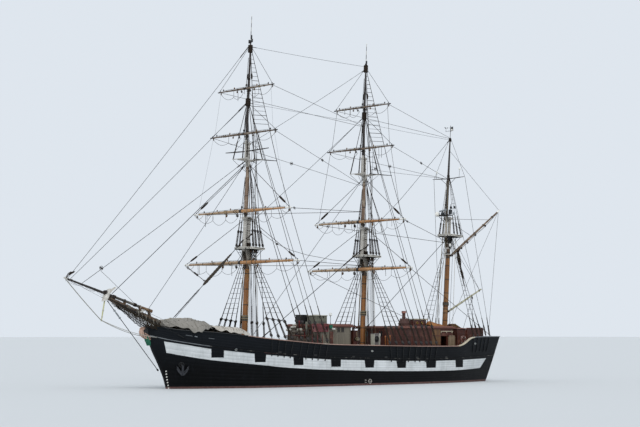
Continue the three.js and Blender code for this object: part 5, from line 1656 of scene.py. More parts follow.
# columns of feet: s at the rail of the lower shrouds, the topmast backstays, the topgallant backstays, the royal backstay
FEET = {"fore": ([7.75, 8.45, 9.15, 9.85], [10.75, 11.45], [12.1, 12.75], 13.5),
        "main": ([20.7, 21.5, 22.3, 23.1], [23.9, 24.55], [25.2, 25.8], 26.5)}


def make_rig(name):
    M, r = MM[name], RIG[name]
    H = lambda z: hz(name, z)
    top, trees, cap = H(r["top"]), H(r["trees"]), H(r["lowerCap"])
    low_s, tm_s, tg_s, roy_s = FEET[name]
    zr = railZ(low_s[0])
    W = lambda x, y, h: M @ L(x, y, h)
    hs = H(19.35 if name == "fore" else 19.0)
    for side, tag in ((1, "port"), (-1, "starboard")):
        B = Build()
        # lower shrouds
        lines = []
        for i, s in enumerate(low_s):
            f = rail_foot(s, side)
            hd = W(0.04 - 0.05 * i, side * 0.14, top + 0.22)
            shroud(B, f, hd, 0.026, chain=(s, side))
            lines.append((f, hd))
        ratlines(B, lines, zr + 2.15, r["top"] - 0.75, 0.42)
        a, b = (p.lerp(q, (1.75 * K) / (q - p).length) for p, q in (lines[0], lines[-1]))
        B.rod(a + (a - b) * 0.06, b + (b - a) * 0.06, 0.035 * K, "dark_x", 6)
        # eyes of the shrouds round the masthead
        for i in range(4):
            B.torus(W(0.0, 0, top + 0.20 + 0.07 * i), M.to_3x3() @ Vector((0.15 * side, 0.1, 1)), 0.215 * K, 0.034 * K, "tarred", 18, 5)
        # futtock shrouds and topmast shrouds
        lines = []
        for i, x in enumerate((-0.70, -0.34, 0.02, 0.36)):
            B.rod(W(x, side * 1.10, top - 0.06), W(x * 0.25, side * 0.20, top - 1.25), 0.020 * K, "iron", 5)
            f, hd = W(x, side * 1.08, top + 0.10), W(T1 - 0.03 * i, side * 0.12, trees - 0.12)
            shroud(B, f, hd, 0.020, gap=1.15, low=0.16, dr=0.11, tail=0.8)
            lines.append((f, hd))
        B.torus(W(0, 0, top - 1.25), M.to_3x3() @ Vector((0, 0, 1)), 0.215 * K, 0.03 * K, "iron", 18, 5)
        ratlines(B, lines, r["top"] + 1.75, r["trees"] - 0.6, 0.40, 0.012)
        fut = [(W(x * 0.25, side * 0.20, top - 1.25), W(x, side * 1.10, top - 0.06)) for x in (-0.70, 0.36)]
        ratlines(B, fut, r["top"] - 0.95, r["top"] - 0.30, 0.32, 0.012)
        # crosstree futtocks and topgallant shrouds
        lines = []
        for x, y in ((T1 - 0.64, 1.08), (T1 - 0.05, 0.80), (T2 + 0.60, 0.88)):
            B.rod(W(x, side * y, trees - 0.02), W(T1, side * 0.14, trees - 1.0), 0.016 * K, "iron", 5)
            f, hd = W(x, side * y, trees + 0.07), W(T2, side * 0.07, H(23.45))
            B.tube([f, hd], 0.026 * K, "tarred", 5)
            B.rod(f, f.lerp(hd, 0.30), 0.045 * K, "tarred", 6)
            for q in (0.05, 0.14, 0.24):
                B.torus(f.lerp(hd, q), hd - f, 0.05 * K, 0.016 * K, "grey_rope", 8, 4)
            lines.append((f, hd))
        if side > 0:
            ratlines(B, lines[:2], r["trees"] + 0.7, 21.0, 0.42, 0.011)
        # backstays
        for i, s in enumerate(tm_s):
            shroud(B, rail_foot(s, side), W(T1 - 0.04, side * 0.12, trees - 0.05 - 0.1 * i), 0.024, chain=(s, side))
        spread = W(T1 - 2.0, side * 1.30, trees + 0.10)
        for i, s in enumerate(tg_s):
            shroud(B, rail_foot(s, side), W(T2, side * 0.07, H(23.4) - 0.1 * i), 0.021, chain=(s, side))
        f = rail_foot(roy_s, side)
        shroud(B, f, spread, 0.022, chain=(roy_s, side))
        royal = (spread, W(T2 - 0.02, side * 0.07, H(r["truck"]) - 0.5))
        B.tube([royal[0], royal[1]], 0.024 * K, "tarred", 5)
        # steps between the royal backstay and the royal shroud
        inner = (W(T1 - 0.05, side * 0.72, trees + 0.05), W(T2, side * 0.06, H(r["truck"]) - 0.55))
        B.tube(list(inner), 0.015 * K, "tarred", 5)
        dz = 0.0 if name == "fore" else -0.45
        for k in range(17):
            z, rr = 27.35 - 0.36 * k, (0.020, 0.015, 0.024, 0.014)[k % 4]
            pts = []
            for a, b in (royal, inner):
                t = ((z + dz) * K - a.z) / (b.z - a.z)
                pts.append(a.lerp(b, t))
            if side > 0:
                B.rod(pts[0], pts[1], rr * K, "tarred", 5)
        t = ((25.8 + dz) * K - inner[0].z) / (inner[1].z - inner[0].z)
        q = inner[0].lerp(inner[1], t)
        serving(B, q, q + (inner[0] - inner[1]).normalized() * 0.50 * K, 0.075 * K, "tarred", 5)
        B.done(f"{name}_shrouds_{tag}")
        # running ropes down the mast to the rails, with their blocks
        B = Build()
        deck = deckZ(MAST[name][0]) + 1.15
        for i, (x0, y0, h0, x1, y1) in enumerate(((0.02, 0.40, top - 0.12, 0.05, 0.52), (-0.06, 0.50, top - 0.12, -0.10, 0.70), (-0.20, 0.60, top - 0.15, -0.30, 0.90), (-0.35, 0.60, top - 0.12, -0.45, 1.10),
                                                  (-0.60, 0.40, top - 0.12, -0.80, 0.90), (-0.12, 0.34, trees - 0.2, -0.14, 0.45), (-0.10, 0.42, trees - 0.4, -0.55, 0.80), (-0.25, 0.30, H(20.2), -0.35, 0.62))):
            a = W(x0, side * y0, h0)
            s, z = MAST[name][0] - x1, deck
            b = V(s, side * y1, z)
            B.tube(sagging(a, b, 0.0, 2), (0.015 if i % 3 else 0.020) * K, ("manila", "tarred", "grey_rope", "tarred")[i % 4], 5)
            if h0 < top:
                block(B, a + Vector((0, 0, 0.03 * K)), 0.10 * K, b - a, ("block", "deadeye")[i % 2])
        B.done(f"{name}_running_ropes_{tag}")


for n in ("fore", "main"):
    make_rig(n)


# ================================================================ stays
def pale_rope(name, hexes):
    return rope(name, hexes)


G["stay"] = rope("stay_wire", (0x17181A, 0x2C2E30))
G["stay_pale"] = rope("pale_stay", (0x77787A, 0x96979A))


def P(s, z, b=0.0):
    return V(s, b, z)


def ladder_chafe(B, a, b, r, n):
    """Fluffy chafing gear: rough discs along a line."""
    for i in range(n):
        c = a.lerp(b, i / (n - 1))
        B.ball(c, r * (0.8 + 0.35 * rnd.random()), "tarred", 4, squash=(1, 1, 0.8))


def make_stays():
    for n in ("fore_stay", "fore_topmast_stay", "main_stay", "main_topmast_stay", "mizzen_stay", "bobstay"):
        ob = frame["nodes"][n]
        ob.data.materials.clear()
        ob.data.materials.append(G["stay_pale"] if n == "main_topmast_stay" else G["stay"])
    B = Build()
    # forestay: legs round the masthead, thick served stretch, doubled lower part
    up = P(7.66, 11.91)
    for side in (1, -1):
        B.tube([up, P(7.95, 12.12, side * 0.16), P(8.35, 12.38, side * 0.25), P(8.60, 12.50, side * 0.12), P(8.64, 12.52, 0)], 0.040 * K, "tarred", 6)
        B.tube([P(3.3, 7.94, side * 0.02), P(3.05, 7.70, side * 0.10), P(0.30, 5.21, side * 0.13)], 0.020 * K, "stay_pale", 5)
        for q in (0.1, 0.45, 0.8):
            B.torus(P(3.05, 7.72, side * 0.10).lerp(P(0.8, 5.70, side * 0.13), q), P(0, 1) - P(0.9, 0.18), 0.03 * K, 0.012 * K, "grey_rope", 8, 4)
    B.rod(up, P(7.2, 11.42), 0.05 * K, "tarred", 6)
    G["serve_brown"] = rope("served_brown", (0x2E2822, 0x4E463C))
    serving(B, P(6.55, 10.84), P(4.75, 9.23), 0.080 * K, "serve_brown", 14)
    serving(B, P(5.95, 10.30), P(3.62, 8.22), 0.125 * K, "serve_brown", 16)
    # main stay: legs round the masthead, served stretch, and lashing low down
    up = P(20.93, 11.47)
    for side in (1, -1):
        B.tube([up, P(21.25, 11.72, side * 0.17), P(21.66, 11.95, side * 0.25), P(21.92, 12.08, side * 0.10), P(21.95, 12.10, 0)], 0.045 * K, "tarred", 6)
    serving(B, P(20.90, 11.45), P(18.9, 10.11), 0.055 * K, "tarred", 12)
    q = P(9.9, 4.05)
    for k in (-1, 0, 1):
        B.rod(P(9.5, 3.79, 0.06 * k), P(10.6, 4.52, 0.06 * k), 0.022 * K, "tarred", 4)
    # columns: name, points [s, z(, b)], radius, key
    rows = [("royal_stay", [(8.25, 28.0), (-9.38, 8.47)], 0.017, "stay"),
            ("topgallant_stay", [(8.05, 23.3), (-9.15, 8.42)], 0.018, "stay"),
            ("jib_stay", [(7.90, 18.45), (-8.07, 8.13)], 0.020, "stay"),
            ("inner_topmast_stay", [(7.90, 18.22), (-2.15, 5.86)], 0.018, "stay"),
            ("main_topgallant_stay", [(21.50, 23.3), (10.43, 14.83), (8.85, 13.66)], 0.018, "stay"),
            ("main_royal_stay", [(21.75, 27.55), (11.40, 21.59), (8.35, 19.9)], 0.016, "stay"),
            ("mizzen_topmast_stay", [(32.39, 22.1), (25.92, 16.21), (22.4, 13.45)], 0.018, "stay"),
            ("triatic_stay", [(8.50, 28.05), (21.60, 27.75)], 0.013, "stay"),
            ("aerial", [(8.12, 23.35), (21.25, 22.75), (32.29, 22.1)], 0.011, "stay"),
            ("signal_line", [(22.05, 18.66, 0.4), (30.77, 18.46, 0.3), (32.17, 18.4, 0.1)], 0.013, "tarred")]
    for name, pts, r, key in rows:
        pp = [P(*p) for p in pts]
        full = []
        for a, b in zip(pp, pp[1:]):
            sag = (b - a).length * 0.004
            full += sagging(a, b, sag, 10)[:-1]
        full.append(pp[-1])
        B.tube(full, r * K, key, 5)
        B.rod(full[0], full[0].lerp(full[1], 0.5), r * 2.1 * K, "tarred", 6)
    # blocks on the stays
    block(B, P(-6.5, 9.40), 0.13 * K, P(1, 0) - P(0, 0.4), "deadeye")
    B.tube([P(-6.35, 9.1), P(-5.6, 8.55), P(-4.9, 8.0), P(-4.3, 7.55), P(-3.5, 6.93), P(-2.78, 6.32)], 0.014 * K, "tarred", 5)
    block(B, P(22.6, 18.75, 0.5), 0.12 * K, P(-1, 0) - P(0, 0), "deadeye")
    # slack line with a knot from the fore top to the main mast
    pts = [P(8.8, 12.55, 1.15), P(9.7, 12.1, 1.07), P(10.56, 11.71, 1.0), P(12.3, 11.25, 0.8), P(14.25, 10.93, 0.6), P(17.5, 10.6, 0.4), P(21.2, 10.5, 0.25)]
    B.tube(pts, 0.018 * K, "tarred", 5)
    B.ball(pts[2], 0.11 * K, "tarred", 5, squash=(1.3, 0.8, 0.8))
    B.tube([pts[0], P(8.3, 12.9, 0.5)], 0.018 * K, "tarred", 5)
    B.done("stays")


make_stays()


# ================================================================ mizzen rigging
def make_mizzen_rig():
    M = MM["mizzen"]
    H = lambda z: hz("mizzen", z)
    W = lambda x, y, h: M @ L(x, y, h)
    top, hs = H(13.25), H(18.5)
    for side, tag in ((1, "port"), (-1, "starboard")):
        B = Build()
        lines = []
        for i, s in enumerate((31.7, 32.35, 33.0)):
            f = rail_foot(s, side, 0.06)
            hd = W(-0.05 * i, side * 0.13, top + 0.15)
            shroud(B, f, hd, 0.020, gap=0.95, low=0.16, dr=0.085, tail=0.8, chain=(s, side))
            lines.append((f, hd))
        ratlines(B, lines, 6.1, 12.5, 0.42, 0.012)
        lines = []
        for i, x in enumerate((-0.62, -0.15, 0.30)):
            B.rod(W(x, side * 0.96, top - 0.05), W(x * 0.25, side * 0.17, top - 1.05), 0.018 * K, "iron", 5)
            f, hd = W(x, side * 0.94, top + 0.08), W(0.44, side * 0.09, H(18.75))
            shroud(B, f, hd, 0.016, gap=0.9, low=0.14, dr=0.09, tail=0.6)
            lines.append((f, hd))
        ratlines(B, lines, 14.9, 17.9, 0.42, 0.011)
        for s, hd in ((33.6, W(0.40, side * 0.08, H(18.7))), (34.2, W(0.3, side * 1.95, hs))):
            shroud(B, rail_foot(s, side, 0.06), hd, 0.016, gap=0.8, low=0.16, dr=0.075, tail=0.6, chain=(s, side))
        B.tube([W(0.3, side * 1.95, hs), W(0.43, side * 0.06, H(22.2))], 0.014 * K, "tarred", 5)
        deck = 4.2
        for i, (x0, y0, h0, x1, y1) in enumerate(((0.55, 0.2, top - 0.1, 0.7, 0.5), (-0.25, 0.62, top - 0.1, -0.15, 0.95), (0.10, 0.66, top - 0.1, 0.15, 0.80), (0.55, 0.12, H(18.3), 0.6, 0.4))):
            B.tube([W(x0, side * y0, h0), V(31.46 - x1, side * y1, deck)], 0.015 * K, ("tarred", "manila")[i % 2], 5)
        B.done(f"mizzen_shrouds_{tag}")
    # gaff: the bundle and its own fittings ride it; its span, peak and throat gear are fixed lines made below
    jaw = W(-0.345, 0, H(11.45))
    peak = P(39.18, 15.96)
    d = (peak - jaw).normalized()
    B = Build()
    Lg = (peak - jaw).length
    u = d.cross(Vector((0, 1, 0))).normalized()
    rows = [[0, 0.10], [0.05, 0.105], [0.35, 0.11], [1, 0.06]]
    G["gaff_brown"] = wood("gaff_brown", (0x3E2E20, 0x6E5844, 0x978470), 0, 0.55, worn=0x9A9084)
    B.lathe(jaw, peak, [[f, interp_rows(rows, f) * K] for f in sorted({0, 0.35, 1, *[i / 14 for i in range(15)]})], "gaff_brown", 16)
    B.lathe(peak - d * 0.45 * K, peak + d * 0.005 * K, [[0, 0.066 * K], [0.05, 0.072 * K], [0.95, 0.068 * K], [1, 0.05 * K]], "white_bright", 14)
    for t in (0.12, 0.3, 0.48, 0.66, 0.84):
        c = jaw + d * Lg * t
        B.lathe(c - d * 0.035 * K, c + d * 0.035 * K, [[0, 0.10 * K], [0.1, 0.122 * K], [0.9, 0.122 * K], [1, 0.10 * K]], "mast_iron", 16, caps=False)
    Rm = M.to_3x3()
    h = H(11.45)
    ri, ro = 0.285, 0.35
    for i in range(12):
        t0, t1 = math.pi - 1.45 + 2.9 * i / 12, math.pi - 1.45 + 2.9 * (i + 1) / 12
        q = [W(ri * math.cos(t0), ri * math.sin(t0), h - 0.07), W(ro * math.cos(t0), ro * math.sin(t0), h - 0.07), W(ro * math.cos(t1), ro * math.sin(t1), h - 0.07), W(ri * math.cos(t1), ri * math.sin(t1), h - 0.07)]
        B.prism(q, Rm @ Vector((0, 0, 0.16 * K)), "dark_x", False)
    for q in (1, -1):
        B.box(W(-0.27, q * 0.235, h + 0.01), (0.30 * K, 0.06 * K, 0.14 * K), "dark_x", R=Rm)
    # the thick dark bundle of brailed lines hanging under the gaff
    pts = [jaw + d * 1.75 * K - u * 0.0, P(33.36, 11.78, 0.05), P(33.45, 11.35, 0.06), P(33.58, 10.85, 0.06), P(33.68, 10.50, 0.05), P(33.80, 10.18, 0.04), P(33.92, 9.86, 0.02), P(34.10, 9.36, 0.0)]
    B.tube(pts, [0.05 * K, 0.10 * K, 0.165 * K, 0.15 * K, 0.07 * K, 0.08 * K, 0.125 * K, 0.07 * K], "tarred", 9)
    for c, r in ((pts[2], 0.17), (pts[3], 0.155), (pts[6], 0.13)):
        B.torus(c, pts[7] - pts[1], r * K, 0.022 * K, "grey_rope", 12, 5)
    for k in (-0.07, 0.06):
        B.tube([pts[7] + Vector((k * K, 0, 0)), P(34.2 + k, 8.7, k)], 0.02 * K, "tarred", 5)
    for t in (0.22, 0.34, 0.5, 0.7):
        c = jaw + d * Lg * t
        block(B, c - Vector((0, 0, 0.10 * K)), 0.085 * K, (0, 0, -1), "deadeye")
    # lines brailed along the gaff's underside
    B.tube([jaw + d * 0.5 * K - Vector((0, 0, 0.14 * K))] + [jaw + d * Lg * t - Vector((0, 0, (0.20 + 0.08 * (i % 2)) * K)) for i, t in enumerate((0.2, 0.35, 0.5, 0.65, 0.8))] + [peak - d * 0.3 * K - Vector((0, 0, 0.08 * K))], 0.022 * K, "tarred", 5)
    B.done("spanker_gaff_spar", body="gaff", replaces=("spanker_gaff",))
    # boom
    jb, eb = W(-0.345, 0, H(6.35)), P(36.55, 8.45)
    db = (eb - jb).normalized()
    Lb = (eb - jb).length
    B = Build()
    rows = [[0, 0.08], [0.35, 0.09], [1, 0.06]]
    G["boom_pale"] = wood("boom_pale_wood", (0x8A8468, 0xAAA68C, 0xC4C2AA), 0, 0.55)
    B.lathe(jb, eb, [[f, interp_rows(rows, f) * K] for f in sorted({0, 0.35, 1, *[i / 12 for i in range(13)]})], "boom_pale", 16)
    for t in (0.1, 0.4, 0.7, 0.93):
        c = jb + db * Lb * t
        B.lathe(c - db * 0.03 * K, c + db * 0.03 * K, [[0, 0.08 * K], [0.1, 0.103 * K], [0.9, 0.103 * K], [1, 0.08 * K]], "mast_iron", 16, caps=False)
    h = H(6.35)
    for i in range(12):
        t0, t1 = math.pi - 1.45 + 2.9 * i / 12, math.pi - 1.45 + 2.9 * (i + 1) / 12
        q = [W(ri * math.cos(t0), ri * math.sin(t0), h - 0.07), W(ro * math.cos(t0), ro * math.sin(t0), h - 0.07), W(ro * math.cos(t1), ro * math.sin(t1), h - 0.07), W(ri * math.cos(t1), ri * math.sin(t1), h - 0.07)]
        B.prism(q, Rm @ Vector((0, 0, 0.16 * K)), "iron", False)
    block(B, jb + db * Lb * 0.72 - Vector((0, 0, 0.08 * K)), 0.09 * K, (0, 0, -1), "deadeye")
    B.done("spanker_boom_spar", body="boom", replaces=("spanker_boom",))
    # fixed lines from the gaff and boom: columns: name, body, from, to, radius
    rows = [("gaff_peak_halyard_outer", "gaff", jaw + d * Lg * 0.78 + u * 0.0, W(-0.12, 0, H(14.8)), 0.016),
            ("gaff_peak_halyard_inner", "gaff", jaw + d * Lg * 0.42, W(-0.12, 0, H(14.5)), 0.016),
            ("gaff_throat", "gaff", jaw + d * 0.25 * K + Vector((0, 0, 0.08 * K)), W(-0.30, 0, H(13.0)), 0.024),
            ("gaff_peak_line", "gaff", peak - d * 0.1 * K, W(0.35, 0, H(21.0)), 0.014),
            ("gaff_vang_port", "gaff", peak - d * 0.2 * K, V(34.5, 2.7, 4.2), 0.014),
            ("gaff_vang_starboard", "gaff", peak - d * 0.2 * K, V(34.5, -2.7, 4.2), 0.014),
            ("boom_topping_lift_port", "boom", eb - db * 0.25 * K, W(-0.3, 0.35, H(13.1)), 0.015),
            ("boom_topping_lift_starboard", "boom", eb - db * 0.25 * K, W(-0.3, -0.35, H(13.1)), 0.015),
            ("boom_sheet_port", "boom", jb + db * Lb * 0.72 - Vector((0, 0, 0.3 * K)), V(34.4, 0.9, 3.35), 0.018),
            ("boom_sheet_starboard", "boom", jb + db * Lb * 0.72 - Vector((0, 0, 0.3 * K)), V(34.4, -0.9, 3.35), 0.018)]
    for name, body, a, b, r in rows:
        blended_line(name, [a, b], r, "tarred", None, 12)


make_mizzen_rig()


# ================================================================ bowsprit and head
G["sprit_brown"] = wood("bowsprit_brown", (0x2A2016, 0x4C3A28, 0x6A543A), 0, 0.55, worn=0x7A6A52)
G["jib_dark"] = wood("jib_boom_dark", (0x141110, 0x2B2420, 0x544A40), 0, 0.5)
G["sprit_tan"] = wood("jib_heel_varnish", (0x3A2A1A, 0x6A4C30, 0x8A6848), 0, 0.5, worn=0x9A8464)
G["jib_grey"] = wood("jib_boom_grey", (0x2E2A26, 0x54504A, 0x7A766E), 0, 0.6)
G["striker"] = painted("pale_striker_paint", (0xC6C49E, 0xA8A878), 0.55, 24, 0.5, chips=0x6A6440)
G["cloth_white"] = painted("white_cloth", (0xD2D0CA, 0xB8B4AC), 0.9, 26, 0.25, bump=0.4, spec=0.1)
G["anchor_iron"] = metal("anchor_iron", (0x24262A, 0x3A3C42), 0.6, rust=0.2, metal_=0.25)


def cloth_material(name, hexes, weave=520.0):
    """Canvas: plain weave in fine bump, large soft patches of tone as painted light and shade of folds, stains."""
    m = Mat(name, rough=0.92, spec=0.12)
    x, y, z = m.xyz()
    wx = m.math("SINE", m.math("MULTIPLY", x, weave * 6.0))
    wy = m.math("SINE", m.math("MULTIPLY", y, weave * 6.0))
    w = m.math("MULTIPLY", wx, wy)
    big = m.noise(9, 5, 0.6)
    stain = m.noise(26, 6, 0.7)
    # large patches of tone: painted light and shade standing for soft folds
    col = m.mix(m.range(big, 0.3, 0.7), rgb(hexes[0]), rgb(hexes[1]))
    col = m.mix(m.range(stain, 0.55, 0.75, 0.0, 0.5), col, rgb(hexes[2]))
    m.color(col)
    m.b.inputs["Sheen Weight"].default_value = 0.2
    m.bump(m.math("ADD", m.math("MULTIPLY", w, 0.3), m.math("MULTIPLY", m.noise(70, 4, 0.6), 1.0)), 0.35, 0.001)
    return m.m


G["canvas_grey"] = cloth_material("canvas_grey", (0x7F7C75, 0x96918A, 0x645F58))
G["canvas_pale"] = cloth_material("canvas_pale", (0xC2BCB3, 0xADA79E, 0x8A857C))


def bands(B, a, b, rows, fr, key, proud=0.014, wide=0.035, sides=20):
    """Hoops at the fractions fr of a spar from a to b."""
    a, b = Vector(a), Vector(b)
    d = (b - a).normalized()
    for f in fr:
        c = a.lerp(b, f)
        r = interp_rows(rows, f)
        B.lathe(c - d * wide * K, c + d * wide * K, [[0, r * K], [0.12, (r + proud) * K], [0.88, (r + proud) * K], [1, r * K]], key, sides, caps=False)


def make_bowsprit():
    a, b = V(0, 0, 4.78), V(-5.95, 0, 7.17)
    d = (b - a).normalized()
    rows = [[0, 0.24], [0.3, 0.25], [0.8, 0.18], [1, 0.13]]
    B = Build()
    B.lathe(a, b, [[f, interp_rows(rows, f) * K] for f in sorted({0, 0.3, 0.8, 1, *[i / 16 for i in range(17)]})], "sprit_brown", 28)
    bands(B, a, b, rows, (0.22, 0.34, 0.46, 0.58, 0.70, 0.80, 0.93), "mast_iron", 0.016, 0.04, 28)
    # cap: block with rounded edges and iron strap
    Rc = Matrix.Rotation(0.36, 3, "Y")
    B.box(V(-5.83, 0, 7.29), (0.16 * K, 0.36 * K, 0.72 * K), "jib_dark", R=Rc, bev=0.18)
    for dz in (-0.27, 0.27):
        B.box(V(-5.83, 0, 7.29) + Rc @ Vector((0, 0, dz * K)), (0.18 * K, 0.38 * K, 0.06 * K), "mast_iron", R=Rc)
    # rope lashings, gammoning and fairlead blocks
    for f in (0.18, 0.50, 0.64):
        c = a.lerp(b, f)
        r = interp_rows(rows, f)
        for i in range(6):
            B.torus(c + d * (0.055 * (i - 2.5)) * K, d, (r + 0.018) * K, 0.028 * K, ("tarred", "grey_rope")[i % 2], 22, 6)
    for f, y in ((0.72, 0.24), (0.72, -0.24), (0.55, 0.27), (0.55, -0.27)):
        block(B, a.lerp(b, f) + Vector((0, y * K, 0.05 * K)), 0.085 * K, (0.2, 0, -1), "deadeye")
    B.done("bowsprit_spar", replaces=("bowsprit",))
    # jib-boom
    a2, b2 = V(-1.50, 0, 6.06), V(-9.69, 0, 8.53)
    d2 = (b2 - a2).normalized()
    rows2 = [[0, 0.13], [0.15, 0.10], [0.6, 0.10], [1, 0.06]]
    B = Build()
    n = 20
    cuts = [0.0, 0.012, 0.04, 0.08, 0.12, 0.155] + [0.155 + i / (n - 6) * 0.813 for i in range(1, n - 5)] + [1.0]
    keys = ["sprit_tan"] * 5 + ["jib_grey"] * 5 + ["jib_dark"] * (len(cuts) - 12) + ["white_worn"]
    B.lathe(a2, b2, [[f, interp_rows(rows2, f) * K] for f in cuts], keys, 22)
    bands(B, a2, b2, rows2, (0.04, 0.155, 0.33, 0.47, 0.66, 0.88, 0.955), "mast_iron", 0.012, 0.03, 22)
    for f in (0.20, 0.44):
        c = a2.lerp(b2, f)
        for i in range(5):
            B.torus(c + d2 * (0.05 * (i - 2)) * K, d2, 0.125 * K, 0.022 * K, "tarred", 18, 5)
    for y in (1, -1):
        B.box(a2.lerp(b2, 0.93) + Vector((0, y * 0.085 * K, 0)), (0.24 * K, 0.05 * K, 0.10 * K), "mast_iron", R=Matrix.Rotation(0.27, 3, "Y"))
    B.done("jib_boom_spar", replaces=("jib_boom",))
    # saddles that hold the boom's inner end above the bowsprit, one with a white painted strap
    B = Build()
    for s_, key in ((-1.75, "sprit_brown"), (-2.62, "white_worn"), (-4.1, "mast_iron")):
        zl = 4.78 - s_ * 0.4017 + 0.22
        zh = 6.06 + (-1.50 - s_) * 0.3016 - 0.09
        B.box(V(s_, 0, (zl + zh) / 2), (0.16 * K, 0.20 * K, max(0.08, zh - zl + 0.06) * K), "sprit_brown", R=Matrix.Rotation(0.34, 3, "Y"))
        B.torus(V(s_, 0, zh + 0.09), d2, 0.125 * K, 0.028 * K, key, 18, 6)
    B.box(V(-2.55, 0.17, 6.06), (0.46 * K, 0.10 * K, 0.12 * K), "white_worn", R=Matrix.Rotation(0.40, 3, "Y"))
    B.box(V(-2.72, 0.19, 5.78), (0.14 * K, 0.08 * K, 0.14 * K), "carved", R=Matrix.Rotation(0.40, 3, "Y"))
    B.done("jib_boom_saddles")
    # dolphin striker
    a3, b3 = V(-5.96, 0, 6.93), V(-6.27, 0, 5.27)
    rows3 = [[0, 0.05], [0.5, 0.06], [1, 0.04]]
    B = Build()
    B.lathe(a3, b3, [[f, interp_rows(rows3, f) * K] for f in (0, 0.1, 0.25, 0.5, 0.75, 0.9, 1)], "striker", 16)
    bands(B, a3, b3, rows3, (0.05, 0.5, 0.8, 0.95), "white_worn", 0.016, 0.03, 16)
    B.done("dolphin_striker_spar", replaces=("dolphin_striker",))
    # martingale stays, backstays, bowsprit shrouds, guys, footropes, netting
    G["pale_wire"] = rope("pale_wire", (0x9A9890, 0xB6B4AA))
    B = Build()
    tip = V(-9.55, 0, 8.45)
    for q in (0.03, -0.03):
        B.tube(sagging(tip + Vector((0, q * K, -0.03 * K)), b3 + Vector((0.0, q * K, 0.06 * K)), 0.06 * K, 8), 0.020 * K, "pale_wire", 6)
    for s in (1, -1):
        hp = hull_point(-1.30, 4.02, s, 0.02)[0]
        B.tube(sagging(b3 + Vector((0, s * 0.03 * K, 0.08 * K)), hp, 0.20 * K, 10), 0.024 * K, "pale_wire", 6)
        B.ball(hp, 0.06 * K, "iron", 5)
        # bowsprit shroud
        hp = hull_point(0.55, 3.95, s, 0.02)[0]
        c = V(-5.55, s * 0.17, 6.95)
        B.tube([c, hp], 0.024 * K, "stay", 6)
        B.lathe(c.lerp(hp, 0.90), c.lerp(hp, 0.985), [[0, 0.03 * K], [0.2, 0.045 * K], [0.5, 0.03 * K], [0.8, 0.045 * K], [1, 0.03 * K]], "iron", 8)
        # jib-boom guy by way of the cap's side arm
        arm = V(-5.6, s * 0.95, 7.12)
        B.lathe(V(-5.75, s * 0.15, 7.1), arm, [[0, 0.03 * K], [0.5, 0.036 * K], [1, 0.022 * K]], "mast_iron", 8)
        hp = hull_point(1.15, 4.25, s, 0.02)[0]
        B.tube([tip, arm, hp], 0.009 * K, "stay", 5)
        # footropes under the jib-boom
        pts = []
        for i in range(4):
            p, q = a2.lerp(b2, 0.46 + 0.17 * i), a2.lerp(b2, 0.46 + 0.17 * (i + 1) if i < 3 else 0.97)
            seg = sagging(p + Vector((0, s * 0.16 * K, -0.05 * K)), q + Vector((0, s * 0.16 * K, -0.05 * K)), 0.16 * K, 6)
            pts += seg if i == 3 else seg[:-1]
        B.tube(pts, 0.008 * K, "tarred", 4)
    for q in (0.18, -0.18):                      # two stay ends at the very tip
        B.tube([V(-9.52, q * 0.4, 8.50), V(-9.25, q * 0.5, 8.86), V(-9.02, q * 0.5, 8.98)], 0.030 * K, "tarred", 6)
    B.lathe(V(-9.30, 0, 8.72), V(-8.72, 0, 9.02), [[0, 0.02 * K], [0.2, 0.06 * K], [0.8, 0.06 * K], [1, 0.02 * K]], "tarred", 8)
    # bobstay's rigging screw and its shackles
    p0, p1 = V(-5.74, 0, 6.84), V(-0.82, 0, 1.42)
    for f0, f1, r, key in ((0.15, 0.23, 0.060, "galv"), (0.13, 0.15, 0.085, "galv"), (0.23, 0.25, 0.085, "galv"), (0.97, 1.0, 0.07, "iron")):
        B.lathe(p0.lerp(p1, f0), p0.lerp(p1, f1), [[0, r * 0.5 * K], [0.2, r * K], [0.8, r * K], [1, r * 0.5 * K]], key, 12)
    B.done("head_rigging")
    # old net slung from the bowsprit to the shrouds below it, sagging and bunched near the stem
    G["net"] = rope("net_brown", (0x2A241C, 0x463C30))
    B = Build()
    for s in (1, -1):
        def top_(f):
            q = lerp(-0.35, -5.2, f)
            return V(q, s * 0.20, 4.78 - q * 0.4017 - 0.04)

        def low_(f):
            q = lerp(-0.75, -5.0, f)
            return V(q, s * lerp(0.62, 0.22, f), 4.78 - q * 0.4017 - lerp(0.62, 0.30, f) - 0.30 * math.sin(math.pi * min(1.0, f * 1.25)) ** 1.5)
        rows = []
        nu, nv = 46, 8
        for i in range(nu + 1):
            f = i / nu
            row = []
            for j in range(nv + 1):
                t_ = j / nv
                p = top_(f).lerp(low_(f), t_)
                p += Vector((0.03 * math.sin(i * 1.7 + j), s * 0.10 * math.sin(math.pi * t_) + 0.02 * math.sin(i * 2.3 + j * 1.3), -0.02 * math.cos(i * 1.1))) * K
                row.append(p)
            rows.append(row)
        for i in range(nu + 1):                     # meshes run aslant
            for k in (1, -1):
                pts = [rows[i + k * j][j] for j in range(nv + 1) if 0 <= i + k * j <= nu]
                if len(pts) > 1:
                    B.tube(pts, 0.013 * K, "net", 3, caps=False)
        B.tube([r[-1] for r in rows], 0.022 * K, "tarred", 5)
        B.tube([r[0] for r in rows], 0.018 * K, "tarred", 5)
    for i in range(12):                            # bights of line stowed along the bowsprit by the stem
        q = -0.55 - 0.24 * i
        z = 4.78 - q * 0.4017
        w = rnd.random()
        B.tube([V(q, 0.22, z + 0.06), V(q - 0.05, 0.36, z - 0.16 - 0.10 * w), V(q - 0.16, 0.33, z - 0.30 - 0.22 * w), V(q - 0.30, 0.30, z - 0.16), V(q - 0.34, 0.21, z + 0.10)],
               0.045 * K, ("net", "grey_rope", "tarred")[i % 3], 6)
    B.done("head_netting")


make_bowsprit()


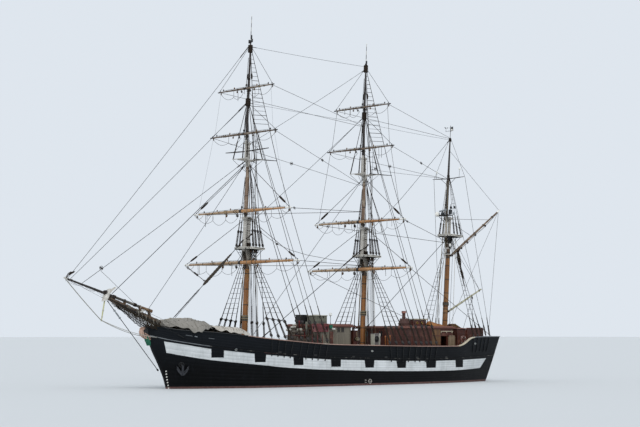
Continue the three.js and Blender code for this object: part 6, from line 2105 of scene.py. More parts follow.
def make_head():
    # knee: the plate keeps its shape; mouldings along it, and the scroll that ends it
    ob = frame["nodes"]["head_knee"]
    ob.data.materials.clear()
    ob.data.materials.append(G["black"])
    B = Build()
    body = [V(-2.16, 0, 4.80), V(-2.42, 0, 4.66), V(-2.54, 0, 4.46), V(-2.50, 0, 4.24), V(-2.34, 0, 4.06)]
    B.tube(body, [0.10 * K, 0.15 * K, 0.165 * K, 0.14 * K, 0.07 * K], "carved", 14)
    pts = []
    for i in range(34):                            # volute at the top
        t = i / 33 * 2.3 * 2 * math.pi
        r = 0.20 * (1 - i / 36)
        pts.append(V(-2.50 + r * math.sin(t) * 0.9, 0, 4.68 + r * math.cos(t) * 0.75))
    B.tube(pts, [0.055 * K * (1 - 0.6 * i / 33) for i in range(34)], "carved", 8)
    for s in (1, -1):
        for k in range(5):                          # leaves laid along the body
            t = k / 4
            c = V(lerp(-2.46, -2.30, t), s * 0.115, lerp(4.62, 4.12, t))
            R = Matrix.Rotation(0.5 - 0.35 * t, 3, "Y")
            B.ball(c, 0.085 * K, "carved", 5, squash=(0.75, 0.45, 1.5), R=R)
        B.tube([V(-2.30, s * 0.12, 4.06), V(-2.02, s * 0.16, 3.93), V(-1.72, s * 0.20, 3.86)], [0.05 * K, 0.045 * K, 0.03 * K], "carved", 8)
    B.done("figurehead_scroll", replaces=("figurehead",))
    # trailboards with leaf carving along the knee
    B = Build()
    for s in (1, -1):
        a = V(-2.26, s * 0.13, 4.26)
        b = V(-1.70, s * 0.15, 4.02)
        for dz, r, key in ((0.11, 0.028, "carved"), (-0.11, 0.028, "carved"), (0.0, 0.045, "grey_mould")):
            B.tube([a + Vector((0, 0, dz * K)), b + Vector((0, 0, dz * 0.7 * K))], r * K, key, 8)
        for i in range(4):
            c = a.lerp(b, 0.1 + 0.26 * i)
            B.ball(c + Vector((0, s * 0.03 * K, (0.04 if i % 2 else -0.04) * K)), 0.065 * K, "carved", 5, squash=(1.3, 0.5, 0.8))
    B.done("trailboards")
    # anchors: forged finish, palms, shackle and cable to the hawse pipe
    for n in ("anchor_port", "anchor_starboard"):
        ob = frame["nodes"][n]
        ob.data.materials.clear()
        ob.data.materials.append(G["anchor_iron"])
    for s, tag in ((1, "port"), (-1, "starboard")):
        B = Build()
        z, s0 = 1.47, 1.08
        n = hull_point(sAt(s0, z), z, s, 0.0)[1]
        e = 0.3
        slope = math.atan((halfAt(s0 + e, z) - halfAt(s0 - e, z)) / (sAt(s0 + e, z) - sAt(s0 - e, z)))
        flare = math.atan((halfAt(s0, z + e) - halfAt(s0, z - e)) / (2 * e))
        Rm = Matrix.Rotation(-s * slope, 4, "Z") @ Matrix.Rotation(-s * flare, 4, "X")
        T = Matrix.Translation(V(sAt(s0, z), s * (halfAt(s0, z) + 0.30), z)) @ Rm
        A = lambda x, y, q: T @ Vector((x * K, s * y * K, q * K))
        for k in (1, -1):
            B.tube([A(k * 0.13, 0.0, -0.20), A(k * 0.26, 0.0, -0.02), A(k * 0.42, 0.0, 0.22)], [0.035 * K, 0.05 * K, 0.03 * K], "anchor_iron", 8)
            B.ball(A(k * 0.40, -0.07, 0.12), 0.10 * K, "anchor_iron", 5, squash=(0.9, 0.55, 1.5))
        B.tube([A(0, 0.0, -0.34), A(0, 0.0, 0.1), A(0, 0.0, 0.30)], [0.06 * K, 0.05 * K, 0.045 * K], "anchor_iron", 8)
        B.box(A(0, -0.07, -0.26), (0.34 * K, 0.17 * K, 0.16 * K), "anchor_iron", R=Rm.to_3x3(), bev=0.25)
        hw, hn = hull_point(sAt(s0, z) - 0.02, z + 0.42, s, 0.02)
        B.torus(hw, hn, 0.19 * K, 0.05 * K, "iron", 22, 8)
        # dark disc in the ring: painted shade inside the hawse pipe
        B.lathe(hw - hn * 0.05 * K, hw - hn * 0.01 * K, [[0, 0.15 * K], [1, 0.16 * K]], "tarpaint_and_hole_shade", 20)
        B.tube([A(0, -0.07, 0.28), hw - hn * 0.03 * K], 0.05 * K, "anchor_iron", 8)
        B.torus(A(0, -0.07, 0.30), (0, 1, 0), 0.07 * K, 0.022 * K, "anchor_iron", 14, 6)
        B.done(f"anchor_fittings_{tag}")


make_head()


# ================================================================ cloth: canvas over the forecastle, wrapping on the cap, green cloth
from mathutils import noise as mnoise


def cloth_grid(name, rows, key, thick=0.0014, smooth=True):
    B = Build()
    B.grid(rows, key, True)
    n, m = len(rows), len(rows[0])
    area = 0.0
    for i in range(n - 1):
        for j in range(m - 1):
            a, b, c, d = rows[i][j], rows[i][j + 1], rows[i + 1][j + 1], rows[i + 1][j]
            area += ((b - a).cross(c - a).length + (c - a).cross(d - a).length) / 2
    width = sum((rows[i][j + 1] - rows[i][j]).length for i in range(n) for j in range(m - 1)) / n
    ob = B.done(name)
    mod = ob.modifiers.new("thickness", "SOLIDIFY")
    mod.thickness = thick
    mod.offset = -1.0
    if smooth:
        sub = ob.modifiers.new("smooth", "SUBSURF")
        sub.levels = sub.render_levels = 1
    CLOTHS.append([name, width, area / width])
    return ob


CLOTHS = []


def heap(table, n_s, n_v, amp, seed):
    """Heaped canvas. Columns of the table: s, port edge b and z, ridge b and z, starboard edge b and z.
    Each station is an arch; folds run along the heap and slant over it, the edges are wavy."""
    S = [r[0] for r in table]
    col = [curve([[r[0], r[k]] for r in table]) for k in range(1, 7)]
    rows = []
    for i in range(n_s + 1):
        s = lerp(S[0], S[-1], i / n_s)
        bp, zp, br, zr, bs, zs = (f(s) for f in col)
        row = []
        for j in range(n_v + 1):
            t = j / n_v * 2
            if t <= 1:
                th = t * math.pi / 2
                b = br + (bp - br) * math.cos(th) ** 0.85
                z = zp + (zr - zp) * math.sin(th) ** 0.9
            else:
                th = (2 - t) * math.pi / 2
                b = br - (bs + br) * math.cos(th) ** 0.85
                z = zs + (zr - zs) * math.sin(th) ** 0.9
            up = min(1.0, math.sin(th) * 1.6)
            q = s + b * 0.35
            long_ = mnoise.noise(Vector((q * 0.55 + seed, b * 3.1, z * 2.2)))
            fine = mnoise.noise(Vector((q * 1.3, b * 7.0 + seed, z * 5.0)))
            lump = mnoise.noise(Vector((s * 1.3, b * 0.9, seed + 11.0)))
            crease = abs(mnoise.noise(Vector((s * 1.7 - b * 1.9, b * 1.1 + z * 1.6, seed + 17.0))))
            dz = amp * (0.9 * long_ + 0.4 * fine + 0.6 * lump - 0.9 * max(0.0, 0.12 - crease) / 0.12 * 0.35)
            edge = 0.09 * mnoise.noise(Vector((s * 2.3, seed, 0.0 if t < 1 else 5.0))) + 0.04 * math.sin(s * 9.0 + seed)
            z += dz * up + edge * (1 - up)
            b += (0.07 * long_ + 0.05 * fine) * (1 if t < 1 else -1) * up + 0.02
            ss = s + 0.06 * mnoise.noise(Vector((b * 2.0, z * 2.0, seed + 3.0)))
            row.append(V(ss, b, z))
        rows.append(row)
    return rows


def make_canvas():
    A = heap([[-0.78, 0.66, 4.84, 0.05, 5.36, 0.66, 4.82], [-0.30, 1.02, 4.86, 0.10, 5.42, 0.98, 4.78], [0.10, 1.42, 4.84, 0.10, 5.47, 1.35, 4.76], [0.60, 1.84, 4.70, 0.0, 5.50, 1.70, 4.68], [1.10, 2.17, 4.44, 0.0, 5.52, 1.95, 4.64],
              [1.70, 2.30, 4.48, 0.0, 5.50, 2.05, 4.60], [2.20, 2.20, 4.66, -0.1, 5.40, 2.10, 4.57], [2.80, 1.95, 4.72, -0.2, 5.22, 2.05, 4.52], [3.60, 1.60, 4.70, -0.3, 5.00, 1.80, 4.47], [4.30, 1.40, 4.58, -0.3, 4.84, 1.60, 4.42]], 110, 100, 0.13, 2.0)
    first = A[0]                                   # front edge turned down to the rail and over the bowsprit
    for k in (1, 2, 3):
        row = []
        for p in first:
            b = p.y / K
            over = 4.80 + 0.78 * 0.4017 + math.sqrt(max(0.0, 0.28 ** 2 - b * b)) * 1.08 if abs(b) < 0.28 else 4.76
            row.append(Vector((p.x - 0.03 * k * K, p.y * (1 + 0.015 * k), max(over * K, lerp(p.z, 4.76 * K, k / 3 * (0.9 + 0.1 * math.sin(b * 9)))))))
        A.insert(0, row)
    a = cloth_grid("foredeck_canvas_fore", A, "canvas_grey", smooth=False)
    Bq = heap([[2.95, 2.35, 4.64, 1.9, 4.92, -1.2, 4.60], [3.4, 2.80, 4.56, 2.0, 4.91, -1.1, 4.52], [4.0, 3.00, 4.45, 2.2, 4.87, -1.0, 4.46], [4.8, 3.18, 4.32, 2.3, 4.84, -0.9, 4.36],
               [5.3, 3.27, 4.24, 2.4, 4.70, -1.0, 4.30], [5.75, 3.30, 4.17, 2.6, 4.40, -1.3, 4.26]], 84, 80, 0.07, 7.0)
    b = cloth_grid("foredeck_canvas_aft", Bq, "canvas_pale", smooth=False)
    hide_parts("foredeck_canvas")
    # windlass and stowed gear that the canvas lies over, in dark colours that also give the shade under the canvas
    B = Build()
    zf = 3.98
    B.lathe(V(3.35, -1.75, zf + 0.46), V(3.35, 1.95, zf + 0.46), [[0, 0.10 * K], [0.02, 0.20 * K], [0.10, 0.24 * K], [0.12, 0.30 * K], [0.30, 0.27 * K], [0.48, 0.27 * K], [0.49, 0.34 * K], [0.54, 0.34 * K], [0.55, 0.27 * K], [0.88, 0.30 * K], [0.90, 0.24 * K], [0.98, 0.20 * K], [1, 0.10 * K]],
            ["iron", "iron", "iron", "jib_dark", "jib_dark", "iron", "iron", "iron", "jib_dark", "iron", "iron", "iron"], 22)
    for b in (-1.25, 1.40):
        B.box(V(3.30, b, zf + 0.42), (0.34 * K, 0.16 * K, 0.86 * K), "jib_dark", bev=0.15)
    for s, b, r in ((2.75, 1.95, 0.28), (3.45, 2.30, 0.24), (4.2, 2.45, 0.22), (2.4, -1.4, 0.26), (4.3, 1.5, 0.24), (5.0, 2.45, 0.20)):
        for i in range(4):
            B.torus(V(s, b, zf + 0.24 + 0.085 * i), (0.06 * (i % 2), 0.05, 1), (r + 0.02 * (i % 2)) * K, 0.05 * K, ("tarred", "net")[i % 2], 20, 6)
    B.done("foredeck_gear")
    # lashings over the canvas, and reef points hanging from it
    B = Build()
    for grid_, idx in ((A, (10, 48, 66, 74, 92)), (Bq, (16, 40, 66))):
        for i in idx:
            pts = [grid_[i][j] + Vector((0, 0, 0.03 * K)) for j in range(2, len(grid_[i]) - 1, 2)]
            B.tube(pts, 0.022 * K, "grey_rope", 6)
    for grid_, j0 in ((A, 14), (A, 30), (Bq, 16)):
        for i in range(5, len(grid_) - 5, 7):
            p = grid_[i][j0] + Vector((0, 0, 0.025 * K))
            B.tube([p, grid_[i + 1][max(0, j0 - 4)] + Vector((0, 0, 0.03 * K)), grid_[min(len(grid_) - 1, i + 2)][max(0, j0 - 8)] + Vector((0, 0, 0.025 * K))], 0.014 * K, "grey_rope", 5)
    # one long line lying along the ridge and down to the rail
    B.tube([A[q][46 + int(6 * math.sin(q * 0.3))] + Vector((0, 0, 0.03 * K)) for q in range(2, 108, 4)], 0.02 * K, "manila", 6)
    B.done("canvas_lashings")
    # white cloth wrapped round the bowsprit's cap, with a loose flap
    rows = []
    for i in range(31):
        f = i / 30
        c = V(lerp(-5.98, -5.60, f) + 0.02 * math.sin(f * 9), 0.0, lerp(6.86, 7.72, f))
        row = []
        for j in range(37):
            t = 2 * math.pi * j / 36 * 1.04
            r = 0.20 + 0.12 * math.sin(math.pi * min(1.0, 0.15 + f)) + 0.05 * mnoise.noise(Vector((f * 5, math.cos(t) * 1.6, math.sin(t) * 1.6))) + 0.035 * mnoise.noise(Vector((f * 16, math.cos(t) * 3, math.sin(t) * 3 + 4)))
            r += 0.012 * t / (2 * math.pi)
            row.append(c + Vector((math.cos(t) * 0.75 * r, math.sin(t) * 0.95 * r, -math.cos(t) * 0.28 * r)) * K)
        rows.append(row)
    cloth_grid("cap_cloth", rows, "cloth_white")
    rows = []
    for i in range(17):
        f = i / 16
        row = []
        for j in range(15):
            t = j / 14
            w = lerp(0.30, 0.07, f)
            row.append(V(lerp(-5.62, -5.02, f) + 0.03 * mnoise.noise(Vector((f * 4, t * 3, 1.0))), 0.12 + w * (t - 0.5) + 0.05 * math.sin(t * 5 + f * 3), lerp(7.62, 7.92, f ** 0.8) - w * 0.8 * t + 0.03 * mnoise.noise(Vector((f * 6, t * 6, 2.0)))))
        rows.append(row)
    cloth_grid("cap_cloth_flap", rows, "cloth_white")
    # dark green cloth gathered under the head, against the stem
    rows = []
    for i in range(29):
        f = i / 28
        c = V(lerp(-2.02, -1.78, f), 0.02, lerp(4.10, 3.40, f))
        row = []
        for j in range(33):
            t = 2 * math.pi * j / 32 * 0.96
            r = 0.11 + 0.10 * math.sin(math.pi * min(1.0, 0.12 + 0.80 * f)) + 0.030 * math.sin(5 * t + 3 * f) + 0.02 * mnoise.noise(Vector((f * 6, math.cos(t) * 2, math.sin(t) * 2)))
            row.append(c + Vector((math.cos(t) * 0.85, math.sin(t), 0.0)) * r * K)
        rows.append(row)
    cloth_grid("bow_green_cloth", rows, "green")


make_canvas()


# ================================================================ deck houses, deck fittings
# dark brown-grey: painted shade where it covers the fore house's front; also the colour of trim, posts and frames
G["wall_grey"] = painted("house_front_shade_and_trim_paint", (0x5E564C, 0x463F38), 0.7, 14, 0.6)
G["wall_cream"] = wood("house_panel_paint", (0x5D564B, 0x746D60, 0x837C6C), 2, 0.6, worn=0x4E463E)
G["wall_brown"] = wood("house_brown_boards", (0x2C1109, 0x4A1D10, 0x662D19), 2, 0.5, worn=0x6E4634)
G["wall_brown_x"] = wood("house_brown_rails", (0x36160E, 0x54271B, 0x703A29), 0, 0.5, worn=0x7E5646)
G["eaves"] = wood("eaves_board", (0x5A342C, 0x7A4E42, 0x97695A), 0, 0.55, worn=0xA88A7C)
G["roof_canvas"] = painted("roof_canvas_paint", (0x6E675C, 0x575047), 0.85, 18, 0.5, bump=0.3)
G["roof_red"] = painted("roof_red_paint", (0x5E3028, 0x472620), 0.8, 18, 0.5, bump=0.3)
G["steel_grey"] = metal("plain_steel", (0x4E5256, 0x6C7074), 0.5, rust=0.25, metal_=0.6)
G["hatch_cover"] = wood("hatch_boards", (0x3A352C, 0x565044, 0x6E675A), 0, 0.7, worn=0x7A7466)
G["door_cream"] = wood("door_cream_paint", (0x62543F, 0x83705A, 0x978570), 2, 0.55, worn=0x6A5C4C)
G["cowl"] = painted("cowl_brown_paint", (0x5A3A30, 0x442A24), 0.6, 26, 0.5, chips=0x9A6A5A)
G["cowl_in"] = painted("cowl_inside_paint", (0xA87468, 0x8E5C50), 0.6, 20, 0.4)
G["red_lattice"] = wood("red_lattice_paint", (0x4E1E1E, 0x6E2E30, 0x83444A), 0, 0.6, worn=0x9A6A68)
G["post_orange"] = wood("post_orange_brown", (0x6A3A1E, 0x96592E, 0xB07844), 2, 0.5, worn=0xB08A60)
G["wall_brown_f"] = painted("stowage_brown_paint", (0x4A3C30, 0x3A2E26), 0.7, 20, 0.5)
G["lattice_pale"] = wood("lattice_pale_paint", (0x7A4A4C, 0x946068, 0xA87880), 0, 0.6, worn=0xB8A0A0)
# near-black sheet: painted shade seen between the lattice's slats
G["lattice_dark"] = painted("lattice_painted_shade", (0x2A1414, 0x1C1010), 0.8, 20, 0.4)
G["winch_grey"] = painted("winch_grey_paint", (0x706A68, 0x565250), 0.6, 20, 0.55, chips=0x4A3E34)
G["house_black"] = painted("black_box_paint", (0x0A0A0B, 0x151515), 0.6, 22, 0.3)
G["locker_grey"] = wood("locker_grey_paint", (0x56564A, 0x707064, 0x828274), 0, 0.65, worn=0x3E3E34)
G["locker_lid"] = painted("locker_lid_paint", (0xB2B0A4, 0x9C9A8C), 0.6, 18, 0.4)
FH = dict(s0=14.45, s1=17.9, half=2.0, z0=deckAt(14.45) + 0.01, z1=4.94)
AH = dict(s0=22.6, s1=30.6, half=1.9, z0=deckAt(22.6) + 0.01, z1=4.80)


def sbox(B, s0, s1, b0, b1, z0, z1, key, bev=0.12, R=None):
    B.box(V((s0 + s1) / 2, (b0 + b1) / 2, (z0 + z1) / 2), (abs(s1 - s0) * K, abs(b1 - b0) * K, abs(z1 - z0) * K), key, R=R, bev=bev)


def boards_along_s(B, s0, s1, b, side, z0, z1, key, pitch=0.17, t=0.022, skip=()):
    """Upright boards on a wall that runs fore and aft; side is the direction the wall faces, skip lists (s, s, z, z) openings."""
    n = max(1, round((s1 - s0) / pitch))
    w = (s1 - s0) / n
    for i in range(n):
        a = s0 + i * w
        tt = t + 0.006 * rnd.random()
        zs = [(z0, z1)]
        for q0, q1, y0, y1 in skip:
            if a + w > q0 and a < q1:
                zs = [p for u, v in zs for p in ((u, min(v, y0)), (max(u, y1), v)) if p[1] - p[0] > 0.02]
        for u, v in zs:
            sbox(B, a + 0.006, a + w - 0.006, b - side * 0.01, b + side * tt, u, v, key, 0.2)


def boards_along_b(B, b0, b1, s, side, z0, z1, key, pitch=0.17, t=0.022, skip=()):
    """The same on a wall across the ship; side -1 faces forward."""
    n = max(1, round((b1 - b0) / pitch))
    w = (b1 - b0) / n
    for i in range(n):
        a = b0 + i * w
        tt = t + 0.006 * rnd.random()
        zs = [(z0, z1)]
        for q0, q1, y0, y1 in skip:
            if a + w > q0 and a < q1:
                zs = [p for u, v in zs for p in ((u, min(v, y0)), (max(u, y1), v)) if p[1] - p[0] > 0.02]
        for u, v in zs:
            sbox(B, s - side * 0.01, s + side * tt, a + 0.006, a + w - 0.006, u, v, key, 0.2)


def window(B, s0, s1, b, side, z0, z1, key, bars=1):
    """Framed window on a side wall."""
    o = b + side * 0.012
    sbox(B, s0, s1, b - side * 0.02, o, z0, z1, "glass", 0.02)
    for u, v, y0, y1 in ((s0 - 0.05, s1 + 0.05, z0 - 0.05, z0), (s0 - 0.05, s1 + 0.05, z1, z1 + 0.05), (s0 - 0.05, s0, z0, z1), (s1, s1 + 0.05, z0, z1)):
        sbox(B, u, v, b - side * 0.01, b + side * 0.045, y0, y1, key, 0.2)
    for k in range(bars):
        c = lerp(s0, s1, (k + 1) / (bars + 1))
        sbox(B, c - 0.012, c + 0.012, b, b + side * 0.03, z0, z1, key, 0.2)


def window_b(B, b0, b1, s, side, z0, z1, key, bars=1):
    o = s + side * 0.012
    sbox(B, s - side * 0.02, o, b0, b1, z0, z1, "glass", 0.02)
    for u, v, y0, y1 in ((b0 - 0.05, b1 + 0.05, z0 - 0.05, z0), (b0 - 0.05, b1 + 0.05, z1, z1 + 0.05), (b0 - 0.05, b0, z0, z1), (b1, b1 + 0.05, z0, z1)):
        sbox(B, s - side * 0.01, s + side * 0.045, u, v, y0, y1, key, 0.2)
    for k in range(bars):
        c = lerp(b0, b1, (k + 1) / (bars + 1))
        sbox(B, s, s + side * 0.03, c - 0.012, c + 0.012, z0, z1, key, 0.2)


def portlight(B, c, axis, r=0.13):
    B.torus(c, axis, r * K, 0.03 * K, "brass", 18, 6)
    a = Vector(axis).normalized()
    B.lathe(Vector(c) - a * 0.02 * K, Vector(c) + a * 0.008 * K, [[0, r * K], [1, r * 0.98 * K]], "glass", 18)


def roof_edge(B, h, key, top, plank=0.20):
    """Eaves moulding round the roof, planked top with seams, low edge strip."""
    s0, s1, b, z = h["s0"] - 0.15, h["s1"] + 0.15, h["half"] + 0.15, h["z1"] + 0.13
    for side in (1, -1):
        sbox(B, s0 - 0.03, s1 + 0.03, side * (b - 0.005), side * (b + 0.035), z - 0.135, z - 0.03, key, 0.25)
        sbox(B, s0 - 0.02, s1 + 0.02, side * (b - 0.10), side * (b + 0.05), z - 0.03, z + 0.03, key, 0.25)
        sbox(B, s0 + 0.1, s1 - 0.1, side * (b - 0.19), side * (b - 0.15), z, z + 0.07, key, 0.25)
    for s, d in ((s0, -1), (s1, 1)):
        sbox(B, s - d * 0.005, s + d * 0.035, -b - 0.03, b + 0.03, z - 0.135, z - 0.03, key, 0.25)
        sbox(B, s - d * 0.10, s + d * 0.05, -b - 0.04, b + 0.04, z - 0.03, z + 0.03, key, 0.25)
    n = round(2 * (b - 0.1) / plank)
    w = 2 * (b - 0.1) / n
    for i in range(n):
        a = -(b - 0.1) + i * w
        sbox(B, s0 + 0.08, s1 - 0.08, a + 0.006, a + w - 0.006, z - 0.02, z + 0.014, top, 0.15)


def make_fore_house():
    s0, s1, h, z0, z1 = (FH[k] for k in ("s0", "s1", "half", "z0", "z1"))
    for n, key in (("fore_deckhouse", "wall_cream"), ("fore_deckhouse_roof", "roof_canvas"), ("aft_deckhouse", "wall_brown"), ("aft_deckhouse_roof", "roof_red")):
        ob = frame["nodes"][n]
        ob.data.materials.clear()
        ob.data.materials.append(G[key])
    B = Build()
    wins = [(16.44, 16.66, 4.48, 4.82), (16.88, 17.14, 4.48, 4.82)]
    for side in (1, -1):
        boards_along_s(B, s0 + 0.05, s1 - 0.05, side * h, side, z0 + 0.20, z1 - 0.06, "wall_cream", 0.23, 0.020, [(a - 0.06, b + 0.06, y0 - 0.06, y1 + 0.06) for a, b, y0, y1 in wins])
        for a, b, y0, y1 in wins:
            window(B, a, b, side * h, side, y0, y1, "wall_grey")
        sbox(B, s0, s1, side * (h - 0.01), side * (h + 0.05), z0, z0 + 0.20, "wall_grey")
        sbox(B, s0, s1, side * (h - 0.01), side * (h + 0.045), z1 - 0.10, z1, "redwood_x")
        sbox(B, s0, s1, side * (h - 0.01), side * (h + 0.035), 4.30, 4.38, "wall_cream")
        for s in (s0, s1):
            sbox(B, s - 0.05, s + 0.05, side * (h - 0.06), side * (h + 0.05), z0, z1, "wall_grey")
        for s in (15.35, 16.2):
            sbox(B, s - 0.05, s + 0.05, side * (h - 0.01), side * (h + 0.05), z0, z1 - 0.1, "wall_cream")
    # front: boards with two windows, darker brown-grey as painted shade on this face; aft: boards at each side of the
    # doorway
    boards_along_b(B, -h + 0.06, h - 0.06, s0, -1, z0 + 0.2, z1 - 0.06, "wall_grey", 0.2, 0.022, [(-1.16, -0.64, 4.18, 4.72), (0.64, 1.16, 4.18, 4.72)])
    for c in (-0.9, 0.9):
        window_b(B, c - 0.2, c + 0.2, s0, -1, 4.24, 4.66, "wall_brown")
    sbox(B, s0 - 0.05, s0 + 0.01, -h, h, z0, z0 + 0.2, "wall_brown")
    sbox(B, s0 - 0.05, s0 + 0.01, -h, h, z1 - 0.1, z1, "redwood_x")
    for a, b in ((-h + 0.06, -0.60), (0.60, h - 0.06)):
        boards_along_b(B, a, b, s1, 1, z0 + 0.1, z1 - 0.05, "wall_cream", 0.2, 0.018)
    sbox(B, s1 - 0.01, s1 + 0.025, -0.60, 0.60, z0 + 2.02, z1 - 0.05, "wall_cream")
    roof_edge(B, FH, "eaves", "roof_canvas")
    # brown board and reddish post by the port wall, handrails
    sbox(B, 15.50, 15.86, h + 0.05, h + 0.10, 3.45, 4.52, "wall_brown")
    for z in (3.6, 4.0, 4.4):
        sbox(B, 15.48, 15.88, h + 0.095, h + 0.125, z - 0.03, z + 0.03, "wall_brown_x")
    B.lathe(V(14.58, h + 0.16, 2.45), V(14.58, h + 0.16, 4.24), [[0, 0.05 * K], [0.95, 0.05 * K], [1, 0.02 * K]], "redwood", 10)
    B.done("fore_house_joinery")
    # door leaf, ledged and framed
    B = Build()
    a, z = s1 + 0.055, z0 + 0.06
    sbox(B, a + 0.014, a + 0.046, -0.495, 0.495, z, z + 1.9, "wall_cream", 0.1)
    for y0, y1 in ((-0.5, -0.40), (0.40, 0.5), (-0.05, 0.05)):
        sbox(B, a, a + 0.06, y0, y1, z, z + 1.9, "wall_cream", 0.15)
    for y0, y1 in ((z, z + 0.16), (z + 0.85, z + 0.98), (z + 1.78, z + 1.9)):
        sbox(B, a, a + 0.06, -0.5, 0.5, y0, y1, "wall_cream", 0.15)
    for q in (z + 0.3, z + 1.6):
        sbox(B, a + 0.055, a + 0.072, 0.10, 0.49, q - 0.03, q + 0.03, "iron", 0.2)
    B.torus(V(a + 0.085, -0.40, z + 0.95), (1, 0, 0), 0.045 * K, 0.012 * K, "brass", 14, 6)
    B.done("fore_house_door_leaf", body="fore_house_door", replaces=("fore_deckhouse_door",))


def make_aft_house():
    s0, s1, h, z0, z1 = (AH[k] for k in ("s0", "s1", "half", "z0", "z1"))
    B = Build()
    skip = [(27.96, 29.02, 3.35, 4.70)]
    boards_along_s(B, s0 + 0.05, 29.08, h, 1, z0 + 0.18, z1 - 0.08, "wall_brown", 0.19, 0.020, skip)
    boards_along_s(B, 29.90, s1 - 0.04, h, 1, z0 + 0.18, z1 - 0.08, "wall_brown", 0.19, 0.016)
    sbox(B, 29.05, 29.93, h - 0.01, h + 0.024, z0 + 1.93, z1 - 0.08, "wall_brown", 0.1)
    boards_along_s(B, s0 + 0.05, s1 - 0.05, -h, -1, z0 + 0.18, z1 - 0.08, "wall_brown", 0.19, 0.020)
    sbox(B, 27.98, 29.00, h - 0.01, h + 0.028, 3.37, 4.68, "golden", 0.08)
    for u, v, y0, y1 in ((27.96, 28.02, 3.35, 4.70), (28.47, 28.53, 3.35, 4.70), (28.96, 29.02, 3.35, 4.70), (28.02, 28.96, 3.35, 3.43), (28.02, 28.96, 4.62, 4.70), (28.02, 28.96, 3.98, 4.04)):
        sbox(B, u, v, h + 0.02, h + 0.035, y0, y1, "golden", 0.2)
    # cream ledge over the doorway
    sbox(B, 29.02, 30.62, h + 0.0, h + 0.10, 4.50, 4.56, "cream_light", 0.2)
    for s in (29.1, 29.8, 30.5):
        sbox(B, s - 0.025, s + 0.025, h, h + 0.08, 4.38, 4.50, "cream_light", 0.2)
    for s in (23.4, 24.5, 25.6, 26.7, 27.8):
        sbox(B, s - 0.05, s + 0.05, h - 0.01, h + 0.045, z0, z1 - 0.05, "wall_brown")
        sbox(B, s - 0.05, s + 0.05, -h - 0.045, -h + 0.01, z0, z1 - 0.05, "wall_brown")
    for side in (1, -1):
        e = 29.06 if side > 0 else s1
        sbox(B, s0, e, side * (h - 0.01), side * (h + 0.045), z0, z0 + 0.18, "wall_brown_x")
        sbox(B, s0, s1, side * (h - 0.01), side * (h + 0.04), z1 - 0.10, z1, "wall_brown_x")
        sbox(B, s0, e, side * (h - 0.01), side * (h + 0.05), 4.10, 4.17, "wall_brown_x")
        sbox(B, s0 - 0.05, s0 + 0.06, side * (h - 0.06), side * (h + 0.05), z0, z1, "wall_brown")
    sbox(B, s1 - 0.06, s1 + 0.05, -h - 0.05, -h + 0.06, z0, z1, "wall_brown")
    for s in (23.9, 25.0, 26.1, 27.2, 28.3, 29.4):
        portlight(B, V(s, -h - 0.03, 3.75), (0, 1, 0))
    # front and back
    boards_along_b(B, -h + 0.05, h - 0.05, s0, -1, z0 + 0.18, z1 - 0.08, "wall_brown", 0.2, 0.02, [(-1.2, -0.6, 4.0, 4.6), (0.6, 1.2, 4.0, 4.6)])
    for c in (-0.9, 0.9):
        window_b(B, c - 0.24, c + 0.24, s0, -1, 4.06, 4.54, "wall_brown_x")
    boards_along_b(B, -h + 0.05, h - 0.05, s1, 1, z0 + 0.18, z1 - 0.08, "wall_brown", 0.2, 0.02)
    for s, d in ((s0, -1), (s1, 1)):
        sbox(B, s - d * 0.01, s + d * 0.045, -h, h, z0, z0 + 0.18, "wall_brown_x")
        sbox(B, s - d * 0.01, s + d * 0.04, -h, h, z1 - 0.1, z1, "wall_brown_x")
    roof_edge(B, AH, "eaves", "roof_red")
    B.done("aft_house_joinery")
    # door leaf, standing open along the wall
    B = Build()
    a, z = h + 0.055, z0 + 0.06
    sbox(B, 29.975, 30.845, a + 0.014, a + 0.046, z, z + 1.9, "door_cream", 0.1)
    for u, v in ((29.97, 30.07), (30.75, 30.85), (30.37, 30.45)):
        sbox(B, u, v, a, a + 0.06, z, z + 1.9, "door_cream", 0.15)
    for y0, y1 in ((z, z + 0.16), (z + 0.85, z + 0.98), (z + 1.78, z + 1.9)):
        sbox(B, 29.97, 30.85, a, a + 0.06, y0, y1, "door_cream", 0.15)
    B.ball(V(30.79, a + 0.075, z + 0.9), 0.03 * K, "brass", 6)
    B.done("aft_house_door_leaf", body="aft_house_door", replaces=("aft_deckhouse_door",))


make_fore_house()
make_aft_house()


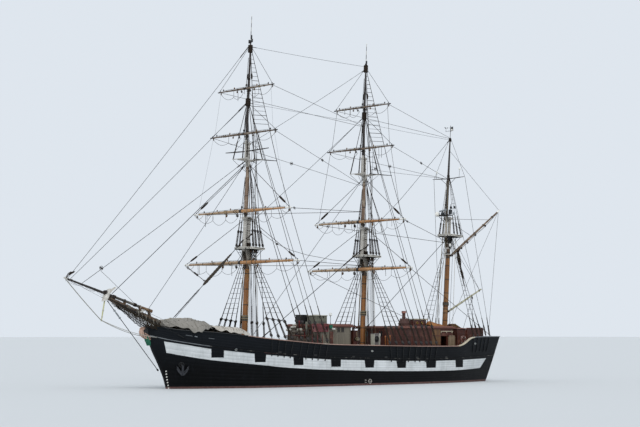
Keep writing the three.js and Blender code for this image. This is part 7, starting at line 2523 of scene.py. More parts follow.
def make_roof_gear():
    zf, za = FH["z1"] + 0.134, AH["z1"] + 0.134
    # locker on the fore house
    B = Build()
    s0, s1, b0, b1, z0, z1 = 15.70, 16.98, -1.0, 0.1, zf, zf + 0.84
    sbox(B, s0 + 0.03, s1 - 0.03, b0 + 0.03, b1 - 0.03, z0, z1 - 0.10, "locker_grey", 0.03)
    n = 6
    for i in range(n):
        a = lerp(s0, s1, i / n)
        for side, b in ((1, b1), (-1, b0)):
            sbox(B, a + 0.008, a + (s1 - s0) / n - 0.008, b - side * 0.035, b - side * 0.004, z0 + 0.08, z1 - 0.16, "locker_grey", 0.2)
    for i in range(4):
        a = lerp(b0, b1, i / 4)
        for side, s in ((1, s1), (-1, s0)):
            sbox(B, s - side * 0.035, s - side * 0.004, a + 0.008, a + (b1 - b0) / 4 - 0.008, z0 + 0.08, z1 - 0.16, "locker_grey", 0.2)
    for s in (s0 + 0.03, s1 - 0.03):
        for b in (b0 + 0.03, b1 - 0.03):
            sbox(B, s - 0.035, s + 0.035, b - 0.035, b + 0.035, z0, z1 - 0.08, "locker_grey", 0.15)
    for i in range(5):                              # lid in planks, rising a little forward
        a = lerp(b0 - 0.04, b1 + 0.04, i / 5)
        sbox(B, s0 - 0.05, s1 + 0.05, a + 0.006, a + (b1 - b0 + 0.08) / 5 - 0.006, z1 - 0.10, z1 - 0.02 - 0.01 * (i % 2), "locker_lid", 0.2)
    sbox(B, s0 + 0.02, s0 + 0.42, b1 - 0.40, b1 + 0.0, z1 - 0.03, z1 + 0.02, "locker_lid", 0.2)
    for s in (s0 + 0.4, s1 - 0.4):
        sbox(B, s - 0.04, s + 0.04, b1 - 0.02, b1 + 0.02, z1 - 0.26, z1 - 0.06, "iron", 0.2)
    B.done("roof_locker_boards", replaces=("roof_locker",))
    # black box, lamp post, lattice panel, clutter on the fore house
    B = Build()
    sbox(B, 15.22, 16.02, -1.98, -1.24, zf, zf + 0.84, "house_black", 0.06)
    for z in (zf + 0.1, zf + 0.45, zf + 0.78):
        sbox(B, 15.20, 16.04, -2.0, -1.22, z - 0.02, z + 0.02, "house_black", 0.3)
    sbox(B, 15.20, 16.04, -2.0, -1.22, zf + 0.82, zf + 0.86, "house_black", 0.3)
    B.lathe(V(16.38, 1.2, zf), V(16.38, 1.2, 5.86), [[0, 0.05 * K], [0.1, 0.035 * K], [1, 0.03 * K]], "galv", 10)
    B.lathe(V(16.38, 1.2, 5.80), V(16.38, 1.2, 6.08), [[0, 0.03 * K], [0.2, 0.13 * K], [0.75, 0.13 * K], [1, 0.04 * K]], ["galv", "lamp", "white"], 16)
    # lattice: dark red slats crossed by paler ones, leaning at the port forward corner of the roof
    for i in range(13):
        a = 13.42 + i * 0.125
        lo, hi = a, a + 0.55
        for q, key in ((1, "red_lattice"), (-1, "lattice_pale")):
            p0 = V(lo if q > 0 else hi, 2.20 + (0.012 if q > 0 else -0.012), 4.52)
            p1 = V(hi if q > 0 else lo, 2.20 + (0.012 if q > 0 else -0.012), 5.12)
            if hi < 15.2:
                B.tube([p0, p1], 0.028 * K, key, 4)
    sbox(B, 13.38, 15.20, 2.16, 2.24, 5.10, 5.16, "red_lattice")
    sbox(B, 13.38, 15.20, 2.16, 2.24, 4.48, 4.54, "red_lattice")
    for s in (13.42, 14.0, 14.6, 15.16):
        sbox(B, s - 0.03, s + 0.03, 2.165, 2.235, 4.48 if s > 14.4 else 3.3, 5.16, "red_lattice")
    # dark sheet behind the slats: painted shade between them
    sbox(B, 13.42, 15.16, 2.13, 2.15, 4.56, 5.08, "lattice_dark", 0.05)
    # red bits and a grey-white post forward of it
    for b, zt in ((-0.35, 5.42), (0.0, 5.32), (0.35, 5.05)):
        B.lathe(V(14.22, b, 2.4), V(14.22, b, zt), [[0, 0.07 * K], [0.96, 0.065 * K], [0.97, 0.085 * K], [1, 0.07 * K]], "red" if b else "redwood", 12)
    sbox(B, 14.16, 14.28, -0.55, 0.55, 4.55, 4.67, "redwood_x")
    B.lathe(V(14.05, 0.75, 2.4), V(14.05, 0.75, 5.32), [[0, 0.06 * K], [0.76, 0.06 * K], [0.78, 0.095 * K], [0.97, 0.095 * K], [1, 0.06 * K]], ["galv", "galv", "locker_grey", "locker_grey"], 14)
    B.box(V(15.78, 2.22, 4.72), (0.36 * K, 0.14 * K, 0.13 * K), "white", bev=0.2)
    B.torus(V(15.62, 2.30, 4.74), (0, 1, 0), 0.06 * K, 0.02 * K, "white", 14, 6)
    B.done("fore_roof_gear")
    rows = []
    for i in range(15):
        f = i / 14
        rows.append([V(lerp(15.30, 15.66, j / 12) + 0.02 * math.sin(f * 7 + j), 2.20 + 0.04 * math.sin(j * 1.2 + f * 2.2) * (0.3 + f) + 0.02, 5.06 - 0.26 * f - 0.10 * f * (j / 12) + 0.02 * math.sin(j * 0.8)) for j in range(13)])
    cloth_grid("roof_green_cloth", rows, "green")
    # white, pinkish and grey gear heaped forward of the fore house: a folded raft cradle, fenders and coils
    B = Build()
    for s, b, z, r, key in ((12.15, 0.65, 4.62, 0.10, "white_worn"), (12.45, 0.85, 4.85, 0.08, "white_worn"), (12.75, 0.75, 5.05, 0.07, "white_worn"), (12.3, 1.25, 4.45, 0.11, "wall_grey"), (12.95, 1.1, 4.62, 0.12, "locker_lid"), (12.7, 1.5, 4.35, 0.13, "wall_grey")):
        B.lathe(V(s - 0.28, b, z), V(s + 0.28, b + 0.05, z + 0.04), [[0, 0.3 * r * K], [0.15, r * K], [0.5, 1.05 * r * K], [0.85, r * K], [1, 0.3 * r * K]], key, 16)
        B.torus(V(s, b, z), (1, 0.1, 0.1), r * 1.07 * K, 0.02 * K, "grey_rope", 18, 5)
    sbox(B, 12.15, 13.35, 0.35, 1.75, 4.12, 4.20, "wall_brown_x")
    for s in (12.25, 13.25):
        for b in (0.45, 1.65):
            sbox(B, s - 0.05, s + 0.05, b - 0.05, b + 0.05, 2.4, 4.13, "wall_grey")
    sbox(B, 12.22, 13.28, 0.42, 1.68, 3.15, 3.95, "wall_brown_f", 0.08)
    B.done("deck_stowage")
    # companion on the aft house
    B = Build()
    s0, s1, b0, b1 = 27.0, 28.65, -0.75, 0.55
    sbox(B, s0 + 0.02, s1 - 0.02, b0 + 0.02, b1 - 0.02, za, za + 0.64, "wall_brown", 0.04)
    for i in range(8):
        a = lerp(s0, s1, i / 8)
        for side, b in ((1, b1), (-1, b0)):
            sbox(B, a + 0.008, a + 0.198, b - side * 0.03, b - side * 0.002, za + 0.05, za + 0.60, "redwood", 0.2)
    for i in range(6):
        a = lerp(b0, b1, i / 6)
        sbox(B, s0 + 0.002, s0 + 0.03, a + 0.008, a + 0.208, za + 0.05, za + 0.60, "golden" if i in (2, 3) else "redwood", 0.2)
    for i in range(7):
        a = lerp(b0 - 0.10, b1 + 0.10, i / 7)
        sbox(B, 26.9, 28.75, a + 0.005, a + 1.5 / 7 - 0.005, za + 0.625, za + 0.715, "tank_top", 0.2)
    for b in (b0 - 0.1, b1 + 0.1):
        sbox(B, 26.9, 28.75, b - 0.01, b + 0.012, za + 0.61, za + 0.72, "cream", 0.2)
    for s in (27.5, 28.1):
        portlight(B, V(s, b1 + 0.0, za + 0.34), (0, 1, 0), 0.09)
    B.done("companion_boards", replaces=("companion",))
    # cowl on its box: funnel of the galley
    B = Build()
    c = V(26.35, 0, za)
    up = Vector((0, 0, K))
    B.lathe(c, c + up * 1.4, [[0, 0.15 * K], [0.02, 0.19 * K], [0.05, 0.155 * K], [0.55, 0.15 * K], [0.56, 0.175 * K], [0.60, 0.175 * K], [0.61, 0.15 * K], [0.84, 0.15 * K], [0.86, 0.20 * K], [0.97, 0.205 * K], [1, 0.16 * K]],
            ["cowl"] * 8 + ["cowl_in", "cowl"], 22)
    for k in range(4):
        t = k * math.pi / 2 + 0.4
        B.tube([c + Vector((math.cos(t) * 0.155, math.sin(t) * 0.155, 1.2)) * K, c + Vector((math.cos(t) * 0.20, math.sin(t) * 0.20, 1.34)) * K], 0.012 * K, "iron", 5)
    B.done("galley_funnel_pipe", replaces=("galley_funnel",))
    B = Build()
    # box round the pipe's foot, sloping in
    o0 = [V(26.02, -0.36, za), V(26.80, -0.36, za), V(26.80, 0.36, za), V(26.02, 0.36, za)]
    z = za + 0.74
    o1 = [V(26.13, -0.24, z), V(26.57, -0.24, z), V(26.57, 0.24, z), V(26.13, 0.24, z)]
    ring = [[o0[k] for k in range(4)], [p + Vector((0, 0, 0.30 * K)) for p in o0], [p for p in o1]]
    B.grid(ring, "cowl", smooth=False, closed=True, flip=True)
    B.add(list(o1), [[3, 2, 1, 0]], "cowl", False)
    B.add(list(o0), [[0, 1, 2, 3]], "cowl", False)
    sbox(B, 25.99, 26.83, -0.39, 0.39, za + 0.26, za + 0.32, "cowl")
    sbox(B, 25.99, 26.83, -0.39, 0.39, za, za + 0.06, "cowl")
    B.done("aft_roof_gear")
    # peaked orange cover abaft the companion
    rows = []
    for i in range(37):
        f = i / 36
        s = lerp(28.25, 29.85, f)
        pk = za + lerp(0.50, 0.22, min(1.0, max(0.0, (f - 0.12) / 0.75))) * min(1.0, f / 0.12 + 0.35)
        row = []
        for j in range(33):
            t = j / 32
            b = lerp(1.62, 0.62, t)
            z = za + 0.03 + (pk - za - 0.03) * (1 - abs(2 * t - 1) ** 1.5) + 0.03 * mnoise.noise(Vector((s * 2.2, b * 3.0, 4.0))) + 0.015 * mnoise.noise(Vector((s * 6.0, b * 7.0, 9.0)))
            if t in (0, 1):
                z = za + 0.02
            row.append(V(s + 0.03 * mnoise.noise(Vector((b * 3, f * 3, 1.0))), b, z))
        rows.append(row)
    cloth_grid("roof_orange_cover", rows, "orange")


make_roof_gear()


def make_bridge():
    """Narrow walkway between the roofs on the starboard side, with its posts."""
    B = Build()
    z = 4.95
    for b in (-0.98, -1.92):
        sbox(B, 18.06, 22.44, b - 0.05, b + 0.05, z - 0.09, z, "eaves")
    for i in range(5):
        a = -1.92 + 0.19 * i
        sbox(B, 18.08, 22.42, a + 0.0, a + 0.18, z + 0.002, z + 0.04, "eaves", 0.2)
    for s in (18.7, 20.2, 21.9):
        for b in (-0.98, -1.92):
            sbox(B, s - 0.05, s + 0.05, b - 0.05, b + 0.05, deckAt(s), z - 0.1, "wall_brown")
        sbox(B, s - 0.05, s + 0.05, -1.92, -0.98, z - 0.2, z - 0.11, "wall_brown_x")
    B.done("walkway")


make_bridge()


def coil(B, c, side, key="manila", r=0.15, n=3):
    """Coiled line hung on a pin."""
    for i in range(n):
        pts = []
        w = r * (1 + 0.08 * i)
        for k in range(12):
            t = 2 * math.pi * k / 12
            pts.append(c + Vector((math.cos(t) * w * 0.55, -side * (0.035 + 0.025 * i), -w * 1.15 + math.sin(t) * w * 1.25)) * K)
        B.tube(pts, 0.017 * K, key, 5, closed=True)


def make_rails():
    # pin rails inside the bulwarks, their pins and coils
    spans = (("fore", 8.0, 13.6), ("main", 20.9, 26.6), ("mizzen", 31.9, 34.2))
    for side, tag in ((1, "port"), (-1, "starboard")):
        B = Build()
        for name, a, b in spans:
            rows = []
            for s in frange(a, b, 0.3):
                zr = railAt(s) - 0.22
                hi = innerAt(s, zr) - 0.20
                ho = innerAt(s, zr) + 0.01
                rows.append([V(s, side * hi, zr), V(s, side * ho, zr), V(s, side * ho, zr + 0.07), V(s, side * hi, zr + 0.07)])
            B.grid(rows, "redwood_x", smooth=False, closed=True, flip=side > 0)
            B.add(list(rows[0]), [[0, 1, 2, 3] if side < 0 else [3, 2, 1, 0]], "redwood_x", False)
            B.add(list(rows[-1]), [[3, 2, 1, 0] if side < 0 else [0, 1, 2, 3]], "redwood_x", False)
            for i, s in enumerate(frange(a + 0.2, b - 0.2, 0.42)):
                zr = railAt(s) - 0.22
                bb = innerAt(s, zr) - 0.11
                B.lathe(V(s, side * bb, zr - 0.20), V(s, side * bb, zr + 0.24), [[0, 0.014 * K], [0.45, 0.018 * K], [0.62, 0.020 * K], [0.66, 0.030 * K], [0.85, 0.026 * K], [0.95, 0.032 * K], [1, 0.016 * K]], "rail_wood", 8)
                if i % 4 != 3:
                    coil(B, V(s, side * (bb - 0.03), zr + 0.10), side, ("manila", "grey_rope", "tarred")[i % 3], 0.14 + 0.03 * ((i * 7) % 3), 2 + i % 2)
        B.done(f"pin_rail_{tag}")
        # bulwark stanchions and waterway
        B = Build()
        for s in frange(6.6, 30.2, 1.18):
            z0_, z1_ = deckAt(s), railAt(s)
            b0_, b1_ = innerAt(s, z0_ + 0.1), innerAt(s, z1_ - 0.05)
            B.tube([V(s, side * (b0_ - 0.07), z0_ - 0.02), V(s, side * (b1_ - 0.06), z1_ - 0.01)], 0.075 * K, "cream", 4)
        for a, b in ((6.6, 30.2),):
            rows = []
            for s in frange(a, b, 0.4):
                z = deckAt(s) + 0.002
                hi = innerAt(s, z) - 0.28
                ho = innerAt(s, z) + 0.02
                rows.append([V(s, side * hi, z), V(s, side * ho, z), V(s, side * ho, z + 0.10), V(s, side * (hi + 0.05), z + 0.07)])
            B.grid(rows, "wall_grey", smooth=False, closed=True, flip=side > 0)
            B.add(list(rows[0]), [[0, 1, 2, 3] if side < 0 else [3, 2, 1, 0]], "wall_grey", False)
            B.add(list(rows[-1]), [[3, 2, 1, 0] if side < 0 else [0, 1, 2, 3]], "wall_grey", False)
        B.done(f"bulwark_frames_{tag}")
    # fife rails at the feet of the fore, main and mizzen masts
    for name, s, z in (("fore", 7.83, deckAt(7.83)), ("main", 21.17, deckAt(21.17)), ("mizzen", 31.46, POOP_Z)):
        B = Build()
        a = 0.62
        for q0, q1, side in ((s - 0.6, s + 0.75, 1), (s - 0.6, s + 0.75, -1)):
            sbox(B, q0, q1, side * (a - 0.08), side * (a + 0.08), z + 0.88, z + 0.98, "redwood_x", 0.2)
            for q in (q0 + 0.1, q1 - 0.1):
                B.lathe(V(q, side * a, z - 0.01), V(q, side * a, z + 0.88), [[0, 0.09 * K], [0.1, 0.07 * K], [0.3, 0.05 * K], [0.5, 0.075 * K], [0.7, 0.05 * K], [0.9, 0.07 * K], [1, 0.09 * K]], "redwood", 12)
            for i in range(4):
                q = lerp(q0 + 0.22, q1 - 0.22, i / 3)
                B.lathe(V(q, side * a, z + 0.70), V(q, side * a, z + 1.20), [[0, 0.014 * K], [0.5, 0.018 * K], [0.6, 0.028 * K], [0.9, 0.03 * K], [1, 0.014 * K]], "rail_wood", 8)
                coil(B, V(q, side * (a + 0.06), z + 1.02), -side, ("manila", "grey_rope")[i % 2], 0.15, 3)
        sbox(B, s + 0.60, s + 0.76, -a - 0.08, a + 0.08, z + 0.88, z + 0.98, "redwood_x", 0.2)
        # mast coat: canvas collar
        B.lathe(V(s, 0, z - 0.01), V(s, 0, z + 0.35), [[0, 0.42 * K], [0.2, 0.40 * K], [0.6, 0.34 * K], [1, 0.31 * K]], "canvas_grey", 26, caps=False)
        B.done(f"fife_rail_{name}")


make_rails()


def hatch(name, s0, s1, half):
    B = Build()
    z = deckAt((s0 + s1) / 2)
    for side in (1, -1):
        sbox(B, s0, s1, side * (half - 0.08), side * half, z - 0.02, z + 0.42, "redwood_x")
    for s, d in ((s0, 1), (s1, -1)):
        sbox(B, s, s + d * 0.08, -half, half, z - 0.02, z + 0.42, "redwood")
    # cover boards laid fore and aft over the coaming
    n = 9
    for i in range(n):
        a = lerp(-half + 0.02, half - 0.02, i / n)
        sbox(B, s0 + 0.02, s1 - 0.02, a + 0.008, a + (2 * half - 0.04) / n - 0.008, z + 0.39, z + 0.45 + 0.008 * (i % 2), "hatch_cover", 0.15)
    for side in (1, -1):
        sbox(B, s0, s1, side * (half + 0.035), side * (half + 0.06), z + 0.26, z + 0.32, "steel_grey")
        for i in range(5):
            s = lerp(s0 + 0.15, s1 - 0.15, i / 4)
            sbox(B, s - 0.04, s + 0.04, side * (half + 0.03), side * (half + 0.10), z + 0.24, z + 0.34, "iron", 0.2)
    for s in (lerp(s0, s1, 0.33), lerp(s0, s1, 0.67)):
        sbox(B, s - 0.04, s + 0.04, -half - 0.05, half + 0.05, z + 0.455, z + 0.50, "steel_grey", 0.25)
    B.done(name)


hatch("hatch_fore", 10.2, 12.1, 0.95)
hatch("hatch_main", 19.2, 20.35, 0.80)


def make_deck_gear():
    # winch box with a round opening, white and orange-brown posts by the port rail
    B = Build()
    z = deckAt(19.9)
    sbox(B, 19.62, 20.20, 2.78, 3.15, z, 4.30, "winch_grey", 0.05)
    for s in (19.62, 20.20):
        sbox(B, s - 0.03, s + 0.03, 2.75, 3.18, z, 4.33, "locker_lid", 0.2)
    sbox(B, 19.58, 20.24, 2.75, 3.19, 4.28, 4.35, "winch_grey", 0.2)
    B.torus(V(19.92, 3.16, 3.86), (0, 1, 0), 0.23 * K, 0.04 * K, "iron", 26, 8)
    # dark disc in the round opening: painted shade inside it
    B.lathe(V(19.92, 3.14, 3.86), V(19.92, 3.17, 3.86), [[0, 0.21 * K], [1, 0.21 * K]], "tarpaint_and_hole_shade", 26)
    B.lathe(V(20.42, 3.0, z), V(20.42, 3.0, 4.35), [[0, 0.07 * K], [0.9, 0.06 * K], [0.92, 0.09 * K], [1, 0.05 * K]], "white_worn", 12)
    for i, s in enumerate((21.05, 21.35, 21.62)):
        B.lathe(V(s, 3.05, z), V(s, 3.05, (4.15, 4.30, 4.22)[i]), [[0, 0.06 * K], [0.9, 0.055 * K], [0.93, 0.085 * K], [1, 0.04 * K]], "post_orange", 12)
    B.done("port_winch_box")
    # hand pump abaft the main mast
    B = Build()
    z = deckAt(22.1)
    for b in (-0.28, 0.28):
        B.lathe(V(22.15, b, z), V(22.15, b, z + 0.85), [[0, 0.12 * K], [0.08, 0.09 * K], [0.85, 0.09 * K], [0.9, 0.12 * K], [1, 0.12 * K]], "iron", 16)
        B.torus(V(22.15, b * 2.2, z + 1.05), (0, 1, 0), 0.30 * K, 0.025 * K, "iron", 22, 6)
        for k in range(3):
            t = k * math.pi / 3
            d = Vector((math.cos(t), 0, math.sin(t))) * 0.30 * K
            B.rod(V(22.15, b * 2.2, z + 1.05) - d, V(22.15, b * 2.2, z + 1.05) + d, 0.018 * K, "iron", 6)
    B.rod(V(22.15, -0.72, z + 1.05), V(22.15, 0.72, z + 1.05), 0.03 * K, "steel_grey", 10)
    sbox(B, 22.08, 22.22, -0.06, 0.06, z, z + 1.1, "iron")
    B.done("deck_pump")
    # bollards
    B = Build()
    for s, b in ((6.9, 2.75), (13.9, 3.35), (28.9, 3.2)):
        for side in (1, -1):
            zz = deckAt(s)
            bb = min(b, innerAt(s, zz) - 0.35) * side
            sbox(B, s - 0.42, s + 0.42, bb - 0.16, bb + 0.16, zz, zz + 0.05, "steel_grey", 0.3)
            for q in (-0.24, 0.24):
                B.lathe(V(s + q, bb, zz + 0.04), V(s + q, bb, zz + 0.55), [[0, 0.10 * K], [0.75, 0.10 * K], [0.8, 0.13 * K], [0.95, 0.13 * K], [1, 0.08 * K]], "steel_grey", 16)
    B.done("bollards")
    B = Build()                                    # ladders up to the forecastle and the poop
    for s0, z0, s1, z1 in ((7.55, deckAt(7.5), 6.55, 4.05), (30.0, deckAt(30), 30.85, 3.05)):
        for side in (1, -1):
            b = side * (2.35 if s0 < 10 else 2.55)
            for q in (-0.28, 0.28):
                B.tube([V(s0, b + q, z0), V(s1, b + q, z1)], 0.05 * K, "redwood", 4)
            n = max(2, round((z1 - z0) / 0.27))
            for i in range(1, n):
                f = i / n
                sbox(B, lerp(s0, s1, f) - 0.09, lerp(s0, s1, f) + 0.09, b - 0.28, b + 0.28, lerp(z0, z1, f) - 0.02, lerp(z0, z1, f) + 0.02, "deck_board", 0.2)
    B.done("ladders")
    # rope locker abaft the fore house, with coils hung along its side
    B = Build()
    zf = deckAt(18.5)
    sbox(B, 18.26, 18.74, 1.36, 2.06, zf, zf + 2.28, "wall_brown", 0.04)
    boards_along_s(B, 18.28, 18.72, 2.06, 1, zf + 0.05, zf + 2.24, "wall_brown", 0.16, 0.02)
    sbox(B, 18.22, 18.78, 1.32, 2.12, zf + 2.28, zf + 2.34, "wall_brown_x", 0.2)
    for i, s in enumerate((18.36, 18.54, 18.68)):
        for k in range(3):
            B.torus(V(s, 2.12 + 0.03 * k, zf + 1.62), (0, 1, 0.1), (0.11 + 0.01 * k) * K, 0.022 * K, ("tarred", "manila", "grey_rope")[i], 14, 5)
        B.tube([V(s, 2.16, zf + 1.72), V(s, 2.13, zf + 2.2)], 0.018 * K, ("tarred", "manila", "grey_rope")[i], 5)
    B.done("rope_locker")


G["deck_board"] = wood("tread_boards", (0x5A4E3C, 0x7A6C54, 0x948468), 1, 0.7, worn=0x4A4034)
make_deck_gear()


def make_poop():
    zp = POOP_Z
    # trunk with a skylight on top
    B = Build()
    s0, s1, h, z1 = 31.98, 33.20, 1.22, 4.74
    sbox(B, s0 + 0.03, s1 - 0.03, -h + 0.03, h - 0.03, zp - 0.02, z1, "wall_brown", 0.02)
    for side in (1, -1):
        boards_along_s(B, s0 + 0.04, s1 - 0.04, side * (h - 0.03), side, zp + 0.12, z1 - 0.08, "wall_brown", 0.17, 0.022)
        sbox(B, s0, s1, side * (h - 0.03), side * (h + 0.03), zp, zp + 0.12, "wall_brown_x")
        sbox(B, s0, s1, side * (h - 0.03), side * (h + 0.02), 4.30, 4.40, "wall_brown_x")
    for s, d in ((s0, -1), (s1, 1)):
        boards_along_b(B, -h + 0.05, h - 0.05, s - d * 0.03, d, zp + 0.12, z1 - 0.08, "wall_brown", 0.17, 0.022)
        sbox(B, s - d * 0.03, s + d * 0.03, -h, h, zp, zp + 0.12, "wall_brown_x")
        for side in (1, -1):
            sbox(B, s - 0.04, s + 0.04, side * h - 0.04, side * h + 0.04, zp, z1, "wall_brown")
    sbox(B, s0 - 0.08, s1 + 0.05, -h - 0.10, h + 0.10, z1, z1 + 0.08, "eaves", 0.2)
    # skylight: sloping glazed leaves
    for side in (1, -1):
        o = [V(s0 + 0.18, side * 0.72, z1 + 0.08), V(s1 - 0.18, side * 0.72, z1 + 0.08), V(s1 - 0.18, side * 0.02, z1 + 0.42), V(s0 + 0.18, side * 0.02, z1 + 0.42)]
        B.prism(o, (0, 0, -0.04 * K), "glass")
        for i in range(6):
            s = lerp(s0 + 0.18, s1 - 0.18, i / 5)
            B.tube([V(s, side * 0.74, z1 + 0.09), V(s, side * 0.01, z1 + 0.445)], 0.022 * K, "redwood", 4)
        B.tube([V(s0 + 0.16, side * 0.74, z1 + 0.09), V(s1 - 0.16, side * 0.74, z1 + 0.09)], 0.035 * K, "redwood_x", 4)
        for k in range(7):
            s = lerp(s0 + 0.26, s1 - 0.26, k / 6)
            B.tube([V(s, side * 0.66, z1 + 0.17), V(s, side * 0.10, z1 + 0.44)], 0.008 * K, "brass", 4)
    B.tube([V(s0 + 0.16, 0, z1 + 0.45), V(s1 - 0.16, 0, z1 + 0.45)], 0.04 * K, "redwood_x", 6)
    for s in (s0 + 0.18, s1 - 0.18):
        B.add([V(s, -0.74, z1 + 0.08), V(s, 0.74, z1 + 0.08), V(s, 0, z1 + 0.44), V(s + 0.03 * (1 if s < 32.6 else -1), -0.74, z1 + 0.08), V(s + 0.03 * (1 if s < 32.6 else -1), 0.74, z1 + 0.08), V(s + 0.03 * (1 if s < 32.6 else -1), 0, z1 + 0.44)],
              [[0, 2, 1], [3, 4, 5], [0, 1, 4, 3], [1, 2, 5, 4], [2, 0, 3, 5]] if s < 32.6 else [[0, 1, 2], [3, 5, 4], [0, 3, 4, 1], [1, 4, 5, 2], [2, 5, 3, 0]], "redwood", False)
    for s in (32.3, 32.9):
        portlight(B, V(s, -h - 0.015, 3.85), (0, 1, 0), 0.11)
    B.done("poop_trunk")
    # wheel box and wheel
    B = Build()
    z1 = zp + 0.95
    sbox(B, 33.77, 34.13, -0.28, 0.28, zp, z1 - 0.04, "redwood", 0.04)
    for s in (33.77, 34.13):
        for b in (-0.28, 0.28):
            sbox(B, s - 0.03, s + 0.03, b - 0.03, b + 0.03, zp, z1, "redwood", 0.2)
    sbox(B, 33.74, 34.16, -0.31, 0.31, z1 - 0.05, z1, "rail_wood", 0.25)
    for d in (-1, 1):
        sbox(B, 33.95 + d * 0.18, 33.95 + d * 0.195, -0.2, 0.2, zp + 0.14, z1 - 0.14, "wall_brown", 0.2)
    c0, c1 = V(33.78, 0, zp + 1.02), V(34.15, 0, zp + 1.02)
    B.lathe(c0, c1, [[0, 0.20 * K], [0.02, 0.28 * K], [0.12, 0.28 * K], [0.14, 0.23 * K], [0.86, 0.23 * K], [0.88, 0.28 * K], [0.98, 0.28 * K], [1, 0.20 * K]], ["redwood"] * 3 + ["manila"] + ["redwood"] * 3, 26)
    for i in range(7):
        f = 0.18 + 0.64 * i / 6
        B.torus(c0.lerp(c1, f), (1, 0, 0), 0.235 * K, 0.02 * K, "grey_rope", 24, 6)
    B.done("wheel_box", replaces=("wheel_stand",))
    B = Build()
    c, r = V(33.55, 0, zp + 1.02), 0.62
    x = Vector((1, 0, 0))
    rr = r * 0.74
    prof = [(-0.028, -0.03), (0.028, -0.03), (0.034, 0), (0.028, 0.03), (-0.028, 0.03), (-0.034, 0)]
    rows = []
    n = 48
    for k in range(n + 1):
        t = 2 * math.pi * k / n
        e = Vector((0, math.cos(t), math.sin(t)))
        rows.append([c + (e * (rr + pr_) + x * px) * K for pr_, px in prof])
    B.grid(rows[:-1] + [rows[0]], "rail_wood", smooth=False, closed=True)
    B.torus(c + x * 0.032 * K, x, rr * K, 0.010 * K, "brass", 40, 5)
    B.torus(c - x * 0.032 * K, x, rr * K, 0.010 * K, "brass", 40, 5)
    B.lathe(c - x * 0.07 * K, c + x * 0.07 * K, [[0, 0.03 * K], [0.05, 0.06 * K], [0.15, 0.095 * K], [0.85, 0.095 * K], [0.95, 0.06 * K], [1, 0.03 * K]], ["brass", "brass", "rail_wood", "brass", "brass"], 20)
    for k in range(8):
        t = k * math.pi / 4
        e = Vector((0, math.cos(t), math.sin(t)))
        B.lathe(c + e * 0.08 * K, c + e * r * K, [[0, 0.020 * K], [0.1, 0.026 * K], [0.3, 0.016 * K], [0.5, 0.026 * K], [0.62, 0.018 * K], [0.66, 0.024 * K], [0.78, 0.024 * K], [0.80, 0.014 * K], [0.92, 0.022 * K], [0.98, 0.018 * K], [1, 0.006 * K]], "rail_wood", 10)
    B.done("wheel", body="helm", replaces=("steering_wheel",))
    # weather screens at both sides of the wheel
    B = Build()
    for side in (1, -1):
        b = side * 1.26
        boards_along_s(B, 33.22, 35.30, b, side, zp + 0.10, 4.78, "wall_brown", 0.16, 0.03)
        boards_along_s(B, 33.22, 35.30, b - side * 0.03, -side, zp + 0.10, 4.78, "wall_brown", 0.16, 0.03)
        sbox(B, 33.18, 35.34, b - 0.07, b + 0.07, 4.76, 4.86, "wall_brown_x", 0.2)
        sbox(B, 33.18, 35.34, b - 0.06, b + 0.06, zp, zp + 0.10, "wall_brown_x", 0.2)
        for s in (33.22, 33.9, 34.6, 35.30):
            sbox(B, s - 0.04, s + 0.04, b - 0.08, b + 0.08, zp, 4.80, "wall_brown", 0.2)
    B.done("wheel_screens")
    # binnacle, grating, lifebuoys, ensign staff socket, stern bitts
    B = Build()
    B.lathe(V(33.22, 0.95, zp), V(33.22, 0.95, zp + 1.0), [[0, 0.16 * K], [0.06, 0.13 * K], [0.6, 0.11 * K], [0.62, 0.17 * K], [0.8, 0.18 * K], [0.95, 0.10 * K], [1, 0.02 * K]], ["redwood", "redwood", "brass", "brass", "brass", "brass"], 20)
    for i in range(8):
        sbox(B, 33.28 + 0.0, 33.70, -0.5 + i * 0.13, -0.45 + i * 0.13, zp + 0.0, zp + 0.06, "deck_board", 0.2)
    for i in range(4):
        sbox(B, 33.29 + i * 0.13, 33.33 + i * 0.13, -0.5, 0.46, zp + 0.03, zp + 0.055, "deck_board", 0.2)
    for side in (1, -1):
        for s in (34.35,):
            bb = side * 2.2
            for q in (-0.22, 0.22):
                B.lathe(V(s + q, bb, zp), V(s + q, bb, zp + 0.5), [[0, 0.10 * K], [0.75, 0.10 * K], [0.8, 0.13 * K], [0.95, 0.13 * K], [1, 0.08 * K]], "steel_grey", 16)
            sbox(B, s - 0.4, s + 0.4, bb - 0.16, bb + 0.16, zp, zp + 0.05, "steel_grey", 0.3)
    c = V(30.9, 2.95, 3.80)
    B.torus(c, (0, 1, 0.1), 0.27 * K, 0.085 * K, "redwood", 26, 10)
    for k in range(4):
        t = math.pi / 4 + k * math.pi / 2
        p = c + Vector((math.cos(t), 0, math.sin(t))) * 0.27 * K
        B.torus(p, (-math.sin(t), 0, math.cos(t)), 0.09 * K, 0.012 * K, "white", 14, 5)
    sbox(B, 30.84, 30.96, 2.80, 2.90, 3.2, 3.9, "wall_brown")
    B.done("poop_gear")


make_poop()


# ================================================================ hull fittings
def patch(B, s, z, side, outline, key, proud=0.012):
    """Thin plate lying on the hull: outline of (ds, dz) about (s, z)."""
    top = [hull_point(s + ds, z + dz, side, proud)[0] for ds, dz in outline]
    low = [hull_point(s + ds, z + dz, side, -0.02)[0] for ds, dz in outline]
    c, n_ = hull_point(s, z, side, proud)
    n = len(outline)
    faces = [[n * 2, i, (i + 1) % n] for i in range(n)] + [[i, n + i, n + (i + 1) % n, (i + 1) % n] for i in range(n)]
    a = (top[0] - c).cross(top[1] - c)
    if a.dot(n_) < 0:
        faces = [f[::-1] for f in faces]
    B.add(top + low + [c], faces, key, False)


def oval(w, h, n=20):
    return [(w / 2 * math.cos(2 * math.pi * k / n), h / 2 * math.sin(2 * math.pi * k / n)) for k in range(n)]


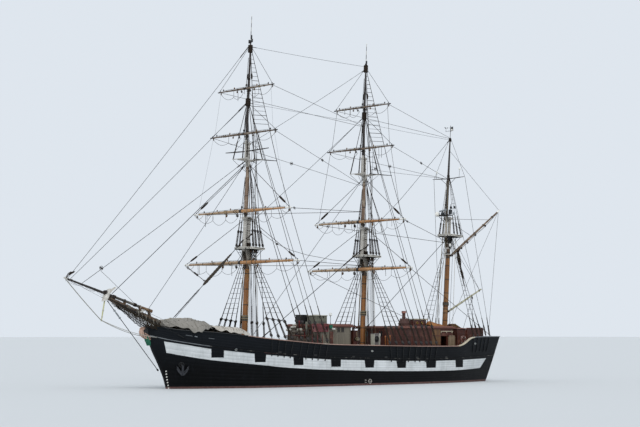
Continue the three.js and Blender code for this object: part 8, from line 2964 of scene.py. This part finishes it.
def strip(B, pts, side, w, key, proud=0.014):
    for (s0, z0), (s1, z1) in zip(pts, pts[1:]):
        n = max(1, round(abs(s1 - s0) / 0.4))
        for i in range(n):
            a, b = i / n, (i + 1) / n
            sa, sb, za, zb = lerp(s0, s1, a), lerp(s0, s1, b), lerp(z0, z1, a), lerp(z0, z1, b)
            q = [hull_point(sa, za - w / 2, side, proud)[0], hull_point(sb, zb - w / 2, side, proud)[0], hull_point(sb, zb + w / 2, side, proud)[0], hull_point(sa, za + w / 2, side, proud)[0]]
            r = [hull_point(sa, za - w / 2, side, -0.02)[0], hull_point(sb, zb - w / 2, side, -0.02)[0], hull_point(sb, zb + w / 2, side, -0.02)[0], hull_point(sa, za + w / 2, side, -0.02)[0]]
            f = [[0, 1, 2, 3], [0, 4, 5, 1], [1, 5, 6, 2], [2, 6, 7, 3], [3, 7, 4, 0]]
            nn = hull_point(sa, za, side, 0)[1]
            if (q[1] - q[0]).cross(q[2] - q[0]).dot(nn) < 0:
                f = [x[::-1] for x in f]
            B.add(q + r, f, key, False)


def make_hull_fittings():
    G["rust_line"] = painted("red_line_paint", (0x6A2E26, 0x4E221C), 0.6, 20, 0.4)
    for side, tag in ((1, "port"), (-1, "starboard")):
        B = Build()
        for i in range(7):                          # draught marks up the stem
            s, z = lerp(-0.29, 0.06, i / 6), lerp(1.41, 0.08, i / 6)
            patch(B, s + 0.01, z - 0.02, side, [(-0.05, -0.05), (0.04, -0.05), (0.05, 0.02), (0.03, 0.05), (-0.04, 0.05)], "white")
        for s, z in ((18.55, 2.87), (32.02, 3.44), (4.64, 3.08)):
            patch(B, s, z, side, oval(0.22, 0.14), "locker_lid", 0.03)
            # dark middle: painted shade inside the fairlead's hole
            patch(B, s, z, side, oval(0.09, 0.05), "tarpaint_and_hole_shade", 0.036)
            c, n = hull_point(s, z, side, 0.03)
            B.tube([hull_point(s + ds, z + dz, side, 0.03)[0] for ds, dz in oval(0.22, 0.14, 18)], 0.018 * K, "galv", 5, closed=True)
        # load line mark
        B.tube([hull_point(18.35 + ds, 0.34 + dz, side, 0.004)[0] for ds, dz in oval(0.34, 0.34, 26)], 0.022 * K, "white_worn", 5, closed=True)
        strip(B, [(18.12, 0.34), (18.58, 0.34)], side, 0.035, "white_worn")
        strip(B, [(17.75, 0.44), (17.95, 0.44)], side, 0.03, "white_worn")
        strip(B, [(17.75, 0.26), (17.95, 0.26)], side, 0.03, "white_worn")
        strip(B, [(17.75, 0.18), (17.75 + 0.03, 0.52)], side, 0.03, "white_worn")
        strip(B, [(7.12, 2.82), (9.11, 2.69)], side, 0.05, "rust_line")
        # pale streaks under the rail near the bow: a fairlead's chafe strip
        strip(B, [(0.55, 4.22), (1.05, 4.14)], side, 0.035, "grey_mould", 0.02)
        strip(B, [(1.20, 4.12), (1.42, 4.08)], side, 0.05, "galv", 0.03)
        strip(B, [(2.3, 3.98), (2.75, 3.92)], side, 0.04, "grey_mould", 0.03)
        # scuppers and freeing ports along the waterway, as dark patches: painted shade in the openings
        for s in (8.6, 12.2, 16.4, 20.2, 24.0, 27.8):
            z = deckAt(s) + 0.10
            patch(B, s, z, side, [(-0.16, -0.07), (0.16, -0.07), (0.16, 0.07), (-0.16, 0.07)], "tarpaint_and_hole_shade", 0.012)
        B.done(f"hull_fittings_{tag}")
    # rudder: plank edges and straps
    ob = frame["nodes"]["rudder"]
    ob.data.materials.clear()
    ob.data.materials.append(G["bottom"])
    B = Build()
    for z in (-3.3, -2.4, -1.5):
        for side in (1, -1):
            sbox(B, 33.98, 34.85, side * 0.105, side * 0.135, z - 0.06, z + 0.06, "bronze", 0.2)
            for k in range(4):
                B.ball(V(34.08 + 0.2 * k, side * 0.137, z), 0.025 * K, "bronze", 4)
    for q in (34.25, 34.55, 34.85):
        for side in (1, -1):
            B.tube([V(q, side * 0.108, -3.85), V(q, side * 0.108, -1.35)], 0.012 * K, "tarpaint_and_hole_shade", 4)
    B.done("rudder_straps", body="rudder")
    for n in ("propeller_port", "propeller_starboard"):
        ob = frame["nodes"][n]
        ob.data.materials.clear()
        ob.data.materials.append(G["bronze"])
    for n in ("propeller_shaft_port", "propeller_shaft_starboard"):
        ob = frame["nodes"][n]
        ob.data.materials.clear()
        ob.data.materials.append(G["steel_grey"])


make_hull_fittings()


# ================================================================ floor at the waterline, end
def make_floor():
    me = bpy.data.meshes.new("floor")
    r = 150.0
    me.from_pydata([(-r, -r, 0), (r, -r, 0), (r, r, 0), (-r, r, 0)], [], [(0, 1, 2, 3)])
    m = Mat("floor", rough=0.9, spec=0.1)
    m.color((0.62, 0.64, 0.65))
    me.materials.append(m.m)
    ob = bpy.data.objects.new("floor", me)
    bpy.context.scene.collection.objects.link(ob)


make_floor()
for ob in bpy.data.objects:
    if ob.type == "MESH" and not ob.data.materials:
        ob.data.materials.append(G["steel"])
bpy.context.view_layer.update()
